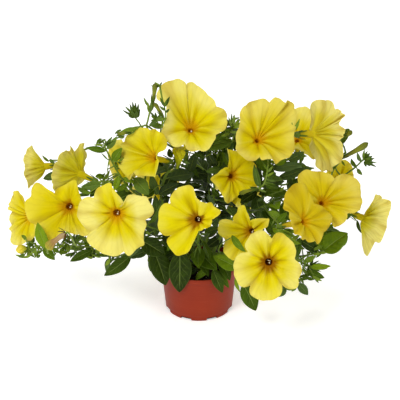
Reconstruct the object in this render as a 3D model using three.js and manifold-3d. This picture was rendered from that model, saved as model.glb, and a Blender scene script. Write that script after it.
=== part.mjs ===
// A potted petunia with yellow trumpet flowers. Millimetres, +Z up; the origin is the middle of the
// pot's flat underside, the plant's best side faces -Y and its long way runs along X.
import * as THREE from "three";
import { mergeVertices } from "three/addons/utils/BufferGeometryUtils.js";
import Module from "manifold-3d";

// Driving dimensions
const POT_HEIGHT = 67; // underside to lip
const POT_BASE_RADIUS = 46; // outside, at the underside
const POT_WALL_TOP_RADIUS = 51.4; // outside, just below the rim band
const POT_RIM_RADIUS = 52.5; // outside of the rim band
const POT_RIM_BAND = 6.5; // height of the rim band
const POT_WALL = 1.5; // wall and floor thickness
const SLOT_COUNT = 8; // drainage slots round the bottom edge
const SLOT_FIRST = 22.5; // degrees from the front to the middle of the first slot
const SLOT_WIDTH = 15; // along the edge
const SLOT_HEIGHT = 4.5; // up the wall
const SLOT_REACH = 6; // in from the wall, across the floor
const SOIL_TOP = 58.3; // height of the soil surface
const FIT_GAP = 0.35; // clearance between touching pieces
const PETAL_THICKNESS = 0.9; // at the throat, thinning to the rim
const LEAF_THICKNESS = 1.3; // over the midrib, thinning to the edges
const STALK_RADIUS = 1.25; // flower stalks
const TWIG_RADIUS = 0.95; // leaf and bud stalks
const TUBE_NARROW = 0.42; // corolla tube, bottom radius over throat radius
const PLEAT_DEPTH = 1.3; // grooves along the midribs and between the lobes

const SIMPLIFY = 0.3; // how far a joined green solid may stray when it is thinned out

// Colours
const YELLOW = 0xe6d61e;
const PALE_YELLOW = 0xeee07a;
const DEEP_YELLOW = 0xc8b414;
const LEAF_DARK = 0x2c4a12;
const LEAF_MID = 0x44701c;
const LEAF_BRIGHT = 0x5f9416;
const STEM_GREEN = 0x6a8c34;
const BUD_GREEN = 0x8c9a30;
const TERRACOTTA = 0x9c3a24;
const SOIL_BROWN = 0x21180f;

// One row per flower: piece, shoot it grows on, middle of the throat, direction it opens in, tube
// length, throat radius, and the rim as [angle, radius, height] round that direction, four steps a
// lobe, each lobe starting at the notch between two lobes.
const FLOWERS = [
  ["corolla_left_front","shoot_left_low",[-161.1,-62,180.1],[-0.069,-0.909,0.411],34,6,[[2.418,24.1,14.2],[2.472,45.6,14.1],[2.89,46.6,14.9],[3.28,51.4,15],[3.682,45.9,14.6],[3.957,48.5,14.1],[4.222,49.8,13.5],[4.405,41.3,13],[4.642,31.2,12.3],[4.781,31.7,11.9],[4.919,32.3,11.5],[5.022,34.9,11.2],[5.126,37.5,10.9],[5.434,42.1,10.1],[5.783,39.5,9.4],[6.104,30.4,9.1],[6.371,17.5,9],[7.184,21.9,10.1],[7.586,34.3,11.1],[8.043,26.1,12.5]]],
  ["corolla_front_left","shoot_front_left",[-99.6,-92,186.2],[0.015,-0.963,0.267],34,6,[[-2.539,38.1,10.9],[-2.344,48,10.6],[-2.024,49.8,10.2],[-1.71,50.2,10],[-1.394,48.3,10],[-1.14,50,10.2],[-0.842,49.2,10.5],[-0.594,39,10.9],[-0.214,36.6,11.6],[0.153,45.5,12.3],[0.558,42.6,13.1],[0.86,30.8,13.6],[0.915,14.1,13.6],[1.435,25.6,14],[1.684,38.5,14],[2.051,38.1,13.8],[2.461,35.5,13.2],[2.736,43.8,12.8],[3.064,45.7,12.1],[3.392,42.8,11.5]]],
  ["corolla_top","shoot_middle",[-10.4,-22,265.8],[0.008,-0.503,0.864],34,6,[[2.577,37,25.9],[3.057,30.7,20],[3.539,37.7,13.9],[3.998,38,9.1],[4.423,28.6,6.5],[4.807,34.5,6.1],[5.085,40.8,6.9],[5.429,39.7,9.3],[5.784,36,12.9],[6.034,42.2,15.9],[6.298,44,19.3],[6.559,43.4,22.6],[6.788,37.5,25.4],[7.157,38.2,29],[7.49,42.6,31.1],[7.762,49.5,31.9],[7.971,44.6,31.9],[8.146,58,31.4],[8.437,61.2,29.8],[8.736,53.5,27.2]]],
  ["corolla_front_middle","shoot_front",[-1,-100,181.4],[-0.092,-0.974,0.209],34,6,[[2.565,39.8,12.7],[2.819,46.6,12.1],[3.136,46.5,11.1],[3.45,47.2,10.2],[3.695,38.4,9.5],[3.983,47.8,8.9],[4.33,45.7,8.3],[4.536,30.1,8.1],[4.878,13.5,8],[5.35,11.5,8.6],[5.787,13.9,9.5],[6.152,16.7,10.5],[6.498,18.2,11.5],[6.703,30.3,12.1],[7.103,27.4,13.1],[7.508,25.3,13.8],[7.906,32,14],[8.013,44,14],[8.285,46.8,13.8],[8.565,45,13.4]]],
  ["corolla_middle","shoot_right_inner",[40.1,-26,205.4],[0.371,-0.813,0.449],34,6,[[2.17,11.5,15.9],[2.668,21.6,16.8],[3.03,30.9,17],[3.365,30.9,16.6],[3.798,30.2,15.6],[3.988,34.4,15],[4.182,36.3,14.3],[4.368,32.4,13.6],[4.577,28.6,12.7],[4.792,24.8,11.9],[5.079,24.6,10.9],[5.348,25.8,10.1],[5.582,29.1,9.5],[5.87,34.8,9.1],[6.222,32.5,9.1],[6.59,32.9,9.5],[6.957,32.9,10.4],[7.456,30.6,12.2],[7.949,33,14.2],[8.011,25.2,14.4]]],
  ["corolla_upper_right","shoot_right_high",[72.6,-22,251.7],[0.288,-0.695,0.659],34,6,[[2.579,30.8,13.2],[3.059,32,9.9],[3.506,34.2,8.2],[3.962,32.4,8.4],[4.41,26.2,10.1],[4.746,30.4,12.5],[4.971,37.5,14.3],[5.28,38.9,17],[5.528,45.1,19.2],[5.869,40.8,22],[6.237,41.1,24.3],[6.523,49.2,25.5],[6.77,57.2,26],[6.941,59.3,26],[7.049,52.2,25.8],[7.257,52.7,25.2],[7.387,45.3,24.7],[7.721,45.7,22.8],[8.075,42.1,20],[8.422,36,17]]],
  ["corolla_front_right","shoot_right_low",[66.3,-62,145.6],[-0.419,-0.831,0.367],34,6,[[-2.556,36.7,9.2],[-2.284,42.4,9.7],[-1.988,42.5,10.3],[-1.777,35.8,10.9],[-1.429,30.6,11.9],[-1.131,29.1,12.8],[-0.817,28.1,13.6],[-0.503,25.4,14.3],[-0.187,19.9,14.8],[0.385,23.9,14.9],[0.709,33.4,14.6],[0.978,23,14.1],[1.554,14.9,12.6],[1.853,25.4,11.7],[2.038,33.1,11.2],[2.378,27.6,10.3],[2.819,26,9.4],[2.923,37.3,9.2],[3.18,41.2,9],[3.464,39,9]]],
  ["corolla_front_low","shoot_right_low",[84.4,-120,133.8],[-0.102,-0.936,0.338],34,6,[[2.667,30.6,12],[3.013,38.9,11.4],[3.395,41.9,10.6],[3.762,43.1,9.9],[4.105,38.2,9.4],[4.386,45.4,9.1],[4.702,44.9,9],[5.024,42.4,9.1],[5.31,33.7,9.3],[5.555,42.9,9.6],[5.846,40.2,10.1],[6.187,39.5,10.7],[6.533,35.1,11.4],[6.861,37.8,12],[7.172,38.6,12.5],[7.477,39.4,12.8],[7.762,33.4,13],[8.053,39.6,13],[8.352,40.4,12.8],[8.662,37.5,12.4]]],
  ["corolla_right_front","shoot_right",[124.3,-104,180.1],[0.638,-0.602,0.48],34,6,[[2.255,46.7,13],[2.413,43.1,13],[2.557,38,13],[2.747,34.3,13],[2.972,31.8,13],[3.19,30.3,13],[3.42,29.4,13],[3.655,28.7,13],[3.89,26.5,13],[4.4,25.3,13],[4.733,29.7,13],[5.183,25.7,13],[5.565,32.3,13],[5.901,37,13],[6.236,34.9,13],[6.584,28.4,13],[7.038,23.8,13],[7.435,37.3,13],[7.757,45.7,13],[8.15,46.1,13]]],
  ["corolla_right","shoot_right",[153.3,-56,181.3],[0.193,-0.698,0.689],34,6,[[2.454,38.9,14.1],[2.839,32.9,12.6],[3.31,27.9,11.1],[3.871,23.3,10.1],[4.53,22.2,10.5],[4.777,29.7,11],[4.967,34.7,11.6],[5.277,35.4,12.7],[5.581,33.3,13.9],[5.732,39.9,14.5],[5.887,44.9,15.1],[6.072,46.8,15.8],[6.252,48.3,16.4],[6.52,50,17.2],[6.78,48.2,17.7],[7.04,42.3,18],[7.24,31.2,18],[7.685,34.8,17.5],[8.082,39.4,16.5],[8.404,44.6,15.4]]],
  ["corolla_upper_left","shoot_middle",[-52.8,-47,238.7],[-0.67,-0.606,0.428],24,6,[[-2.028,27.1,18.6],[-1.408,23,17.6],[-0.749,26.8,16.3],[-0.314,25.4,15.6],[0.395,21.7,15],[0.71,30.6,15.1],[1.087,33.1,15.4],[1.462,33.5,15.9],[1.84,33.9,16.6],[2.185,37.1,17.3],[2.505,39.8,17.9],[2.801,42.8,18.4],[3.06,47.9,18.7],[3.195,48.2,18.8],[3.318,45,18.9],[3.471,44.7,19],[3.618,42.6,19],[3.81,43.6,18.9],[4.055,39.3,18.8],[4.2,38.1,18.5]]],
  ["corolla_upper_left_behind","shoot_left_high",[-87.7,2,211.1],[-0.667,-0.681,0.302],26,6,[[-0.747,26.7,15],[-0.418,28.8,15],[-0.109,31,15],[0.187,32.4,15],[0.48,32.4,15],[0.782,32.6,15],[1.091,30.6,15],[1.417,29.1,15],[1.758,28.2,15],[2.071,30.2,15],[2.371,31.8,15],[2.662,32.7,15],[2.947,30.8,15],[3.196,27.7,15],[3.477,25.6,15],[3.78,24.6,15],[4.093,25.2,15],[4.455,27.2,15],[4.814,27,15],[5.175,26.8,15]]],
  ["corolla_right_small","shoot_right",[187.4,30,168.1],[-0.035,-0.362,0.932],28,6,[[-2.048,20.7,11],[-1.841,23.9,11],[-1.631,26,11],[-1.423,25.8,11],[-1.217,23.4,11],[-0.88,20,11],[-0.473,18.1,11],[-0.043,17.6,11],[0.368,19.8,11],[0.729,22.4,11],[0.95,28.1,11],[1.153,33.3,11],[1.361,36.7,11],[1.585,32.3,11],[1.848,28.4,11],[2.151,24.9,11],[2.49,20.9,11],[2.903,17.5,11],[3.35,15.8,11],[3.852,17,11]]],
  ["corolla_right_behind","shoot_right_high",[134,80,209.6],[-0.086,-0.519,0.85],30,6,[[-1.778,23.2,10.1],[-1.32,24.9,10.1],[-1.071,34.1,10.3],[-0.873,41.4,10.6],[-0.606,36.3,11.1],[-0.29,33,11.9],[0.047,33.5,12.9],[0.379,34.8,13.8],[0.699,36.5,14.7],[0.961,41.6,15.3],[1.218,45,15.7],[1.469,46.8,15.9],[1.718,44.6,16],[1.963,46.2,15.8],[2.215,41.3,15.5],[2.483,34.6,15],[2.781,27.1,14.3],[3.214,25.2,13],[3.648,24.4,11.8],[4.084,26.1,10.8]]],
  ["corolla_left_back","shoot_left_high",[-153.9,-2,197.3],[-0.815,0.565,0.131],26,6,[[0.682,39,15],[0.986,40.4,15],[1.31,31.9,15],[1.476,37.3,15],[1.78,27.1,15],[1.995,35.6,15],[2.269,35.7,15],[2.568,29.9,15],[2.938,25.8,15],[3.453,29.2,15],[3.872,34.9,15],[4.297,33.3,15],[4.742,28.4,15],[5.121,30.4,15],[5.468,33.3,15],[5.791,36.1,15],[6.104,36.9,15],[6.326,37.8,15],[6.542,39,15],[6.753,39.5,15]],0.4],
  ["corolla_right_turned","shoot_right_high",[143.7,0,252.2],[0.918,0.38,-0.113],22,6,[[2.029,44.2,18],[2.135,47.5,18],[2.25,49.3,18],[2.36,47.6,18],[2.417,42.5,18],[2.599,43.1,18],[2.741,48.1,18],[2.874,46,18],[3.018,40.9,18],[3.293,50.7,18],[3.646,47.9,18],[4.014,48.2,18],[4.367,49.3,18],[4.678,49,18],[4.97,40.4,18],[5.388,35.7,18],[5.839,36.7,18],[6.496,40.7,18],[7.117,43.7,18],[7.731,42.5,18]]],
  ["corolla_left_side","shoot_left_high",[-202.8,22,197.2],[-0.993,-0.067,-0.096],18,6,[[2.475,19.1,13.8],[3.04,21,15],[3.467,26.3,16.9],[3.854,29.2,19.1],[4.241,29.3,21.7],[4.544,29.1,24.6],[4.843,26.5,26.3],[5.153,21.6,25.5],[5.564,17.9,24.6],[5.896,17.4,24.9],[6.216,18.6,25.5],[6.484,21.1,25.6],[6.734,22.7,22.9],[6.95,23.3,23.1],[7.155,24.4,23.4],[7.35,25.5,22.2],[7.532,27,19.7],[7.803,30,15.7],[8.063,26.2,13.9],[8.364,21.7,13.6]],0.42],
  ["corolla_left_edge","shoot_left_low",[-216.8,-22,146.5],[-0.877,-0.465,0.122],26,6,[[2.644,27.7,22.1],[2.859,27.9,22.3],[3.058,29.8,22],[3.239,31.9,20.6],[3.418,33.3,18.9],[3.595,35.9,18.2],[3.755,38.7,18],[3.916,40.4,18.2],[4.069,42.3,18.2],[4.283,48.1,17.2],[4.504,45.6,14.3],[4.725,39.2,11.4],[4.993,33.4,8.6],[5.543,28.6,4.5],[6.164,28,2.7],[6.812,24.7,7.5],[7.536,24.4,14.2],[7.925,28.3,17.3],[8.251,32.7,19.6],[8.575,31.2,21.2]]],
  ["corolla_right_edge","shoot_right",[218.7,6,129.3],[0.939,-0.078,-0.336],20,6,[[0.937,25.8,7.9],[1.172,30,7.3],[1.353,35.1,7.1],[1.555,37.3,8.3],[1.752,39.2,11.3],[1.879,43.1,17.9],[2.019,41.1,21.6],[2.157,37.4,22.4],[2.307,33.6,23.1],[2.657,24,26.9],[3.273,17.2,30.3],[4.039,19.5,32.6],[4.544,27.1,28.2],[4.743,38,30.1],[4.86,49.5,32],[5.019,54.5,27.6],[5.215,46.7,19.9],[5.586,41.1,14.5],[5.983,32.5,11.7],[6.53,24.6,9.6]],0.46],
  ["corolla_back_left","shoot_back_left",[-60,96,126],[-0.35,0.799,0.489],30,6,[[0.175,32.7,13],[0.489,37.1,13],[0.803,38,13],[1.117,37.1,13],[1.431,32.7,13],[1.745,37.1,13],[2.059,38,13],[2.374,37.1,13],[2.688,32.7,13],[3.002,37.1,13],[3.316,38,13],[3.63,37.1,13],[3.944,32.7,13],[4.259,37.1,13],[4.573,38,13],[4.887,37.1,13],[5.201,32.7,13],[5.515,37.1,13],[5.829,38,13],[6.144,37.1,13]]],
  ["corolla_back_right","shoot_back",[52,100,112],[0.451,0.782,0.431],30,6,[[0.698,34.4,13],[1.012,39.1,13],[1.326,40,13],[1.641,39.1,13],[1.955,34.4,13],[2.269,39.1,13],[2.583,40,13],[2.897,39.1,13],[3.211,34.4,13],[3.526,39.1,13],[3.84,40,13],[4.154,39.1,13],[4.468,34.4,13],[4.782,39.1,13],[5.096,40,13],[5.411,39.1,13],[5.725,34.4,13],[6.039,39.1,13],[6.353,40,13],[6.667,39.1,13]]],
  ["corolla_back_top","shoot_back",[-16,58,224],[0.05,0.721,0.691],30,6,[[0.436,28.4,13],[0.75,32.2,13],[1.065,33,13],[1.379,32.2,13],[1.693,28.4,13],[2.007,32.2,13],[2.321,33,13],[2.635,32.2,13],[2.95,28.4,13],[3.264,32.2,13],[3.578,33,13],[3.892,32.2,13],[4.206,28.4,13],[4.52,32.2,13],[4.835,33,13],[5.149,32.2,13],[5.463,28.4,13],[5.777,32.2,13],[6.091,33,13],[6.405,32.2,13]]],
];
// Stems: name, control points, radius at the soil and at the tip.
const SHOOTS = [
  ["shoot_left_low",[[-12,-6,58.6],[-15,-7.5,74.6],[-36.2,-19.3,111.7],[-91,-40.1,115.5],[-139,-40.2,110.8],[-181.2,-34.5,109.8],[-216,-30,106.5]],[2,1]],
  ["shoot_front_left",[[-9,-14,58.6],[-11.2,-17.5,74.6],[-26.9,-31.7,117.9],[-60.1,-47.9,143.1],[-73.5,-53.8,151.9]],[1.9,1.1]],
  ["shoot_left_high",[[-14,3,58.6],[-17.5,3.8,74.6],[-37.5,5.2,121],[-66.7,-6.8,157.8],[-89.1,-27.4,190.5],[-102.2,-31.4,213.6],[-112.9,-27.6,235.5],[-118.2,-25.5,246.7]],[2,1]],
  ["shoot_middle",[[-6,6,58.6],[-7.5,7.5,74.6],[-30,12,111.6],[-48.9,2.8,157.6],[-44.9,-4.3,191.1],[-29.2,-10.1,220.4],[-22.8,-12.2,232.3]],[2.4,1.6]],
  ["shoot_front",[[0,-12,58.6],[0,-15,74.6],[-0.4,-32.3,113.6],[0.1,-56,141]],[1.9,1.2]],
  ["shoot_right_inner",[[6,8,58.6],[7.5,10,74.6],[13.7,15.4,108.6],[20,16,157],[20.3,5.6,206.2],[29.4,-4,237.4],[36.2,-8.3,252.7],[41.7,-10.7,264.2]],[2.1,1]],
  ["shoot_right_high",[[12,3,58.6],[15,3.8,74.6],[33.1,9,110.6],[73,12,160.7],[87.9,9.9,187],[95.7,7.1,206.5],[103.9,3.9,229]],[2.1,1.2]],
  ["shoot_right",[[13,-5,58.6],[16.2,-6.2,74.6],[39.6,-7.1,122.5],[101.5,-0.1,158.7],[140.6,4,171.4],[174.3,5,182.9],[197.6,5.4,198.7],[209.6,4.4,211.6],[214.4,3.9,217.8]],[2.1,1]],
  ["shoot_right_low",[[8,-13,58.6],[10,-16.2,74.6],[28.7,-30.8,96.1],[80.2,-56.2,103.3],[130.3,-56.4,105.9],[158.3,-51.9,111],[169.8,-49.5,114]],[2,1.1]],
  ["shoot_back_left",[[-5,14,58.6],[-6.2,17.5,74.6],[-15.2,32.8,101.3],[-34.3,60.5,123.5]],[2,1.4]],
  ["shoot_back",[[6,15,58.6],[7.5,18.8,74.6],[13.1,36.2,124],[13.9,43.8,152.7],[12.3,46.6,176.8]],[2,1.3]],
];
// Flower stalks: flower, shoot, control points from the calyx down to the stem.
const STALKS = [
  ["corolla_left_front","shoot_left_low",[[-158.6,-29.1,165.3],[-159.1,-30.4,146.5],[-160.8,-32.5,130.6],[-164.3,-37.1,110.2]]],
  ["corolla_left_edge","shoot_left_low",[[-192.1,-8.9,143.1],[-190.6,-12.3,138.3],[-187,-22,125.3],[-184.1,-34.1,109.6]]],
  ["corolla_front_left","shoot_front_left",[[-100.1,-57.1,176.5],[-92.8,-55.5,170.3],[-85.2,-54.4,163.3],[-73.5,-53.8,151.9]]],
  ["corolla_left_side","shoot_left_high",[[-182.7,23.3,199.2],[-161.4,30.9,211.5],[-138.9,20.7,225.1],[-115.3,-26.6,240.7]]],
  ["corolla_left_back","shoot_left_high",[[-130.9,-17.9,193.6],[-122.9,-20.4,195.1],[-107.9,-25.7,198.2],[-95.3,-30.6,200.9]]],
  ["corolla_upper_left_behind","shoot_left_high",[[-68.9,21.2,202.6],[-69.4,17.7,196.6],[-70.5,8,183.6],[-71.1,-10.1,163.9]]],
  ["corolla_upper_left","shoot_middle",[[-35.3,-31.1,227.5],[-33.5,-25.4,226.6],[-30.6,-17.8,225.4],[-27.3,-10.7,223.9]]],
  ["corolla_top","shoot_middle",[[-10.7,-3.8,234.5],[-15,-6.3,232.4],[-18.3,-8.7,231.7],[-22.8,-12.2,232.3]]],
  ["corolla_front_middle","shoot_front",[[2.3,-64.8,173.9],[1.8,-60.8,162.2],[1.3,-58.5,154],[0.1,-56,141]]],
  ["corolla_middle","shoot_right_inner",[[26.6,3.4,189.2],[25.5,5.7,187],[24,7.8,184.9],[20.1,12.2,179.5]]],
  ["corolla_upper_right","shoot_right_high",[[62.2,3.2,227.8],[67.5,4.7,223.4],[77.8,6.4,215],[94.2,7.7,202.5]]],
  ["corolla_right_turned","shoot_right_high",[[121.5,-9.2,254.9],[117.5,-7.4,250.2],[112.5,-3.9,243.1],[103.9,3.9,229]]],
  ["corolla_right_behind","shoot_right_high",[[136.7,96.7,182.2],[130.9,76.7,158.7],[117.1,52.4,156.6],[85.1,10.6,181.3]]],
  ["corolla_front_right","shoot_right_low",[[81.5,-31.9,132.4],[82.2,-37.4,122.1],[81.2,-45.2,112.9],[79.4,-55.9,103.2]]],
  ["corolla_front_low","shoot_right_low",[[88.1,-86.1,121.6],[88.7,-68.7,111.3],[88.3,-62.8,107.5],[87.4,-57.5,103.8]]],
  ["corolla_right_front","shoot_right",[[101.2,-82.2,162.7],[98.3,-69.7,161.1],[91,-38.2,156.7],[85,-2.1,150.8]]],
  ["corolla_right","shoot_right",[[146.3,-30.7,156.4],[143.6,-22.7,158.9],[138.7,-10.3,163.3],[132.7,3.3,169.1]]],
  ["corolla_right_edge","shoot_right",[[197.9,7.7,136.7],[186.7,5,154],[178.1,4.1,170.3],[173.2,5,182.4]]],
  ["corolla_right_small","shoot_right",[[188.7,40.5,139.9],[185.3,33,136],[176,19,146.6],[167.9,5,179]]],
  ["corolla_back_left","shoot_back_left",[[-48.7,70.3,110.2],[-46.7,67.4,112.3],[-42.8,64.6,115.8],[-34.3,60.5,123.5]]],
  ["corolla_back_right","shoot_back",[[37.5,74.8,98.1],[32.3,66.3,99.8],[21.6,48.4,104],[11.6,31,108.9]]],
  ["corolla_back_top","shoot_back",[[-17.6,34.8,201.7],[-8,35.9,196.6],[-1,38.4,191.1],[12.3,46.6,176.8]]],
];
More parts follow.
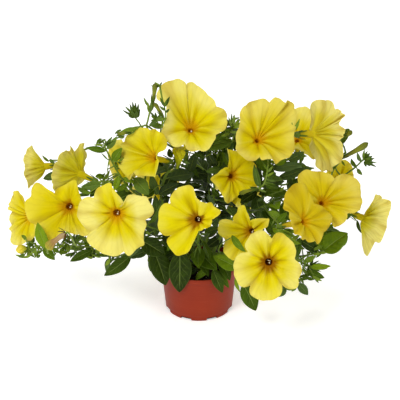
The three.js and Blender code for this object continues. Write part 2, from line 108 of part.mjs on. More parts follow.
// Leaves: own piece or empty, shoot, base, tip, upper-side direction, width, stalk from the base to the stem.
const LEAVES = [
  ["leaf_left_hanging","shoot_left_low",[-87.7,-51.1,104.1],[-122.9,-59.4,78.4],[0.01,-0.956,0.293],16.9,[[-86.7,-50.9,104.8],[-84.4,-49.8,109.5],[-85.9,-46.9,112.6],[-91,-40.1,115.5]]],
  ["","shoot_left_low",[-67.6,-39.2,104.1],[-87.9,-49.6,101],[0.331,-0.793,0.511],11.7,[[-66.6,-38.6,104.3],[-67.4,-36.3,109.2],[-68.7,-35.2,112.6],[-71.1,-34,116.1]]],
  ["leaf_pot_left","shoot_left_low",[-58.3,-43.3,106.4],[-43.2,-50.4,58.6],[0.307,-0.923,0.234],27.6,[[-58.6,-43.1,107.5],[-60.1,-38.2,112.5],[-61.3,-35.6,114.4],[-63.2,-30.9,116.2]]],
  ["leaf_pot_front","shoot_front_left",[-24.4,-48.6,110.8],[-25.3,-53.6,49.1],[0.159,-0.984,0.079],29.9,[[-24.4,-48.5,112],[-24.1,-44.8,111.9],[-24.2,-38.2,113.1],[-25.7,-30.9,116]]],
  ["leaf_dark_left","shoot_left_low",[-74.8,-42.3,122],[-44,-46.2,102.1],[0.081,-0.946,0.314],24.8,[[-75.8,-42.1,122.7],[-76.1,-39,119.3],[-76.4,-35.9,115.9]]],
  ["","shoot_right_low",[13.9,-36.2,76.8],[-5.2,-41.5,61.7],[-0.281,-0.739,0.613],9.6,[[14.8,-35.9,77.6],[15.5,-33.5,79.1],[16.5,-28.8,81.6],[16.3,-22.1,85.9]]],
  ["","shoot_right_low",[21.1,-42.9,77.7],[39.6,-47.6,53.1],[0.313,-0.86,0.402],10,[[20.3,-42.7,78.6],[19.1,-39.8,81.9],[19.3,-36.3,85.3],[21.4,-26.1,91.6]]],
  ["leaf_pot_right","shoot_right_low",[18.3,-49.1,81.4],[31.2,-54.1,49.4],[0.118,-0.973,0.197],14.3,[[17.9,-49,82.5],[20.6,-42.5,85.7],[22.3,-37.1,88.4],[23.5,-27.6,93.3]]],
  ["leaf_front_right","shoot_right_low",[50.6,-55.2,87.9],[18.1,-56.1,106.2],[0.245,-0.887,0.391],19.4,[[51.6,-55.1,87.3],[52.5,-50.7,90.1],[53.3,-47.8,94.1],[53.7,-45,101]]],
  ["leaf_low_right","shoot_right_low",[56.5,-73.8,75],[73.7,-81.7,39.2],[0.078,-0.965,0.251],21.8,[[56,-73.5,76],[58.7,-68,83],[62.3,-59.7,92.1],[66.1,-51.1,102.1]]],
  ["","shoot_right_low",[126.6,-77.7,78.8],[139.5,-83.3,64.4],[-0.148,-0.959,0.242],11.8,[[125.8,-77.3,79.7],[124,-73.7,83.2],[122.5,-67.3,90],[124,-56.8,105.4]]],
  ["","shoot_right_low",[139.3,-61.6,87.1],[161.9,-66,79.3],[-0.041,-0.914,0.404],10.3,[[138.2,-61.3,87.5],[131.8,-56.6,95.3],[131.5,-55.1,100.5],[137,-55.8,106.7]]],
  ["","shoot_right_low",[142.6,-63.1,94],[168.8,-67.7,98.1],[-0.231,-0.738,0.634],7.8,[[141.5,-62.9,93.8],[134.6,-65.1,102],[133.5,-63,107.2],[140,-55.4,107.1]]],
  ["","shoot_right_low",[135.2,-58.1,98.5],[150,-59.5,108.1],[-0.302,-0.895,0.328],7.7,[[134.2,-58,97.8],[134,-57.1,102],[133.8,-56.1,106.3]]],
  ["leaf_bright_right","shoot_right_low",[159.3,-54.3,112.5],[188.8,-55.1,139.1],[-0.401,-0.816,0.416],27.2,[[158.4,-54.2,111.7],[158.4,-53.1,111.3],[158.3,-51.9,111]]],
  ["leaf_dark_right","shoot_right_low",[152.9,-54.1,112.4],[125.2,-53.8,129.8],[0.168,-0.944,0.284],12.8,[[153.9,-54.1,111.8],[153.2,-53.6,110.7],[152.4,-53.1,109.7]]],
  ["leaf_mid_right","shoot_right",[109.9,-6.9,159.3],[119.3,-14.9,135.5],[0.009,-0.947,0.322],18.3,[[109.5,-6.5,160.4],[108.5,-3,160.9],[107.5,0.5,161.5]]],
  ["leaf_grey_right","shoot_right_high",[93.5,3.7,203.3],[133.6,-5.2,212.9],[-0.29,-0.862,0.416],13,[[92.3,3.9,203],[93.5,5.7,203.5],[94.7,7.5,203.9]]],
  ["","shoot_right_high",[114.3,-3.9,217.9],[133.7,-8.3,230.9],[-0.263,-0.962,0.074],11.8,[[113.3,-3.7,217.2],[109.5,-2.8,218.5],[106.9,-1,219.9],[102.1,4.7,223.9]]],
  ["leaf_upper_right","shoot_right_high",[101.8,3.2,187.8],[146.2,0.1,204.9],[-0.201,-0.913,0.355],11.7,[[100.7,3.3,187.3],[96.4,4.8,189.8],[93.5,6.3,191.1],[90.3,9.2,192.3]]],
  ["","shoot_right",[132.4,9.4,186.4],[119.5,4.4,171.3],[-0.102,-0.915,0.39],10.5,[[133.2,9.6,187.3],[131.7,10,181.5],[132.8,8.7,177.1],[138.3,3.8,170.6]]],
  ["","shoot_right_high",[79.2,12.2,172],[74.1,8.9,210.9],[-0.213,-0.971,-0.111],12.1,[[79.4,12.3,170.8],[79.7,12,171.2],[80.1,11.7,171.5]]],
  ["","shoot_right_high",[78,13.5,170],[51.5,7.2,162],[-0.161,-0.445,0.881],9.1,[[79.2,13.7,170.3],[78.9,12.8,169.7],[78.7,11.8,169.1]]],
  ["","shoot_right_high",[90.5,9.6,186.3],[106.6,5.9,167.7],[0.003,-0.981,0.196],10.5,[[89.7,9.7,187.2],[88.8,9.8,187.1],[87.9,9.9,187]]],
  ["leaf_centre_right","shoot_right_high",[74,8.1,162.3],[84.5,9.7,122.8],[0.238,-0.971,0.022],21.4,[[73.7,8,163.5],[74.4,10,163.6],[75.2,12,163.7]]],
  ["","shoot_right_high",[76.2,3.3,169],[53.8,-5.3,157.1],[-0.019,-0.794,0.608],13.3,[[77.2,3.7,169.5],[77.9,7.8,169.3],[78.7,11.8,169.1]]],
  ["","shoot_right_inner",[22.1,2.4,205.3],[9,-4.8,232.2],[0.031,-0.97,-0.242],12,[[22.6,2.6,204.2],[21.5,4.1,205.2],[20.3,5.6,206.2]]],
  ["","shoot_right_inner",[23.5,8,202.7],[33.6,5,228],[-0.541,-0.833,0.117],12.4,[[23.1,8.2,201.6],[21.5,7.4,201.8],[20,6.7,202]]],
  ["","shoot_right_inner",[27.2,-2,205.8],[9.1,-6.6,202.2],[0.146,-0.897,0.416],9,[[28.3,-1.7,206],[26,1.3,212.6],[23.4,2.7,213],[20.7,4.9,209.3]]],
  ["leaf_bright_left","shoot_left_low",[-187.2,-95,139.1],[-197.3,-90,172],[-0.152,-0.983,0.102],15.3,[[-187.2,-95,139.1],[-186.7,-95,136.3],[-188.7,-82,124.4],[-194.8,-56,112],[-199.2,-32.5,107.6]]],
  ["","shoot_left_low",[-203.9,-32.9,105.1],[-188.5,-38.4,90.2],[0.185,-0.844,0.504],11.8,[[-204.7,-32.6,105.9],[-204.3,-32.1,106.8],[-203.9,-31.6,107.8]]],
  ["","shoot_left_low",[-138.4,-44.9,108.8],[-167.3,-48.6,93.8],[-0.058,-0.936,0.348],11.7,[[-137.4,-44.7,109.3],[-138.2,-42.5,110],[-139,-40.2,110.8]]],
  ["","shoot_left_low",[-146.7,-39.2,110],[-136.7,-32.4,89.8],[0.65,-0.757,0.069],11.9,[[-147.3,-39.5,111.1],[-147.1,-39.5,110.7],[-146.9,-39.5,110.4]]],
  ["","shoot_left_low",[-136.1,-45.5,101.7],[-103,-52.9,105.1],[-0.232,-0.742,0.629],5.3,[[-137.3,-45.2,101.6],[-138.4,-43.9,101.5],[-138.4,-42.6,103.2],[-136.6,-40.3,110.9]]],
  ["","shoot_left_high",[-123.1,-39.3,200.4],[-147.9,-43.1,198],[0.108,-0.933,0.344],11.4,[[-121.9,-39.1,200.5],[-114.6,-36.7,208],[-107,-33.4,211.4],[-101,-31.4,211.4]]],
  ["","shoot_left_high",[-124.7,-36.9,197.9],[-137.4,-42.4,183.8],[-0.153,-0.867,0.475],11.7,[[-123.9,-36.6,198.8],[-117.9,-32.3,201],[-110.8,-30.1,204.7],[-101,-31.4,211.4]]],
  ["","shoot_left_high",[-116.1,-27.4,240.4],[-140.5,-30.2,246.3],[0.217,-0.845,0.489],8.2,[[-115,-27.2,240.1],[-115.2,-26.9,240.4],[-115.4,-26.6,240.8]]],
  ["","shoot_left_high",[-114.6,-28.4,243.5],[-101.5,-28.5,260.4],[-0.035,-0.999,0.023],7.5,[[-115.4,-28.4,242.6],[-115.8,-27.3,242.7],[-116.3,-26.2,242.7]]],
  ["","shoot_left_high",[-107.6,-30.3,228],[-95.2,-35.7,248],[-0.513,-0.854,0.084],11.7,[[-108.2,-30,227],[-108.4,-29.8,226.8],[-108.6,-29.6,226.6]]],
  ["","shoot_left_high",[-100.7,-31.9,208.1],[-107,-40.3,191.2],[0.123,-0.907,0.402],8.8,[[-100.4,-31.4,209.1],[-100.1,-31.4,209.2],[-99.8,-31.3,209.2]]],
  ["leaf_upper_left","shoot_left_high",[-81.8,-33.4,206],[-63,-41.5,186.2],[0.192,-0.83,0.523],17.9,[[-82.6,-33,206.8],[-84.2,-31.9,206.5],[-88,-30.7,205],[-95.1,-30.6,200.5]]],
  ["","shoot_middle",[-58.4,-7.2,176.8],[-71,-16.6,171.3],[0.231,-0.704,0.671],10.5,[[-57.5,-6.5,177.2],[-53.6,-10.5,183.7],[-49.3,-7.3,184.1],[-48.9,-1.2,176.6]]],
  ["","shoot_middle",[-54.8,-3,167.6],[-62,-2.9,197.7],[-0.107,-0.994,-0.019],12.1,[[-54.5,-3.1,166.5],[-52.1,-1.3,167.7],[-49.8,0.5,168.9]]],
  ["","shoot_middle",[-51.8,-10.4,172.6],[-25.6,-15.8,190.9],[-0.356,-0.902,0.243],14.3,[[-52.8,-10.2,171.9],[-52,-9.6,172.9],[-49.4,-6.7,173.5],[-49.3,-0.7,174.1]]],
  ["","shoot_left_high",[-77.3,-16.9,265.7],[-97.2,-18.8,263.2],[0.043,-0.925,0.376],7.5,[[-76.1,-16.8,265.9],[-81.5,-14.6,263.4],[-93.5,-15.5,258.2],[-118.2,-25.5,246.7]]],
  ["","shoot_middle",[-43.9,-7.9,264.9],[-62.6,-8.3,268.4],[0.093,-0.911,0.401],7.6,[[-42.7,-7.9,264.6],[-36.9,-9.8,257.2],[-30,-11.2,246.5],[-22.8,-12.2,232.3]]],
  ["leaf_centre_left","shoot_left_high",[-55.5,-2.5,135.1],[-57.2,-6.8,169.5],[0.064,-0.99,-0.122],11.9,[[-55.4,-2.4,133.9],[-53.3,-0.7,136.6],[-51.1,0.9,139.3]]],
  ["leaf_centre","shoot_middle",[-35,-6.9,176.7],[-16.9,-14.9,145.8],[0.219,-0.906,0.363],19.7,[[-35.6,-6.6,177.7],[-41.6,-1.6,179.5],[-44.1,-0.9,180.3],[-47.8,-2.2,181.5]]],
  ["","shoot_left_high",[-64.1,-12.3,144.5],[-76.2,-21.2,162.1],[0.55,-0.834,-0.043],13.1,[[-63.4,-11.9,143.6],[-65.1,-7.6,143.3],[-64.9,-4.5,144.8],[-60.8,-3.5,150.5]]],
  ["","shoot_right_inner",[19.2,20,146.8],[20.7,49.7,146.2],[0.619,-0.013,0.786],14,[[19.2,20,146.8],[19.1,16.7,146.5]]],
  ["","shoot_front_left",[-10.2,-25.1,83.9],[3.1,-47.3,87.4],[-0.187,0.045,0.981],11.6,[[-10.2,-25.1,83.9],[-13.4,-19.8,82.2]]],
  ["","shoot_right_high",[19.6,10,82.5],[30.5,34.5,90.3],[0.054,-0.327,0.944],13.5,[[19.6,10,82.5],[17.2,4.5,79.9]]],
  ["","shoot_back_left",[-2.7,26.6,77.1],[20.1,63.7,65],[0.413,0.044,0.91],21.9,[[-2.7,26.6,77.1],[-7.2,19.2,78.5]]],
  ["","shoot_back",[19.3,33.4,129],[44.7,16.6,132.3],[0.227,0.508,0.831],14.7,[[19.3,33.4,129],[13.4,37.3,127.4]]],
  ["","shoot_back",[17.9,31.7,118],[44.4,24,126.5],[-0.299,0.029,0.954],15.5,[[17.9,31.7,118],[12.3,33.3,115.4]]],
  ["","shoot_left_low",[-56.9,-23.5,117],[-71.1,19.6,121.8],[0.114,-0.073,0.991],22.7,[[-56.9,-23.5,117],[-55.5,-27.7,116]]],
  ["","shoot_back",[10.2,53.4,171.4],[-4.5,95.1,179.8],[-0.123,-0.237,0.964],20.9,[[10.2,53.4,171.4],[12.9,45.8,168.9]]],
  ["","shoot_back_left",[-6.7,29.6,92.6],[16.8,46.9,90.5],[-0.075,0.221,0.972],16.1,[[-6.7,29.6,92.6],[-11.2,26.3,92.3]]],
  ["","shoot_back",[12.1,37.4,165],[8.2,11.6,166.1],[0.346,-0.013,0.938],13.7,[[12.1,37.4,165],[13.3,45.4,163.7]]],
  ["","shoot_right",[84.2,-6.6,146.8],[97.6,-31.9,128.1],[0.367,-0.419,0.83],16.3,[[84.2,-6.6,146.8],[81.9,-2.4,149.3]]],
  ["","shoot_right",[96.1,-4.6,157.6],[100.3,-44.3,169.1],[-0.266,0.243,0.933],19,[[96.1,-4.6,157.6],[95.7,-0.8,155.9]]],
  ["","shoot_front",[3.5,-20.7,102.4],[20.8,-5,122.7],[-0.829,0.357,0.431],18.1,[[3.5,-20.7,102.4],[-0.2,-24,97.2]]],
  ["","shoot_front_left",[-18.5,-22.1,76.8],[-43.5,-37.3,75.5],[0.067,-0.196,0.978],13.6,[[-18.5,-22.1,76.8],[-11.7,-18,76.3]]],
  ["","shoot_front",[3.3,-53.1,127.7],[14.3,-66.1,106.1],[0.725,-0.363,0.585],12.8,[[3.3,-53.1,127.7],[-0,-49,133.5]]],
  ["","shoot_back",[14,45.9,142.4],[14.4,87.3,126.7],[-0.133,0.352,0.926],18.3,[[14,45.9,142.4],[14,41.8,143.4]]],
  ["","shoot_right_inner",[25.3,12.7,152.5],[45.7,-0.8,152.2],[0.062,0.071,0.996],12.2,[[25.3,12.7,152.5],[19.6,16.4,151.8]]],
  ["","shoot_middle",[-47.3,8.8,164],[-34.5,49.7,179.8],[0.261,-0.418,0.87],23.1,[[-47.3,8.8,164],[-49.4,2.2,160.6]]],
  ["","shoot_back",[12,39,143],[-7.1,18.5,157],[0.241,0.383,0.892],15.3,[[12,39,143],[14,41.2,141.1]]],
  ["","shoot_back",[8.9,46.4,161.3],[-16.1,53.3,159.7],[-0.024,0.145,0.989],12.5,[[8.9,46.4,161.3],[13.5,45.1,161]]],
  ["","shoot_front_left",[-25.8,-27.3,96.4],[-47.3,-33.8,84.3],[-0.378,-0.344,0.859],12.5,[[-25.8,-27.3,96.4],[-18.4,-25.1,99.6]]],
  ["","shoot_front",[1.8,-27.6,97.1],[22.4,-64.5,91.4],[-0.48,-0.391,0.785],23.3,[[1.8,-27.6,97.1],[-0.2,-24,97.2]]],
  ["","shoot_back",[11.8,23.6,91.5],[33.3,21.2,106],[-0.558,0.009,0.83],13.3,[[11.8,23.6,91.5],[9.2,23.9,89.4]]],
  ["","shoot_right",[108.9,6.1,160],[117.2,39.6,147],[-0.29,0.407,0.866],19.2,[[108.9,6.1,160],[107.5,0.5,161.5]]],
  ["","shoot_middle",[-29.4,-11.9,183],[-3.1,-9.6,187.6],[0.13,-0.959,-0.252],13.3,[[-29.4,-11.9,183],[-35.6,-6.6,177.7]]],
  ["","shoot_right_high",[93.2,2.2,191.3],[109.4,-3.2,189.2],[-0.23,-0.86,0.455],7.3,[[93.2,2.2,191.3],[94.9,5.5,190.5]]],
  ["","shoot_right_high",[130.1,74.7,170.4],[158.6,77.7,170.1],[-0.018,0.268,0.963],13.2,[[130.1,74.7,170.4],[132.9,82,163]]],
  ["","shoot_right_high",[143.3,77.5,193.4],[138.1,72.2,178.3],[0.262,-0.935,0.238],6.6,[[143.3,77.5,193.4],[135.1,90.2,173.6]]],
  ["","shoot_back",[-12.5,22.4,189.3],[-5.2,28.5,213.9],[-0.117,-0.955,0.273],13.2,[[-12.5,22.4,189.3],[-8,35.9,196.6]]],
  ["","shoot_left_high",[-104.2,-46,194.9],[-88,-37.8,201.1],[0.444,-0.896,0.014],8.7,[[-104.2,-46,194.9],[-97.8,-29.7,200.4]]],
  ["","shoot_right_low",[157.7,-42.2,105.4],[172.8,-25.7,137],[-0.16,-0.84,0.518],20.8,[[157.7,-42.2,105.4],[158.3,-51.9,111]]],
  ["","shoot_back",[8.9,48.7,144.1],[-8.8,47.2,149.2],[0.166,-0.942,0.293],6.9,[[8.9,48.7,144.1],[14,42.3,145.7]]],
  ["","shoot_left_high",[-138.4,-38.7,184.5],[-154.8,-45.1,186.3],[0.195,-0.24,0.951],6.7,[[-138.4,-38.7,184.5],[-123.9,-36.6,198.8]]],
  ["","shoot_left_high",[-73.6,3.1,144.3],[-61.7,2.2,161.9],[-0.02,-0.999,-0.036],9.4,[[-73.6,3.1,144.3],[-64.9,-4.5,144.8]]],
  ["","shoot_right_high",[73.7,6.5,220.6],[97.8,-8.3,197.9],[-0.342,-0.911,0.23],17.4,[[73.7,6.5,220.6],[73,5.7,218.9]]],
  ["","shoot_right_inner",[17.3,-4.1,229],[28.5,20.9,256.9],[-0.841,0.525,-0.133],19,[[17.3,-4.1,229],[25.7,-0.7,227.4]]],
  ["","shoot_left_high",[-182.8,18.3,186.9],[-206.3,21.9,179.6],[-0.327,-0.511,0.795],14.1,[[-182.8,18.3,186.9],[-174.3,27.2,204.1]]],
  ["","shoot_right_high",[37.3,11.8,138.1],[24,13.3,147],[-0.211,-0.966,-0.151],7.3,[[37.3,11.8,138.1],[46.9,10.4,128.6]]],
  ["","shoot_back",[-10.1,45.4,186.4],[-0.4,30.3,178.6],[-0.436,-0.617,0.656],7.4,[[-10.1,45.4,186.4],[-1,38.4,191.1]]],
  ["","shoot_right_high",[83.4,3.6,170.8],[115.8,-11.2,174.6],[-0.425,-0.844,0.328],16.1,[[83.4,3.6,170.8],[77.2,3.7,169.5]]],
  ["","shoot_middle",[-31.8,-3.5,183.4],[-15.8,2.9,177],[0.422,-0.892,0.164],7.9,[[-31.8,-3.5,183.4],[-35.6,-6.6,177.7]]],
  ["","shoot_right_low",[180.7,-50.5,115.3],[190.9,-49,131.7],[0.203,-0.978,-0.036],6.8,[[180.7,-50.5,115.3],[169.8,-49.5,114]]],
  ["","shoot_left_high",[-129.9,-38.2,210.4],[-118.5,-25.3,203],[0.771,-0.388,0.505],7.5,[[-129.9,-38.2,210.4],[-120.1,-38.5,202.5]]],
  ["","shoot_right",[105.5,-78.1,155.7],[120.7,-88.2,158.7],[-0.556,-0.831,0.028],7.5,[[105.5,-78.1,155.7],[99.1,-73.4,161.6]]],
  ["","shoot_right_high",[94.8,24.9,168.8],[74.7,26.1,168.9],[-0.054,-0.908,-0.415],8.6,[[94.8,24.9,168.8],[97,25.8,171.7]]],
  ["","shoot_right_inner",[37.5,6.3,245.3],[36.2,-3.9,209.2],[-0.493,-0.833,0.253],17.1,[[37.5,6.3,245.3],[31.9,-5.9,243.8]]],
  ["","shoot_front_left",[-30.9,-28.5,111.4],[-50.4,-21.3,105.3],[-0.364,-0.93,0.057],10.5,[[-30.9,-28.5,111.4],[-24.5,-30.1,114]]],
  ["","shoot_back",[2.8,38.2,160.5],[-15.7,30.1,168.4],[0.264,-0.908,-0.324],10.7,[[2.8,38.2,160.5],[13.5,45.1,161]]],
  ["","shoot_left_low",[-78,-37.8,121.6],[-61.3,-35.8,127],[0.245,-0.863,-0.443],7.2,[[-78,-37.8,121.6],[-76.1,-39,119.3]]],
  ["","shoot_right_inner",[16.7,8.4,208.8],[15.5,4.2,177.7],[-0.957,-0.281,0.074],18,[[16.7,8.4,208.8],[20.3,5.6,206.2]]],
  ["","shoot_right_high",[85.3,10.7,180.9],[102,16.6,163.8],[-0.223,-0.833,-0.506],11.9,[[85.3,10.7,180.9],[85.1,10.6,181.3]]],
  ["","shoot_right",[86,-61.7,147.5],[106.4,-63,148.4],[-0.059,-0.991,-0.121],9,[[86,-61.7,147.5],[95.1,-56.7,159.3]]],
  ["","shoot_left_low",[-60.9,-39.8,96.3],[-63.8,-49.4,79.1],[-0.602,-0.65,0.464],7.6,[[-60.9,-39.8,96.3],[-66.6,-38.6,104.3]]],
  ["","shoot_left_low",[-114.7,-46,97],[-122.6,-44.1,75.9],[-0.715,-0.669,0.205],11.1,[[-114.7,-46,97],[-117.1,-41.7,113.2]]],
  ["","shoot_right_low",[121.6,-63.5,106.9],[128.2,-58.1,134.3],[-0.568,-0.771,0.288],14.9,[[121.6,-63.5,106.9],[121.7,-57,105.3]]],
  ["","shoot_right_low",[112.5,-67.9,67.9],[97.7,-84,62.3],[0.565,-0.681,0.465],12.8,[[112.5,-67.9,67.9],[124.9,-75.7,81.2]]],
  ["","shoot_right_low",[159.3,-50.5,111.6],[151.5,-46,127.8],[0.373,-0.832,0.41],7.9,[[159.3,-50.5,111.6],[158.3,-51.9,111]]],
  ["","shoot_right_inner",[39.1,26.8,147.9],[21.7,23.5,152.9],[0.011,-0.855,-0.519],7.3,[[39.1,26.8,147.9],[19.3,16.6,149.2]]],
  ["","shoot_right_inner",[8.9,-19.5,226.8],[-6.7,-15.2,234.9],[-0.375,-0.897,-0.235],6.8,[[8.9,-19.5,226.8],[26.7,-4,233.6]]],
  ["","shoot_left_high",[-94.7,-36.1,207.3],[-79.8,-41.6,203.4],[-0.101,-0.749,0.655],7,[[-94.7,-36.1,207.3],[-97.5,-31.2,204.9]]],
  ["","shoot_right_inner",[11.5,19.7,157.7],[21,4.4,149.4],[-0.712,-0.622,0.325],7.7,[[11.5,19.7,157.7],[20,16,157]]],
  ["","shoot_middle",[-59.5,-36,294.2],[-57,-39,311.4],[0.031,-0.984,-0.176],4.1,[[-59.5,-36,294.2],[-60.2,-35,291.9]]],
  ["","shoot_middle",[-73.1,-31,274.5],[-92.1,-37,271.1],[0.291,-0.955,0.058],5.4,[[-73.1,-31,274.5],[-69.6,-27.5,273.4]]],
  ["","shoot_right_high",[76.2,-46,198.6],[69,-39,227.4],[-0.443,-0.89,0.105],9.5,[[76.2,-46,198.6],[79.4,-44.5,200.4]]],
  ["","shoot_right_high",[83.3,-43,201.9],[99.9,-40,194.4],[0.1,-0.98,-0.171],8.3,[[83.3,-43,201.9],[81.9,-43.6,203]]],
  ["","shoot_right_low",[40.9,-71,144.3],[58,-94,133.2],[-0.594,-0.663,0.456],9,[[40.9,-71,144.3],[34.1,-71,136.9],[27.4,-65,127.2],[25.3,-47,109.2],[28.7,-30.8,96.1]]],
  ["","shoot_right",[203.3,3.6,204.4],[195.7,0,217.9],[-0.377,-0.818,-0.435],7,[[203.3,3.6,204.4],[204.7,4.9,205.7]]],
  ["","shoot_right",[205,3.4,202.5],[211.5,-3,196.3],[-0.576,-0.789,0.213],5.7,[[205,3.4,202.5],[203.3,5,204.4]]],
  ["","shoot_right",[209.2,3.4,211.9],[202.4,-2,227.4],[-0.416,-0.786,-0.458],5.9,[[209.2,3.4,211.9],[210.2,4.4,211.9]]],
  ["","shoot_right_high",[118.7,-14,261.2],[124.5,-22,281.3],[-0.209,-0.928,-0.309],4.3,[[118.7,-14,261.2],[119.1,-11,256.6]]],
];
// Buds: piece, shoot, base, tip, width, shape, stalk.
const BUDS = [
  ["bud_top","shoot_middle",[-56.8,-35,305.5],[-52.6,-35,331.6],6.7,"bud",[[-56.8,-35,305.5],[-57.4,-35,303.2],[-60,-35,293.9],[-62.2,-34,284.4],[-63.9,-27,271.3],[-53.5,-19.1,256],[-22.8,-12.2,232.3]]],
  ["bud_top_small","shoot_middle",[-43.5,-41,291],[-53.9,-44,310.1],5.5,"bud",[[-42.3,-40.7,288.8],[-44.7,-32.9,276.5],[-40.2,-23.2,259.3],[-22.8,-12.2,232.3]]],
  ["bud_right_long","shoot_right",[181.9,-5,221.1],[215.6,-1,240.2],9,"bud",[[181.9,-5,221.1],[182.8,-5,219.8],[179,-4,213.2],[174.7,-1,204.6],[172.1,3,192.2],[174.3,5,182.9]]],
  ["bud_right_small","shoot_right",[181.2,1,244.9],[195.1,5,254.3],7,"bud",[[181.2,1,244.9],[181.1,0.5,244.3],[178.7,6,238],[175.7,12,222.2],[178.1,10,200.4],[185.9,5.2,190.4]]],
  ["bud_left_round","shoot_left_low",[-220.8,-53,114.7],[-233.7,-59,116.6],12.2,"round",[[-218.5,-52,114.4],[-211.1,-41,109.2],[-211.3,-35.4,107.6],[-216,-30,106.5]]],
  ["flower_half_open","shoot_middle",[-27.1,-21,214.3],[-24.9,-26,244.4],17.8,"half",[[-27.1,-21,214.3],[-32.3,8.8,199.3],[-35.2,2.2,199.5],[-40.6,-6.3,201]]],
  ["flower_withered","shoot_left_low",[-161.8,-104,164.6],[-185.1,-108,146.3],11.4,"wither",[[-161.8,-104,164.6],[-159.1,-103.5,165.8],[-156.3,-101,160.1],[-155.2,-87,144.2],[-155.3,-64,125.5],[-154.6,-38.6,110.3]]],
  ["bud_left_high","shoot_middle",[-83.7,-32,266.4],[-100.9,-34,265.9],4.9,"bud",[[-83.7,-32,266.4],[-81.5,-31.8,266.5],[-77.1,-30.5,272.2],[-69,-27,273.5],[-60.6,-23.5,270.2],[-22.8,-12.2,232.3]]],
  ["bud_centre","shoot_right_high",[72.9,-47.5,197.9],[49.9,-57,195.5],5.8,"bud",[[72.9,-47.5,197.9],[74.7,-46.5,198.3],[80.9,-44,201.9],[84.5,-41,212.3],[86.1,-36,224.4],[87.9,-20,227.7],[96.1,6.8,207.6]]],
];
// Tufts of small bracts at shoot tips: shoot, base, direction, stalk, and [base, tip, normal, width] of each bract.
const CLUSTERS = [
  ["shoot_left_high",[-115.6,-36.8,249.4],[-0.066,0.14,0.988],[[-115.6,-36.8,249.4],[-117.4,-35.5,247.7],[-118.4,-33.2,246.6],[-118.2,-25.5,246.7]],[[[-115.2,-37.1,252],[-108,-45.9,257.9],[0.405,-0.26,-0.877],2.8],[[-114.9,-36.1,253.3],[-103.3,-34.7,256.3],[-0.271,0.241,0.932],3.8]]],
  ["shoot_right_inner",[42.3,-10.9,260.2],[-0.107,0.133,0.985],[[42.3,-10.9,260.2],[41.5,-10.6,261.1],[40.6,-10.2,261.9]],[[[42.4,-10,265.3],[50.5,-5.2,275.5],[0.603,-0.79,-0.11],3.7],[[41.3,-11,261.9],[27.8,-14.7,269.3],[-0.522,0.421,-0.742],3.7]]],
  ["shoot_right",[213.4,4.6,214.5],[0.999,0,-0.054],[[213.4,4.6,214.5],[212.6,4.4,214],[211.8,4.2,214.2]],[[[214.6,4,214.1],[223.1,0,222.3],[-0.345,-0.934,-0.098],3.9],[[214.7,4,213],[224.1,-2,212.6],[-0.535,-0.842,0.069],3.9]]],
  ["shoot_left_low",[-213.1,-31.1,111.5],[-0.894,-0.448,0.019],[[-213.1,-31.1,111.5],[-213.4,-30.7,109.1],[-213.6,-30.3,106.7]],[[[-216.9,-33.8,110.9],[-214,-42.3,102.7],[0.094,-0.678,0.729],2.7],[[-216.4,-32.1,111],[-229.5,-28.1,100.4],[-0.335,0.662,0.67],3.4]]],
  ["shoot_middle",[-77.1,-30.5,284.8],[-0.288,0,0.958],[[-77.1,-30.5,284.8],[-73.4,-28.5,278.5],[-69.7,-25.4,271],[-53.5,-19.1,256],[-22.8,-12.2,232.3]],[[[-78.2,-31.1,287.7],[-83.2,-40.5,304.2],[0.216,-0.875,-0.434],3.9],[[-77.7,-31.1,287.9],[-72.6,-39.5,303],[-0.076,-0.882,-0.466],3.7]]],
  ["shoot_middle",[-51.9,-33,284.5],[-0.796,0,0.605],[[-51.9,-33,284.5],[-49.2,-30.5,276.6],[-41.5,-26.5,259.6],[-22.8,-12.2,232.3]],[[[-51.2,-34,284.4],[-60.7,-38,277.5],[0.275,-0.946,0.172],5.6],[[-52.4,-35,285.5],[-38.9,-41,289.1],[-0.382,-0.918,-0.106],5.4]]],
  ["shoot_middle",[-41.5,-43,304.6],[0.227,-0.143,0.963],[[-41.5,-43,304.6],[-40.3,-46,298.7],[-41.2,-45,288],[-46.9,-37,271.8],[-44.7,-25,252.2],[-22.8,-12.2,232.3]],[[[-41.1,-44,305.7],[-34.7,-48,319.6],[-0.071,-0.967,-0.245],3.9],[[-41.6,-44,306],[-46.4,-47,318],[0.118,-0.974,-0.195],3.1]]],
  ["shoot_left_low",[-159.5,-67.5,128.4],[0.263,0.216,0.94],[[-159.5,-67.5,128.4],[-158.8,-62.2,125.7],[-157.9,-56.1,122],[-154.6,-38.6,110.2]],[[[-158.1,-67.3,133.6],[-158.3,-81.3,137.9],[0.574,-0.246,-0.781],2.8],[[-158.8,-67.3,129.8],[-151.4,-66.3,142.8],[0.57,-0.777,-0.268],4.4]]],
  ["shoot_front",[-1.8,-61.8,130.8],[0.097,-0.676,-0.73],[[-1.8,-61.8,130.8],[-1.4,-58,134.6],[-1,-56.3,136.7],[0.1,-54.3,139.1]],[[[-1.7,-64.7,126.7],[-6.7,-64.3,114.5],[0.793,-0.508,-0.337],4.4],[[-1.5,-65.5,126.9],[-5.4,-77.5,115.7],[-0.972,0.211,0.104],3.2]]],
  ["shoot_right_inner",[26.7,-4,233.6],[0.779,-0.564,-0.274],[[26.7,-4,233.6],[27.4,-3.4,233.6],[28.1,-2.8,233.6]],[[[28.8,-5.2,232.7],[35.9,-7.5,228.8],[-0.334,0.428,-0.84],3.6],[[26.9,-5.2,233.7],[20.4,-9.2,237.3],[-0.078,0.732,0.677],2.7]]],
  ["shoot_right_low",[141.5,-50.9,89.9],[0.738,-0.626,-0.251],[[141.5,-50.9,89.9],[140.7,-51.8,92.7],[140.2,-52.8,96.4],[140,-55.4,107.1]],[[[142.9,-52.6,90],[146.5,-61.2,94.4],[0.554,-0.178,-0.813],3.4],[[143.5,-51.9,88.9],[150.8,-52.2,82.8],[-0.007,0.998,-0.055],4.4]]],
];
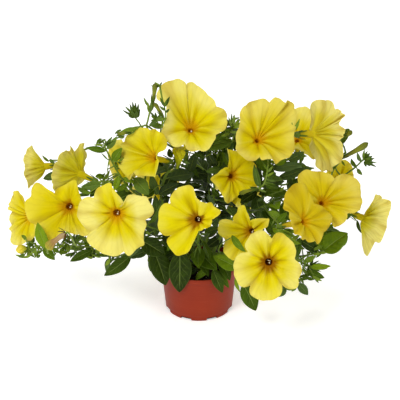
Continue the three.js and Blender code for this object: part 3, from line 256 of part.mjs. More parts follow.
const FUSED_BUDS = ["bud_left_high", "bud_centre"]; // grown into their shoot

const wasm = await Module();
wasm.setup();
const V = (a) => new THREE.Vector3(a[0], a[1], a[2]);
const group = new THREE.Group();
group.name = "potted_petunia";

// A closed triangle mesh from points and faces.
function closed(points, faces) {
  const g = new THREE.BufferGeometry();
  g.setAttribute("position", new THREE.Float32BufferAttribute(points.flatMap((p) => [p.x, p.y, p.z]), 3));
  g.setIndex(faces.flat());
  return g;
}
function toSolid(geometry, tolerance = 1e-4) {
  let g = geometry.clone();
  g.deleteAttribute("normal");
  g.deleteAttribute("uv");
  g = mergeVertices(g, tolerance);
  return new wasm.Manifold(
    new wasm.Mesh({ numProp: 3, vertProperties: new Float32Array(g.attributes.position.array), triVerts: new Uint32Array(g.index.array) }),
  );
}
function fromSolid(solid) {
  const m = solid.getMesh();
  const v = [];
  for (let i = 0; i < m.numVert; i++) v.push(...m.vertProperties.subarray(i * m.numProp, i * m.numProp + 3));
  const g = new THREE.BufferGeometry();
  g.setAttribute("position", new THREE.Float32BufferAttribute(v, 3));
  g.setIndex([...m.triVerts]);
  g.computeVertexNormals();
  return g;
}
// Where two sheets of one solid only touch, each is drawn back a little, so every edge has two faces.
function apart(solid) {
  const m = solid.getMesh(),
    p = [],
    normal = [],
    linked = new Set();
  for (let i = 0; i < m.numVert; i++) {
    p.push(new THREE.Vector3(...m.vertProperties.subarray(i * m.numProp, i * m.numProp + 3)));
    normal.push(new THREE.Vector3());
  }
  for (let i = 0; i < m.triVerts.length; i += 3) {
    const [a, b, c] = m.triVerts.subarray(i, i + 3);
    const n = p[b].clone().sub(p[a]).cross(p[c].clone().sub(p[a]));
    for (const k of [a, b, c]) normal[k].add(n);
    for (const [x, y] of [[a, b], [b, c], [c, a]]) linked.add(x < y ? x * 1e6 + y : y * 1e6 + x);
  }
  const touching = new Set();
  for (let i = 0; i < p.length; i++)
    for (let j = i + 1; j < p.length; j++)
      if (Math.abs(p[i].x - p[j].x) < 0.01 && p[i].distanceTo(p[j]) < 0.01 && !linked.has(i * 1e6 + j)) touching.add(i).add(j);
  if (!touching.size) return solid;
  for (const i of touching) p[i].addScaledVector(normal[i].normalize(), -0.03);
  return new wasm.Manifold(new wasm.Mesh({ numProp: 3, vertProperties: new Float32Array(p.flatMap((q) => [q.x, q.y, q.z])), triVerts: m.triVerts }));
}
// The largest body of a union, without pockets or slivers.
function oneBody(solid, label) {
  solid = apart(solid.simplify(SIMPLIFY));
  for (let i = 0; i < 6; i++) {
    const bodies = toSolid(fromSolid(solid), 1e-3).decompose().sort((x, y) => y.volume() - x.volume());
    const loose = bodies.slice(1).filter((b) => b.volume() > 0.5);
    if (loose.length) console.log(label + " drops " + loose.map((b) => b.volume().toFixed(0) + " at " + [0, 1, 2].map((k) => ((b.boundingBox().min[k] + b.boundingBox().max[k]) / 2).toFixed(0))).join("; "));
    solid = bodies[0];
    if (bodies.length === 1) break;
  }
  return solid;
}
function add(name, geometry, color, roughness) {
  const mesh = new THREE.Mesh(geometry, new THREE.MeshStandardMaterial({ color, roughness, metalness: 0, flatShading: true }));
  mesh.name = name;
  group.add(mesh);
  return mesh;
}

// Rings of points joined into one skin with both ends closed. Rings run anticlockwise seen from the end.
function skin(rings, tip) {
  const n = rings[0].length,
    pts = rings.flat(),
    f = [];
  for (let i = 0; i + 1 < rings.length; i++)
    for (let j = 0; j < n; j++) {
      const a = i * n + j,
        b = i * n + ((j + 1) % n),
        c = a + n,
        d = b + n;
      f.push([a, b, d], [a, d, c]);
    }
  for (let j = 1; j + 1 < n; j++) f.push([0, j + 1, j]);
  const last = (rings.length - 1) * n;
  if (tip) {
    pts.push(tip);
    for (let j = 0; j < n; j++) f.push([last + j, last + ((j + 1) % n), pts.length - 1]);
  } else for (let j = 1; j + 1 < n; j++) f.push([last, last + j, last + j + 1]);
  return closed(pts, f);
}

// A round stem along a smooth line through control points, thinning from r0 to r1.
function stem(control, r0, r1, sides, step) {
  const curve = new THREE.CatmullRomCurve3(control.map(V), false, "catmullrom", 0.5);
  const count = Math.max(2, Math.round(curve.getLength() / step));
  const rings = [];
  let side = null;
  for (let i = 0; i <= count; i++) {
    const p = curve.getPointAt(i / count),
      t = curve.getTangentAt(i / count);
    if (!side) side = new THREE.Vector3(0.3, 1, 0.2).cross(t).normalize();
    side.sub(t.clone().multiplyScalar(side.dot(t))).normalize();
    const up = t.clone().cross(side),
      r = r0 + ((r1 - r0) * i) / count;
    const ring = [];
    for (let j = 0; j < sides; j++) {
      const a = (2 * Math.PI * j) / sides;
      ring.push(p.clone().addScaledVector(side, r * Math.cos(a)).addScaledVector(up, r * Math.sin(a)));
    }
    rings.push(ring);
  }
  return skin(rings);
}

// An oval leaf blade, folded a little along the midrib and bowed over its length.
function leaf(base, tip, normal, width, stations, thickness) {
  const b = V(base),
    axis = V(tip).sub(b),
    length = axis.length();
  axis.normalize();
  const n = V(normal);
  n.sub(axis.clone().multiplyScalar(n.dot(axis))).normalize();
  const side = axis.clone().cross(n);
  const rings = [];
  const at = (s, t, up) => {
    const h = 0.5 * width * Math.pow(Math.sin(Math.PI * Math.pow(s, 0.82)), 0.8);
    return b
      .clone()
      .addScaledVector(axis, length * s)
      .addScaledVector(n, 0.1 * length * 2 * s * (1 - s) + 0.18 * Math.abs(t) * h + up)
      .addScaledVector(side, h * t);
  };
  for (const s of stations) {
    const k = thickness * 0.5;
    rings.push([at(s, -1, 0), at(s, 0, -k), at(s, 1, 0), at(s, 0, k)]);
  }
  return skin(rings.map((r) => r.slice().reverse()), at(1, 0, 0));
}
const BROAD = [0.03, 0.14, 0.34, 0.58, 0.8, 0.93];
const SMALL = [0.06, 0.5];
const MIDDLE = [0.04, 0.28, 0.72];

// A leaf blade that runs on into its stalk, down to the stem, as one skin.
function stalkedLeaf(base, tip, normal, width, stations, thickness, path) {
  const b = V(base),
    axis = V(tip).sub(b),
    length = axis.length();
  axis.normalize();
  const n = V(normal);
  n.sub(axis.clone().multiplyScalar(n.dot(axis))).normalize();
  const side = axis.clone().cross(n);
  const at = (s, t, up) => {
    const h = 0.5 * width * Math.pow(Math.sin(Math.PI * Math.pow(s, 0.82)), 0.8);
    return b
      .clone()
      .addScaledVector(axis, length * s)
      .addScaledVector(n, 0.1 * length * 2 * s * (1 - s) + 0.18 * Math.abs(t) * h + up)
      .addScaledVector(side, h * t);
  };
  const rings = [];
  const points = path.map(V).reverse(); // from the stem out to the blade
  const total = points[0].distanceTo(points[points.length - 1]);
  const curve = new THREE.CatmullRomCurve3(points, false, "catmullrom", 0.5);
  const count = Math.max(1, Math.round(total / 18));
  for (let i = 0; i < count; i++) {
    const p = curve.getPointAt(i / count),
      t = curve.getTangentAt(i / count);
    const w = side.clone().sub(t.clone().multiplyScalar(side.dot(t))).normalize(),
      up = w.clone().cross(t),
      r = TWIG_RADIUS * 1.15;
    rings.push([p.clone().addScaledVector(w, -r), p.clone().addScaledVector(up, -r), p.clone().addScaledVector(w, r), p.clone().addScaledVector(up, r)]);
  }
  for (const s of stations) {
    const k = thickness * 0.5,
      ring = [at(s, -1, 0), at(s, 0, -k), at(s, 1, 0), at(s, 0, k)];
    rings.push(ring);
  }
  return skin(rings.map((r) => r.slice().reverse()), at(1, 0, 0));
}

// Axes across a flower: e1 level, e2 = a x e1.
function flowerAxes(a) {
  let e1 = new THREE.Vector3(0, 0, 1).cross(a);
  if (e1.length() < 0.2) e1 = new THREE.Vector3(0, 1, 0).cross(a);
  e1.normalize();
  return [e1, a.clone().cross(e1)];
}
const tubeRadius = (r0, q) => r0 * (TUBE_NARROW + (1 - TUBE_NARROW) * Math.pow(q, 1.3));

// A corolla: five lobes grown together into a pleated limb, a throat and a narrow tube, as one thin shell.
function corolla([, , centre, axis, length, r0, rim, flare = 0.2]) {
  const c = V(centre),
    a = V(axis).normalize(),
    [e1, e2] = flowerAxes(a),
    n = rim.length;
  const place = (th, r, z) =>
    c.clone().addScaledVector(e1, r * Math.cos(th)).addScaledVector(e2, r * Math.sin(th)).addScaledVector(a, z);
  // u = 0 at the throat, 1 at the rim; off = how far behind the inner face
  const limb = (j, u, off) => {
    const [th, rho, z] = rim[j];
    const r1 = r0 + flare * (rho - r0),
      z1 = Math.min(z * 0.62 + 1.5, 9.5) * (1.32 - 1.6 * flare);
    let r = (1 - u) * (1 - u) * r0 + 2 * u * (1 - u) * r1 + u * u * rho,
      h = 2 * u * (1 - u) * z1 + u * u * z;
    const dr = 2 * (1 - u) * (r1 - r0) + 2 * u * (rho - r1),
      dz = 2 * (1 - u) * z1 + 2 * u * (z - z1),
      l = Math.hypot(dr, dz);
    if (j % 2 === 0) h -= PLEAT_DEPTH * Math.sin(Math.PI * Math.min(1, u * 1.05)) * (j % 4 === 0 ? 1 : 0.8);
    return place(th, r + (off * dz) / l, h - (off * dr) / l);
  };
  const tube = (j, q, off) => {
    const th = rim[j][0];
    return place(th, tubeRadius(r0, q) + off, -length * (1 - q));
  };
  const t = PETAL_THICKNESS / 2,
    rings = [];
  const ring = (fn) => rings.push(rim.map((_, j) => fn(j)));
  ring((j) => tube(j, 0.12, -t)); // floor of the tube, inside
  ring((j) => limb(j, 0, -t));
  ring((j) => limb(j, 0.34, -t));
  ring((j) => limb(j, 0.7, -t * 0.8));
  ring((j) => limb(j, 1, 0)); // rim
  ring((j) => limb(j, 0.7, t * 0.8));
  ring((j) => limb(j, 0.34, t));
  ring((j) => limb(j, 0, t));
  ring((j) => tube(j, 0, t)); // bottom of the tube, outside
  const pts = rings.flat(),
    f = [];
  // both faces of the limb are split along the same diagonals, so that the wall keeps its thickness
  for (let i = 0; i + 1 < rings.length; i++)
    for (let j = 0; j < n; j++) {
      const p = i * n + j,
        q = i * n + ((j + 1) % n);
      if (i < 4) f.push([p, q + n, q], [p, p + n, q + n]);
      else f.push([p, p + n, q], [q, p + n, q + n]);
    }
  pts.push(place(0, 0, -length * 0.86), place(0, 0, -length - 0.2));
  const last = (rings.length - 1) * n;
  for (let j = 0; j < n; j++) {
    f.push([j, (j + 1) % n, pts.length - 2]);
    f.push([last + ((j + 1) % n), last + j, pts.length - 1]);
  }
  return closed(pts, f);
}

// The green cup under a corolla, with five narrow free tips that stand round the tube.
function calyx([, , centre, axis, length, r0]) {
  const a = V(axis).normalize(),
    [e1, e2] = flowerAxes(a),
    foot = V(centre).addScaledVector(a, -length);
  const ring = (r, z, n = 10) => {
    const out = [];
    for (let j = 0; j < n; j++) {
      const th = (2 * Math.PI * j) / n;
      out.push(foot.clone().addScaledVector(e1, r * Math.cos(th)).addScaledVector(e2, r * Math.sin(th)).addScaledVector(a, z));
    }
    return out;
  };
  // outside of the cup, up to a zigzag edge of five free tips, and down the inside to its floor
  const edge = [];
  for (let j = 0; j < 10; j++) {
    const th = (2 * Math.PI * j) / 10,
      tipped = j % 2 === 1;
    const r = tipped ? tubeRadius(r0, 12 / length) + 4 : 4.7;
    edge.push(foot.clone().addScaledVector(e1, r * Math.cos(th)).addScaledVector(e2, r * Math.sin(th)).addScaledVector(a, tipped ? 12 : 0.4));
  }
  return skin([ring(1.5, -5.0), ring(4.7, -1.6), edge, ring(3.9, -0.6)]);
}

// A closed bud: a slim spindle with a twisted, blunt tip.
function bud([, , base, tip, width, kind]) {
  const b = V(base),
    axis = V(tip).sub(b),
    length = axis.length();
  axis.normalize();
  const s0 = new THREE.Vector3(0.2, 0.9, 0.4).cross(axis).normalize(),
    s1 = axis.clone().cross(s0);
  const shapes = {
    bud: [[0, 0.45], [0.15, 0.62], [0.45, 0.7], [0.75, 1], [0.92, 0.82], [1, 0.35]],
    round: [[0, 0.4], [0.2, 0.8], [0.45, 1], [0.7, 0.95], [0.9, 0.6], [1, 0.2]],
    half: [[0, 0.25], [0.3, 0.4], [0.6, 0.7], [0.85, 1], [0.97, 0.9], [1, 0.5]],
    wither: [[0, 0.4], [0.25, 0.75], [0.5, 0.6], [0.75, 0.95], [0.92, 1], [1, 0.3]],
  }[kind];
  const rings = shapes.map(([s, w], i) => {
    const ring = [];
    for (let j = 0; j < 10; j++) {
      const th = (2 * Math.PI * j) / 10 + i * 0.22,
        r = 0.5 * width * w * (j % 2 ? 0.86 : 1);
      ring.push(b.clone().addScaledVector(axis, length * s).addScaledVector(s0, r * Math.cos(th)).addScaledVector(s1, r * Math.sin(th)));
    }
    return ring;
  });
  return skin(rings);
}

// Pot: one shell, with a rim band, a flat floor and drainage slots round the bottom edge.
{
  const inTop = POT_RIM_RADIUS - POT_WALL;
  const bandFoot = POT_HEIGHT - POT_RIM_BAND;
  const outline = [
    [0, 0],
    [POT_BASE_RADIUS - 1, 0],
    [POT_BASE_RADIUS, 1],
    [POT_WALL_TOP_RADIUS, bandFoot - 0.6],
    [POT_RIM_RADIUS, bandFoot],
    [POT_RIM_RADIUS, POT_HEIGHT - 0.6],
    [POT_RIM_RADIUS - 0.5, POT_HEIGHT],
    [inTop + 0.3, POT_HEIGHT],
    [inTop, POT_HEIGHT - 0.6],
    [inTop, bandFoot],
    [POT_WALL_TOP_RADIUS - POT_WALL, bandFoot - 1],
    [POT_BASE_RADIUS - POT_WALL, POT_WALL],
    [0, POT_WALL],
  ].map(([r, z]) => new THREE.Vector2(r, z));
  // turned profile, closed on the axis
  const turned = new THREE.LatheGeometry(outline, 40);
  turned.rotateX(Math.PI / 2);
  let solid = toSolid(turned);
  if (solid.volume() < 0) throw new Error("the pot's profile is inside out");
  for (let k = 0; k < SLOT_COUNT; k++) {
    const box = new THREE.BoxGeometry(SLOT_WIDTH, SLOT_REACH + 4, SLOT_HEIGHT + 2);
    box.translate(0, -(POT_BASE_RADIUS - SLOT_REACH + (SLOT_REACH + 4) / 2), SLOT_HEIGHT / 2 - 1);
    box.rotateZ(THREE.MathUtils.degToRad(SLOT_FIRST + (k * 360) / SLOT_COUNT));
    solid = solid.subtract(toSolid(box));
  }
  add("pot", fromSolid(solid), TERRACOTTA, 0.55);
}

// Soil: a plug that fills the pot, with an uneven top outside the ring of stems.
{
  const rings = [],
    n = 24,
    inner = (z) => POT_BASE_RADIUS - POT_WALL + ((POT_WALL_TOP_RADIUS - POT_BASE_RADIUS) * (z - POT_WALL)) / 59 - FIT_GAP;
  const ring = (r, z, rough) => {
    const out = [];
    for (let j = 0; j < n; j++) {
      const th = (2 * Math.PI * j) / n;
      const bump = rough * (Math.sin(3 * th + r) + Math.sin(7 * th + 2 * r) * 0.7 + Math.sin(13 * th + 1.3 * r) * 0.6 - 1.6);
      out.push(new THREE.Vector3(r * Math.cos(th), r * Math.sin(th), z + bump));
    }
    return out;
  };
  rings.push(ring(inner(2), POT_WALL + FIT_GAP, 0), ring(inner(56), 55.5, 0));
  rings.push(ring(inner(56) - 1.5, SOIL_TOP - 0.8, 0.4), ring(38, SOIL_TOP, 0.6), ring(29, SOIL_TOP, 0.4), ring(22, SOIL_TOP, 0));
  add("potting_soil", skin(rings), SOIL_BROWN, 0.95);
}

// Shoots: stem, side stalks, calyces, small leaves and bracts of each as one grown solid.
const flowersByName = new Map(FLOWERS.map((f) => [f[0], f]));
for (const [name, line, [r0, r1]] of SHOOTS) {
  // the stem starts inside the soil's place and is cut level just over it
  const [x0, y0, z0] = line[0];
  const main = toSolid(stem([[x0, y0, z0 - 5], ...line.slice(1)], r0, r1, 5, 12)).trimByPlane([0, 0, 1], SOIL_TOP + FIT_GAP);
  const parts = [];
  for (const [flower, shoot, path] of STALKS) {
    if (shoot !== name) continue;
    const f = flowersByName.get(flower),
      a = V(f[3]).normalize(),
      foot = V(f[2]).addScaledVector(a, -f[4] - 3.2);
    parts.push(stem([[foot.x, foot.y, foot.z], ...path.slice(1)], STALK_RADIUS + 0.15, STALK_RADIUS, 4, 17));
    parts.push(calyx(f));
  }
  for (const [own, shoot, base, tip, normal, width, twig] of LEAVES) {
    if (shoot !== name) continue;
    const b = V(base),
      back = V(tip).sub(b).normalize();
    const start = own ? b.clone().addScaledVector(back, -1) : b.clone().addScaledVector(back, 2.6);
    const path = [[start.x, start.y, start.z], ...twig.slice(1)];
    if (own) parts.push(stem(path, TWIG_RADIUS, TWIG_RADIUS + 0.25, 4, 18));
    else parts.push(stalkedLeaf(base, tip, normal, width, width > 9 ? MIDDLE : SMALL, LEAF_THICKNESS, path));
  }
  for (const row of BUDS) {
    const [budName, shoot, base, tip, width, , twig] = row;
    if (shoot !== name) continue;
    const b = V(base),
      axis = V(tip).sub(b).normalize(),
      start = b.clone().addScaledVector(axis, FUSED_BUDS.includes(budName) ? 2 : -1.1);
    parts.push(stem([[start.x, start.y, start.z], ...twig.slice(1)], TWIG_RADIUS + 0.3, TWIG_RADIUS, 4, 15));
    if (FUSED_BUDS.includes(budName)) parts.push(bud(row));
  }
  for (const [shoot, base, dir, twig, bracts] of CLUSTERS) {
    if (shoot !== name) continue;
    const b = V(base),
      d = V(dir),
      top = b.clone().addScaledVector(d, 7);
    parts.push(stem([[top.x, top.y, top.z], [base[0], base[1], base[2]], ...twig.slice(1)], TWIG_RADIUS + 0.35, TWIG_RADIUS, 4, 15));
    for (const [bb, tt, nn, w] of bracts) {
      const p = V(bb),
        q = p.clone().sub(V(tt)).normalize();
      p.addScaledVector(q, 2.2);
      parts.push(leaf([p.x, p.y, p.z], tt, nn, w, SMALL, 1.0));
    }
  }
  const solid = oneBody(wasm.Manifold.union([main, ...parts.map((p) => toSolid(p))]), name);
  add(name, fromSolid(solid), STEM_GREEN, 0.6);
}

// Flowers, the larger leaves and the buds that come off as pieces of their own.
for (const f of FLOWERS) add(f[0], corolla(f), f[0].includes("edge") || f[0].includes("turned") ? PALE_YELLOW : YELLOW, 0.5);
for (const [own, , base, tip, normal, width] of LEAVES)
  if (own)
    add(own, leaf(base, tip, normal, width, BROAD, LEAF_THICKNESS), own.includes("dark") || own.includes("pot") ? LEAF_DARK : own.includes("bright") ? LEAF_BRIGHT : LEAF_MID, 0.55);
for (const row of BUDS)
  if (!FUSED_BUDS.includes(row[0])) add(row[0], bud(row), row[5] === "bud" ? BUD_GREEN : DEEP_YELLOW, 0.55);

export default group;
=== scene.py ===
# A potted petunia with yellow trumpet flowers: the fine visual model.
# All lengths in the tables are millimetres in the row frame: origin under the pot, +X right, +Y back, +Z up.
import math

import bpy
import numpy as np
from mathutils import Matrix, Vector


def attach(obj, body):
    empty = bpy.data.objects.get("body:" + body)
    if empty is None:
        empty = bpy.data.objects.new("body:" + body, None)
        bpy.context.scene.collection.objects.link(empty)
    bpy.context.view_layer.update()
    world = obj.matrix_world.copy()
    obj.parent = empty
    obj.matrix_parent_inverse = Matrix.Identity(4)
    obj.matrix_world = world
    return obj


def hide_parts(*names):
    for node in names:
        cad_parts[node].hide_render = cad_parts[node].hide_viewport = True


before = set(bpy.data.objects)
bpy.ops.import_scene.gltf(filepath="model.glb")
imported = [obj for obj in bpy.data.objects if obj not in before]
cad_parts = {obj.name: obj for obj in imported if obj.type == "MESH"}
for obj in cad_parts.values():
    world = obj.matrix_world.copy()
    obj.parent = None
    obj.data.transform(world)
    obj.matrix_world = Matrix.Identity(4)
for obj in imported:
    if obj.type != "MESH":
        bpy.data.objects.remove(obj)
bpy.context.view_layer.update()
MM = 0.001

# ---------------------------------------------------------------- tables

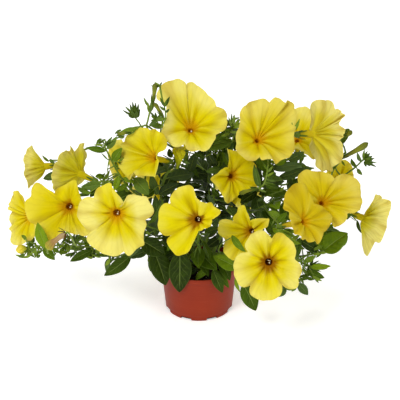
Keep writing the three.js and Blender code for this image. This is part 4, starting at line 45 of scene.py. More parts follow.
# name, shoot, middle of the throat, axis, tube length, throat radius, margin as [angle, radius, height] with each lobe starting at its notch, how early it flares where that differs
FLOWERS = [
    ['corolla_left_front','shoot_left_low',[-161.1,-62.0,180.1],[-0.069,-0.909,0.411],34.0,6.0,[[2.418,24.1,14.2],[2.451,32.6,14.3],[2.473,41.3,14.2],[2.531,48.5,14.4],[2.711,48.3,14.7],[2.89,46.6,14.9],[3.037,51.0,15.0],[3.196,51.7,15.0],[3.364,51.6,14.9],[3.529,50.4,14.8],[3.682,45.9,14.6],[3.792,47.0,14.4],[3.902,48.0,14.2],[4.01,49.1,14.0],[4.115,49.9,13.7],[4.222,49.8,13.5],[4.312,48.1,13.2],[4.374,43.5,13.1],[4.437,39.0,12.9],[4.539,35.1,12.6],[4.642,31.2,12.3],[4.697,31.4,12.1],[4.753,31.6,12.0],[4.809,31.8,11.8],[4.865,32.0,11.6],[4.919,32.3,11.5],[4.96,33.3,11.3],[5.002,34.4,11.2],[5.043,35.4,11.1],[5.085,36.4,11.0],[5.126,37.5,10.9],[5.24,41.2,10.6],[5.366,42.6,10.2],[5.504,41.8,9.9],[5.646,41.4,9.7],[5.783,39.5,9.4],[5.919,36.8,9.2],[6.044,32.7,9.1],[6.165,28.1,9.0],[6.272,23.0,9.0],[6.371,17.5,9.0],[6.732,18.3,9.4],[7.065,19.9,9.8],[7.303,24.0,10.4],[7.45,29.1,10.8],[7.586,34.3,11.1],[7.755,31.3,11.6],[7.946,27.8,12.2],[8.171,25.3,12.8],[8.429,23.9,13.6]]],
    ['corolla_front_left','shoot_front_left',[-99.6,-92.0,186.2],[0.015,-0.963,0.267],34.0,6.0,[[-2.539,38.1,10.9],[-2.507,44.3,10.8],[-2.409,47.5,10.7],[-2.278,48.2,10.5],[-2.147,47.9,10.3],[-2.024,49.8,10.2],[-1.899,50.0,10.1],[-1.773,50.0,10.0],[-1.646,50.2,10.0],[-1.52,49.7,10.0],[-1.394,48.3,10.0],[-1.311,52.1,10.1],[-1.196,51.2,10.1],[-1.084,48.7,10.2],[-0.959,48.0,10.4],[-0.842,49.2,10.5],[-0.776,44.1,10.6],[-0.658,40.4,10.8],[-0.515,38.6,11.0],[-0.355,38.1,11.3],[-0.214,36.6,11.6],[-0.075,41.3,11.9],[0.074,44.7,12.2],[0.23,44.3,12.5],[0.39,42.2,12.8],[0.558,42.6,13.1],[0.651,37.4,13.2],[0.8,32.4,13.4],[0.98,28.4,13.7],[1.033,21.4,13.7],[1.055,14.1,13.6],[1.134,18.9,13.8],[1.341,23.5,13.9],[1.508,27.9,14.0],[1.63,32.8,14.0],[1.684,38.5,14.0],[1.819,39.8,13.9],[1.972,38.5,13.8],[2.132,37.7,13.7],[2.294,36.7,13.5],[2.461,35.5,13.2],[2.543,40.0,13.1],[2.67,42.9,12.9],[2.801,44.6,12.7],[2.932,45.4,12.4],[3.064,45.7,12.1],[3.195,45.1,11.9],[3.326,43.5,11.6],[3.461,41.7,11.4],[3.599,39.7,11.1]]],
    ['corolla_top','shoot_middle',[-10.4,-22.0,265.8],[0.008,-0.503,0.864],34.0,6.0,[[2.577,37.0,25.9],[2.734,32.3,24.0],[2.942,30.5,21.5],[3.171,31.2,18.5],[3.369,33.8,16.0],[3.539,37.7,13.9],[3.717,36.7,11.8],[3.907,37.2,9.9],[4.09,36.9,8.4],[4.265,33.6,7.3],[4.423,28.6,6.5],[4.58,31.6,6.1],[4.726,34.1,6.1],[4.888,34.8,6.2],[5.003,38.0,6.6],[5.085,40.8,6.9],[5.221,40.6,7.7],[5.36,40.1,8.8],[5.499,39.2,9.9],[5.639,37.7,11.3],[5.784,36.0,12.9],[5.894,38.1,14.2],[5.988,40.8,15.3],[6.087,42.5,16.6],[6.194,43.1,18.0],[6.298,44.0,19.3],[6.402,44.1,20.7],[6.507,43.7,22.0],[6.612,43.0,23.3],[6.692,40.1,24.3],[6.788,37.5,25.4],[6.935,38.6,27.0],[7.083,38.2,28.4],[7.231,38.5,29.6],[7.364,40.5,30.5],[7.49,42.6,31.1],[7.609,44.9,31.6],[7.712,48.0,31.9],[7.812,50.9,32.0],[7.912,49.5,32.0],[7.967,44.6,31.9],[7.989,52.1,31.9],[8.081,57.3,31.6],[8.211,58.3,31.1],[8.325,61.1,30.5],[8.437,61.2,29.8],[8.546,57.6,28.9],[8.676,55.3,27.8],[8.793,51.1,26.6],[8.838,44.5,25.8]]],
    ['corolla_front_middle','shoot_front',[-1.0,-100.0,181.4],[-0.092,-0.974,0.209],34.0,6.0,[[2.565,39.8,12.7],[2.641,44.5,12.6],[2.756,46.6,12.2],[2.883,46.5,11.9],[3.009,45.9,11.5],[3.136,46.5,11.1],[3.263,46.6,10.8],[3.388,47.1,10.4],[3.511,46.4,10.0],[3.62,43.3,9.7],[3.695,38.4,9.5],[3.762,44.3,9.4],[3.909,46.9,9.0],[4.058,48.2,8.7],[4.204,49.5,8.4],[4.33,45.7,8.3],[4.44,40.2,8.2],[4.513,33.7,8.1],[4.559,26.6,8.1],[4.631,19.5,8.0],[4.878,13.5,8.0],[5.046,12.2,8.1],[5.241,11.5,8.4],[5.458,11.4,8.7],[5.631,12.4,9.1],[5.787,13.9,9.5],[5.935,15.1,9.9],[6.08,16.2,10.3],[6.221,17.0,10.7],[6.36,17.6,11.1],[6.498,18.2,11.5],[6.589,23.1,11.8],[6.669,27.9,12.0],[6.765,30.7,12.3],[6.93,28.9,12.7],[7.103,27.4,13.1],[7.267,28.9,13.4],[7.425,25.9,13.7],[7.599,26.4,13.8],[7.77,28.7,14.0],[7.906,32.0,14.0],[7.94,37.1,14.0],[7.976,41.9,14.0],[8.064,45.3,14.0],[8.172,46.4,13.9],[8.285,46.8,13.8],[8.396,46.3,13.6],[8.509,45.7,13.5],[8.622,44.2,13.2],[8.735,42.2,13.0]]],
    ['corolla_middle','shoot_right_inner',[40.1,-26.0,205.4],[0.371,-0.813,0.449],34.0,6.0,[[2.17,11.5,15.9],[2.376,16.0,16.4],[2.571,19.9,16.7],[2.767,23.0,16.9],[2.922,26.6,17.0],[3.03,30.9,17.0],[3.132,33.4,16.9],[3.283,31.5,16.7],[3.449,30.4,16.5],[3.623,29.8,16.1],[3.798,30.2,15.6],[3.874,32.0,15.4],[3.951,33.6,15.1],[4.025,35.2,14.9],[4.102,36.3,14.6],[4.182,36.3,14.3],[4.256,34.9,14.0],[4.33,33.3,13.7],[4.406,31.5,13.4],[4.483,29.8,13.1],[4.577,28.6,12.7],[4.652,26.6,12.4],[4.736,25.0,12.1],[4.849,24.6,11.7],[4.964,24.6,11.3],[5.079,24.6,10.9],[5.195,24.6,10.5],[5.301,25.2,10.2],[5.395,26.5,9.9],[5.488,27.8,9.7],[5.582,29.1,9.5],[5.679,32.8,9.3],[5.803,34.9,9.2],[5.938,34.1,9.1],[6.074,32.8,9.0],[6.222,32.5,9.1],[6.37,32.5,9.2],[6.517,32.8,9.4],[6.664,32.9,9.7],[6.811,32.9,10.1],[6.957,32.9,10.4],[7.152,31.7,11.1],[7.353,30.9,11.8],[7.559,30.3,12.6],[7.767,30.6,13.5],[7.949,33.0,14.2],[7.971,34.6,14.3],[7.993,28.3,14.3],[8.033,22.0,14.5],[8.132,16.1,14.8]]],
    ['corolla_upper_right','shoot_right_high',[72.6,-22.0,251.7],[0.288,-0.695,0.659],34.0,6.0,[[2.579,30.8,13.2],[2.772,31.4,11.7],[2.964,31.8,10.5],[3.153,32.3,9.4],[3.329,33.8,8.7],[3.506,34.2,8.2],[3.683,33.1,8.0],[3.869,32.6,8.3],[4.054,32.0,8.6],[4.239,29.8,9.3],[4.41,26.2,10.1],[4.507,29.0,10.8],[4.673,29.5,11.9],[4.818,31.3,13.0],[4.911,34.6,13.8],[4.971,37.5,14.3],[5.096,36.8,15.4],[5.219,38.2,16.5],[5.335,40.0,17.5],[5.432,42.8,18.4],[5.528,45.1,19.2],[5.662,43.7,20.4],[5.797,41.7,21.5],[5.941,39.9,22.5],[6.088,39.7,23.5],[6.237,41.1,24.3],[6.357,44.2,24.9],[6.471,47.6,25.4],[6.576,50.8,25.6],[6.675,54.0,25.8],[6.77,57.2,26.0],[6.834,59.4,26.0],[6.907,59.8,26.0],[6.972,58.2,25.9],[6.999,54.3,25.9],[7.049,52.2,25.8],[7.133,52.5,25.6],[7.216,52.7,25.4],[7.296,52.4,25.1],[7.356,49.4,24.9],[7.387,45.3,24.7],[7.517,46.9,24.0],[7.653,46.3,23.2],[7.791,45.2,22.3],[7.931,43.8,21.2],[8.075,42.1,20.0],[8.228,41.6,18.7],[8.359,38.1,17.5],[8.492,33.9,16.4],[8.652,30.3,14.9]]],
    ['corolla_front_right','shoot_right_low',[66.3,-62.0,145.6],[-0.419,-0.831,0.367],34.0,6.0,[[-2.556,36.7,9.2],[-2.453,39.7,9.4],[-2.343,41.9,9.6],[-2.225,42.8,9.8],[-2.107,42.5,10.0],[-1.988,42.5,10.3],[-1.892,41.5,10.5],[-1.833,37.3,10.7],[-1.721,34.3,11.0],[-1.576,32.5,11.4],[-1.429,30.6,11.9],[-1.31,30.0,12.2],[-1.19,29.4,12.6],[-1.07,28.9,12.9],[-0.944,28.5,13.3],[-0.817,28.1,13.6],[-0.691,27.4,13.9],[-0.565,26.1,14.2],[-0.44,24.3,14.4],[-0.313,22.1,14.6],[-0.187,19.9,14.8],[0.072,20.7,14.9],[0.323,21.7,15.0],[0.447,26.1,14.9],[0.579,30.0,14.8],[0.709,33.4,14.6],[0.778,29.1,14.5],[0.9,24.9,14.2],[1.064,21.2,13.9],[1.29,17.9,13.3],[1.554,14.9,12.6],[1.694,19.1,12.2],[1.806,23.3,11.8],[1.872,27.8,11.7],[1.919,32.2,11.5],[2.038,33.1,11.2],[2.176,31.5,10.8],[2.306,28.6,10.4],[2.466,27.4,10.1],[2.642,26.9,9.7],[2.819,26.0,9.4],[2.856,30.6,9.3],[2.896,35.2,9.3],[2.967,39.0,9.2],[3.064,41.2,9.1],[3.18,41.2,9.0],[3.296,41.0,9.0],[3.41,40.1,9.0],[3.519,38.0,9.1],[3.63,35.5,9.1]]],
    ['corolla_front_low','shoot_right_low',[84.4,-120.0,133.8],[-0.102,-0.936,0.338],34.0,6.0,[[2.667,30.6,12.0],[2.793,35.2,11.8],[2.935,38.2,11.5],[3.092,39.5,11.2],[3.245,40.8,10.9],[3.395,41.9,10.6],[3.543,42.6,10.3],[3.689,42.9,10.0],[3.834,43.3,9.8],[3.977,41.8,9.6],[4.105,38.2,9.4],[4.206,42.3,9.3],[4.325,44.6,9.2],[4.449,45.5,9.1],[4.576,45.4,9.0],[4.702,44.9,9.0],[4.83,44.1,9.0],[4.96,43.4,9.0],[5.087,41.4,9.1],[5.2,37.9,9.2],[5.31,33.7,9.3],[5.394,38.1,9.4],[5.498,41.7,9.5],[5.612,44.1,9.7],[5.734,43.0,9.9],[5.846,40.2,10.1],[5.981,40.0,10.3],[6.119,39.7,10.6],[6.255,38.7,10.8],[6.389,36.8,11.1],[6.533,35.1,11.4],[6.672,35.2,11.7],[6.798,36.9,11.9],[6.922,38.4,12.1],[7.046,39.0,12.3],[7.172,38.6,12.5],[7.295,39.0,12.6],[7.416,39.6,12.8],[7.537,38.6,12.9],[7.653,36.5,12.9],[7.762,33.4,13.0],[7.891,35.5,13.0],[7.995,38.6,13.0],[8.11,40.6,13.0],[8.231,41.0,12.9],[8.352,40.4,12.8],[8.473,39.2,12.7],[8.598,38.1,12.5],[8.724,36.6,12.4],[8.845,34.2,12.2]]],
    ['corolla_right_front','shoot_right',[124.3,-104.0,180.1],[0.638,-0.602,0.48],34.0,6.0,[[2.255,46.7,13.0],[2.318,45.2,13.0],[2.381,43.8,13.0],[2.444,42.4,13.0],[2.501,40.2,13.0],[2.557,38.0,13.0],[2.624,36.2,13.0],[2.706,34.9,13.0],[2.788,33.7,13.0],[2.88,32.7,13.0],[2.972,31.8,13.0],[3.058,31.1,13.0],[3.144,30.4,13.0],[3.236,30.1,13.0],[3.327,29.7,13.0],[3.42,29.4,13.0],[3.514,29.3,13.0],[3.608,29.1,13.0],[3.702,28.3,13.0],[3.796,27.4,13.0],[3.89,26.5,13.0],[4.093,26.0,13.0],[4.295,25.5,13.0],[4.505,25.0,13.0],[4.66,26.3,13.0],[4.733,29.7,13.0],[4.907,28.1,13.0],[5.09,26.3,13.0],[5.278,26.4,13.0],[5.46,28.1,13.0],[5.565,32.3,13.0],[5.7,34.5,13.0],[5.834,36.3,13.0],[5.968,37.5,13.0],[6.103,36.5,13.0],[6.236,34.9,13.0],[6.371,32.5,13.0],[6.513,29.8,13.0],[6.659,27.1,13.0],[6.849,25.4,13.0],[7.038,23.8,13.0],[7.251,28.3,13.0],[7.39,34.0,13.0],[7.481,40.4,13.0],[7.598,44.6,13.0],[7.757,45.7,13.0],[7.914,46.1,13.0],[8.072,45.7,13.0],[8.228,46.4,13.0],[8.383,46.8,13.0]]],
    ['corolla_right','shoot_right',[153.3,-56.0,181.3],[0.193,-0.698,0.689],34.0,6.0,[[2.454,38.9,14.1],[2.606,36.5,13.5],[2.758,34.0,12.9],[2.931,31.9,12.3],[3.113,29.9,11.6],[3.31,27.9,11.1],[3.526,26.0,10.6],[3.745,24.1,10.2],[3.997,22.6,10.1],[4.259,22.0,10.2],[4.53,22.2,10.5],[4.691,24.3,10.8],[4.763,27.5,11.0],[4.785,31.9,11.0],[4.842,34.8,11.2],[4.967,34.7,11.6],[5.092,34.9,12.0],[5.216,35.2,12.5],[5.339,35.6,12.9],[5.46,34.5,13.4],[5.581,33.3,13.9],[5.655,35.6,14.2],[5.708,38.4,14.4],[5.756,41.3,14.6],[5.816,43.6,14.8],[5.887,44.9,15.1],[5.961,45.7,15.4],[6.035,46.4,15.6],[6.108,47.1,15.9],[6.18,47.7,16.2],[6.252,48.3,16.4],[6.364,47.9,16.7],[6.47,48.9,17.0],[6.572,50.4,17.3],[6.679,50.3,17.5],[6.78,48.2,17.7],[6.887,46.2,17.8],[6.997,44.3,17.9],[7.084,40.3,18.0],[7.165,35.9,18.0],[7.24,31.2,18.0],[7.418,33.1,17.9],[7.598,34.3,17.6],[7.77,35.4,17.3],[7.941,36.5,16.9],[8.082,39.4,16.5],[8.203,43.0,16.1],[8.335,44.4,15.6],[8.472,44.1,15.1],[8.605,41.7,14.6]]],
    ['corolla_upper_left','shoot_middle',[-52.8,-47.0,238.7],[-0.67,-0.606,0.428],24,6.0,[[-2.028,27.1,18.6],[-1.785,26.9,18.2],[-1.555,23.5,17.8],[-1.259,22.6,17.3],[-0.982,23.2,16.7],[-0.749,26.8,16.3],[-0.596,31.8,16.0],[-0.423,27.3,15.7],[-0.204,23.6,15.4],[0.083,21.5,15.1],[0.395,21.7,15.0],[0.51,25.8,15.0],[0.636,29.4,15.0],[0.783,31.7,15.1],[0.933,33.0,15.2],[1.087,33.1,15.4],[1.237,33.8,15.6],[1.387,33.8,15.8],[1.537,33.3,16.1],[1.689,33.6,16.4],[1.84,33.9,16.6],[1.978,35.2,16.9],[2.116,36.5,17.2],[2.251,37.7,17.4],[2.379,38.9,17.7],[2.505,39.8,17.9],[2.629,40.6,18.1],[2.747,41.9,18.3],[2.856,43.7,18.5],[2.963,45.7,18.6],[3.06,47.9,18.7],[3.116,48.4,18.8],[3.171,48.9,18.8],[3.217,47.3,18.9],[3.261,45.5,18.9],[3.318,45.0,18.9],[3.379,44.9,18.9],[3.44,44.8,19.0],[3.501,44.6,19.0],[3.559,43.6,19.0],[3.618,42.6,19.0],[3.68,46.0,19.0],[3.766,44.6,19.0],[3.854,42.6,18.9],[3.954,40.9,18.9],[4.055,39.3,18.8],[4.163,38.5,18.7],[4.189,38.4,18.5],[4.211,35.9,18.5],[4.233,31.5,18.6]]],
    ['corolla_upper_left_behind','shoot_left_high',[-87.7,2.0,211.1],[-0.667,-0.681,0.302],26,6.0,[[-0.747,26.7,15.0],[-0.615,27.5,15.0],[-0.484,28.4,15.0],[-0.352,29.2,15.0],[-0.228,30.1,15.0],[-0.109,31.0,15.0],[0.01,31.8,15.0],[0.129,32.4,15.0],[0.246,32.4,15.0],[0.363,32.4,15.0],[0.48,32.4,15.0],[0.601,32.5,15.0],[0.722,32.5,15.0],[0.843,32.4,15.0],[0.967,31.5,15.0],[1.091,30.6,15.0],[1.214,29.8,15.0],[1.349,29.3,15.0],[1.486,28.9,15.0],[1.622,28.6,15.0],[1.758,28.2,15.0],[1.884,29.0,15.0],[2.009,29.8,15.0],[2.134,30.7,15.0],[2.252,31.2,15.0],[2.371,31.8,15.0],[2.489,32.4,15.0],[2.605,32.6,15.0],[2.72,32.7,15.0],[2.833,31.9,15.0],[2.947,30.8,15.0],[3.046,29.6,15.0],[3.146,28.4,15.0],[3.246,27.1,15.0],[3.358,26.3,15.0],[3.477,25.6,15.0],[3.597,25.0,15.0],[3.717,24.5,15.0],[3.842,24.7,15.0],[3.968,25.0,15.0],[4.093,25.2,15.0],[4.238,26.0,15.0],[4.382,26.8,15.0],[4.527,27.2,15.0],[4.671,27.1,15.0],[4.814,27.0,15.0],[4.958,26.9,15.0],[5.103,26.9,15.0],[5.247,26.8,15.0],[5.391,26.7,15.0]]],
    ['corolla_right_small','shoot_right',[187.4,30.0,168.1],[-0.035,-0.362,0.932],28,6.0,[[-2.048,20.7,11.0],[-1.965,21.9,11.0],[-1.882,23.2,11.0],[-1.8,24.5,11.0],[-1.716,25.4,11.0],[-1.631,26.0,11.0],[-1.547,26.6,11.0],[-1.464,26.2,11.0],[-1.382,25.3,11.0],[-1.299,24.3,11.0],[-1.217,23.4,11.0],[-1.082,22.0,11.0],[-0.948,20.6,11.0],[-0.813,19.3,11.0],[-0.647,18.6,11.0],[-0.473,18.1,11.0],[-0.299,17.6,11.0],[-0.126,17.1,11.0],[0.039,18.0,11.0],[0.204,18.9,11.0],[0.368,19.8,11.0],[0.516,20.7,11.0],[0.663,21.7,11.0],[0.773,23.5,11.0],[0.862,25.8,11.0],[0.95,28.1,11.0],[1.033,30.2,11.0],[1.113,32.3,11.0],[1.194,34.1,11.0],[1.277,35.4,11.0],[1.361,36.7,11.0],[1.447,34.9,11.0],[1.537,33.2,11.0],[1.633,31.4,11.0],[1.73,29.7,11.0],[1.848,28.4,11.0],[1.965,27.0,11.0],[2.083,25.7,11.0],[2.218,24.1,11.0],[2.354,22.5,11.0],[2.49,20.9,11.0],[2.655,19.5,11.0],[2.821,18.2,11.0],[2.986,16.8,11.0],[3.151,15.4,11.0],[3.35,15.8,11.0],[3.551,16.2,11.0],[3.752,16.7,11.0],[3.931,17.6,11.0],[4.083,19.2,11.0]]],
    ['corolla_right_behind','shoot_right_high',[134.0,80.0,209.6],[-0.086,-0.519,0.85],30,6.0,[[-1.778,23.2,10.1],[-1.571,22.7,10.1],[-1.386,23.2,10.0],[-1.253,26.5,10.1],[-1.138,30.0,10.2],[-1.071,34.1,10.3],[-1.004,38.2,10.4],[-0.929,41.5,10.5],[-0.817,41.0,10.6],[-0.711,38.7,10.9],[-0.606,36.3,11.1],[-0.48,35.0,11.4],[-0.353,33.7,11.7],[-0.225,32.7,12.1],[-0.089,33.1,12.5],[0.047,33.5,12.9],[0.184,33.9,13.3],[0.315,34.5,13.7],[0.443,35.1,14.0],[0.571,35.8,14.4],[0.699,36.5,14.7],[0.804,38.5,14.9],[0.909,40.6,15.2],[1.013,42.6,15.4],[1.116,44.1,15.6],[1.218,45.0,15.7],[1.319,45.9,15.8],[1.419,46.5,15.9],[1.519,46.5,16.0],[1.618,45.5,16.0],[1.718,44.6,16.0],[1.814,46.5,16.0],[1.913,46.8,15.9],[2.014,45.6,15.8],[2.115,43.8,15.7],[2.215,41.3,15.5],[2.316,38.8,15.4],[2.424,36.1,15.1],[2.543,33.1,14.9],[2.662,30.1,14.6],[2.781,27.1,14.3],[2.954,26.3,13.8],[3.127,25.6,13.3],[3.3,24.9,12.8],[3.474,24.1,12.3],[3.648,24.4,11.8],[3.822,25.1,11.4],[3.997,25.8,11.0],[4.17,26.1,10.6],[4.338,24.7,10.4]]],
    ['corolla_left_back','shoot_left_high',[-153.9,-2.0,197.3],[-0.815,0.565,0.131],26,6.0,[[0.682,39.0,15.0],[0.812,41.0,15.0],[0.928,41.9,15.0],[1.043,38.8,15.0],[1.177,35.4,15.0],[1.31,31.9,15.0],[1.431,29.6,15.0],[1.457,35.1,15.0],[1.536,35.3,15.0],[1.658,31.2,15.0],[1.78,27.1,15.0],[1.911,29.4,15.0],[1.967,33.5,15.0],[2.048,36.4,15.0],[2.165,37.7,15.0],[2.269,35.7,15.0],[2.37,32.9,15.0],[2.494,30.7,15.0],[2.642,29.1,15.0],[2.79,27.4,15.0],[2.938,25.8,15.0],[3.148,27.1,15.0],[3.358,28.3,15.0],[3.536,30.5,15.0],[3.704,32.9,15.0],[3.872,34.9,15.0],[4.041,34.4,15.0],[4.21,33.9,15.0],[4.386,32.3,15.0],[4.564,30.4,15.0],[4.742,28.4,15.0],[4.893,29.2,15.0],[5.045,30.0,15.0],[5.197,30.9,15.0],[5.337,32.0,15.0],[5.468,33.3,15.0],[5.598,34.7,15.0],[5.728,35.9,15.0],[5.854,36.2,15.0],[5.979,36.6,15.0],[6.104,36.9,15.0],[6.193,37.2,15.0],[6.282,37.6,15.0],[6.371,37.9,15.0],[6.458,38.4,15.0],[6.542,39.0,15.0],[6.626,39.6,15.0],[6.711,39.6,15.0],[6.796,39.4,15.0],[6.881,39.2,15.0]],0.4],
    ['corolla_right_turned','shoot_right_high',[143.7,0.0,252.2],[0.918,0.38,-0.113],22,6.0,[[2.029,44.2,18.0],[2.072,45.5,18.0],[2.114,46.8,18.0],[2.156,48.1,18.0],[2.203,48.7,18.0],[2.25,49.3,18.0],[2.296,49.3,18.0],[2.339,48.2,18.0],[2.373,46.9,18.0],[2.395,44.7,18.0],[2.417,42.5,18.0],[2.496,42.0,18.0],[2.572,41.9,18.0],[2.626,44.3,18.0],[2.679,46.7,18.0],[2.741,48.1,18.0],[2.807,49.1,18.0],[2.854,47.4,18.0],[2.894,44.5,18.0],[2.944,42.2,18.0],[3.018,40.9,18.0],[3.089,47.3,18.0],[3.224,49.8,18.0],[3.362,50.9,18.0],[3.502,49.4,18.0],[3.646,47.9,18.0],[3.794,46.7,18.0],[3.945,46.9,18.0],[4.082,49.6,18.0],[4.224,49.9,18.0],[4.367,49.3,18.0],[4.499,49.8,18.0],[4.632,50.2,18.0],[4.697,45.9,18.0],[4.82,42.7,18.0],[4.97,40.4,18.0],[5.131,38.5,18.0],[5.298,36.6,18.0],[5.478,34.9,18.0],[5.658,35.0,18.0],[5.839,36.7,18.0],[6.106,39.5,18.0],[6.366,41.0,18.0],[6.624,41.0,18.0],[6.873,42.9,18.0],[7.117,43.7,18.0],[7.362,42.9,18.0],[7.608,41.5,18.0],[7.853,43.4,18.0],[8.091,45.4,18.0]]],
    ['corolla_left_side','shoot_left_high',[-202.8,22.0,197.2],[-0.993,-0.067,-0.096],18,6.0,[[2.475,19.1,13.8],[2.711,19.3,14.2],[2.932,20.4,14.7],[3.132,22.0,15.3],[3.308,24.1,16.1],[3.467,26.3,16.9],[3.62,28.0,17.8],[3.776,29.0,18.7],[3.931,29.3,19.6],[4.086,29.3,20.5],[4.241,29.3,21.7],[4.362,29.3,22.8],[4.483,29.3,24.0],[4.605,28.9,25.2],[4.725,28.0,26.0],[4.843,26.5,26.3],[4.961,24.6,26.1],[5.086,22.6,25.7],[5.226,20.7,25.2],[5.384,19.1,24.8],[5.564,17.9,24.6],[5.696,17.6,24.6],[5.829,17.4,24.7],[5.964,17.5,25.0],[6.093,17.9,25.2],[6.216,18.6,25.5],[6.331,19.5,25.8],[6.435,20.6,25.8],[6.532,21.7,25.2],[6.631,22.5,23.9],[6.734,22.7,22.9],[6.822,22.9,22.8],[6.908,23.1,23.0],[6.992,23.5,23.2],[7.075,23.9,23.4],[7.155,24.4,23.4],[7.234,24.8,23.2],[7.312,25.3,22.7],[7.388,25.7,21.8],[7.462,26.3,20.8],[7.532,27.0,19.7],[7.641,28.5,18.1],[7.747,29.8,16.5],[7.858,29.7,15.1],[7.962,28.2,14.3],[8.063,26.2,13.9],[8.173,24.3,13.7],[8.294,22.5,13.6],[8.434,21.0,13.6],[8.591,19.9,13.7]],0.42],
    ['corolla_left_edge','shoot_left_low',[-216.8,-22.0,146.5],[-0.877,-0.465,0.122],26,6.0,[[2.644,27.7,22.1],[2.731,27.6,22.2],[2.817,27.8,22.3],[2.901,28.2,22.3],[2.982,28.9,22.2],[3.058,29.8,22.0],[3.131,30.7,21.7],[3.203,31.5,21.0],[3.276,32.1,20.2],[3.348,32.7,19.5],[3.418,33.3,18.9],[3.491,34.2,18.5],[3.561,35.3,18.3],[3.628,36.4,18.1],[3.692,37.6,18.1],[3.755,38.7,18.0],[3.819,39.6,18.0],[3.883,40.2,18.1],[3.948,40.6,18.2],[4.011,41.3,18.3],[4.069,42.3,18.2],[4.157,44.8,18.0],[4.239,47.2,17.6],[4.328,48.6,16.7],[4.418,47.8,15.5],[4.504,45.6,14.3],[4.589,43.1,13.1],[4.677,40.5,12.0],[4.774,37.9,10.8],[4.881,35.6,9.7],[4.993,33.4,8.6],[5.197,30.8,6.9],[5.424,29.1,5.2],[5.666,28.3,3.8],[5.914,28.1,2.9],[6.164,28.0,2.7],[6.415,27.0,3.9],[6.674,25.4,6.1],[6.951,24.0,8.8],[7.246,23.5,11.6],[7.536,24.4,14.2],[7.7,25.7,15.5],[7.853,27.4,16.8],[7.994,29.2,17.8],[8.124,31.2,18.8],[8.251,32.7,19.6],[8.382,33.1,20.3],[8.511,32.0,21.0],[8.64,30.4,21.4],[8.778,28.8,21.8]]],
    ['corolla_right_edge','shoot_right',[218.7,6.0,129.3],[0.939,-0.078,-0.336],20,6.0,[[0.937,25.8,7.9],[1.036,27.3,7.6],[1.132,29.0,7.4],[1.211,31.0,7.2],[1.283,33.1,7.1],[1.353,35.1,7.1],[1.43,36.5,7.4],[1.513,37.1,7.9],[1.596,37.5,8.7],[1.676,38.2,9.7],[1.752,39.2,11.3],[1.805,40.8,13.5],[1.852,42.5,16.3],[1.908,43.3,19.3],[1.965,42.5,20.9],[2.019,41.1,21.6],[2.073,39.7,22.0],[2.128,38.2,22.3],[2.186,36.7,22.5],[2.245,35.2,22.8],[2.307,33.6,23.1],[2.441,30.0,24.4],[2.581,26.0,26.1],[2.752,22.1,27.7],[2.982,19.0,29.1],[3.273,17.2,30.3],[3.596,16.9,31.4],[3.905,18.3,32.3],[4.157,21.0,32.7],[4.366,24.0,30.6],[4.544,27.1,28.2],[4.64,31.3,28.8],[4.71,35.7,29.6],[4.768,40.3,30.5],[4.818,44.9,31.3],[4.86,49.5,32.0],[4.906,54.0,32.1],[4.98,55.8,29.6],[5.055,52.9,25.7],[5.129,49.6,22.5],[5.215,46.7,19.9],[5.355,44.1,17.2],[5.508,42.1,15.3],[5.665,39.8,13.8],[5.821,36.5,12.7],[5.983,32.5,11.7],[6.174,28.7,10.8],[6.405,25.8,10.0],[6.668,24.1,9.3],[6.952,23.9,8.5]],0.46],
    ['corolla_back_left','shoot_back_left',[-60.0,96.0,126.0],[-0.35,0.799,0.489],30,6.0,[[0.175,32.7,13.0],[0.3,35.0,13.0],[0.426,36.6,13.0],[0.552,37.5,13.0],[0.677,37.9,13.0],[0.803,38.0,13.0],[0.929,37.9,13.0],[1.054,37.5,13.0],[1.18,36.6,13.0],[1.306,35.0,13.0],[1.431,32.7,13.0],[1.557,35.0,13.0],[1.682,36.6,13.0],[1.808,37.5,13.0],[1.934,37.9,13.0],[2.059,38.0,13.0],[2.185,37.9,13.0],[2.311,37.5,13.0],[2.436,36.6,13.0],[2.562,35.0,13.0],[2.688,32.7,13.0],[2.813,35.0,13.0],[2.939,36.6,13.0],[3.065,37.5,13.0],[3.19,37.9,13.0],[3.316,38.0,13.0],[3.442,37.9,13.0],[3.567,37.5,13.0],[3.693,36.6,13.0],[3.819,35.0,13.0],[3.944,32.7,13.0],[4.07,35.0,13.0],[4.196,36.6,13.0],[4.321,37.5,13.0],[4.447,37.9,13.0],[4.573,38.0,13.0],[4.698,37.9,13.0],[4.824,37.5,13.0],[4.95,36.6,13.0],[5.075,35.0,13.0],[5.201,32.7,13.0],[5.327,35.0,13.0],[5.452,36.6,13.0],[5.578,37.5,13.0],[5.704,37.9,13.0],[5.829,38.0,13.0],[5.955,37.9,13.0],[6.081,37.5,13.0],[6.206,36.6,13.0],[6.332,35.0,13.0]]],
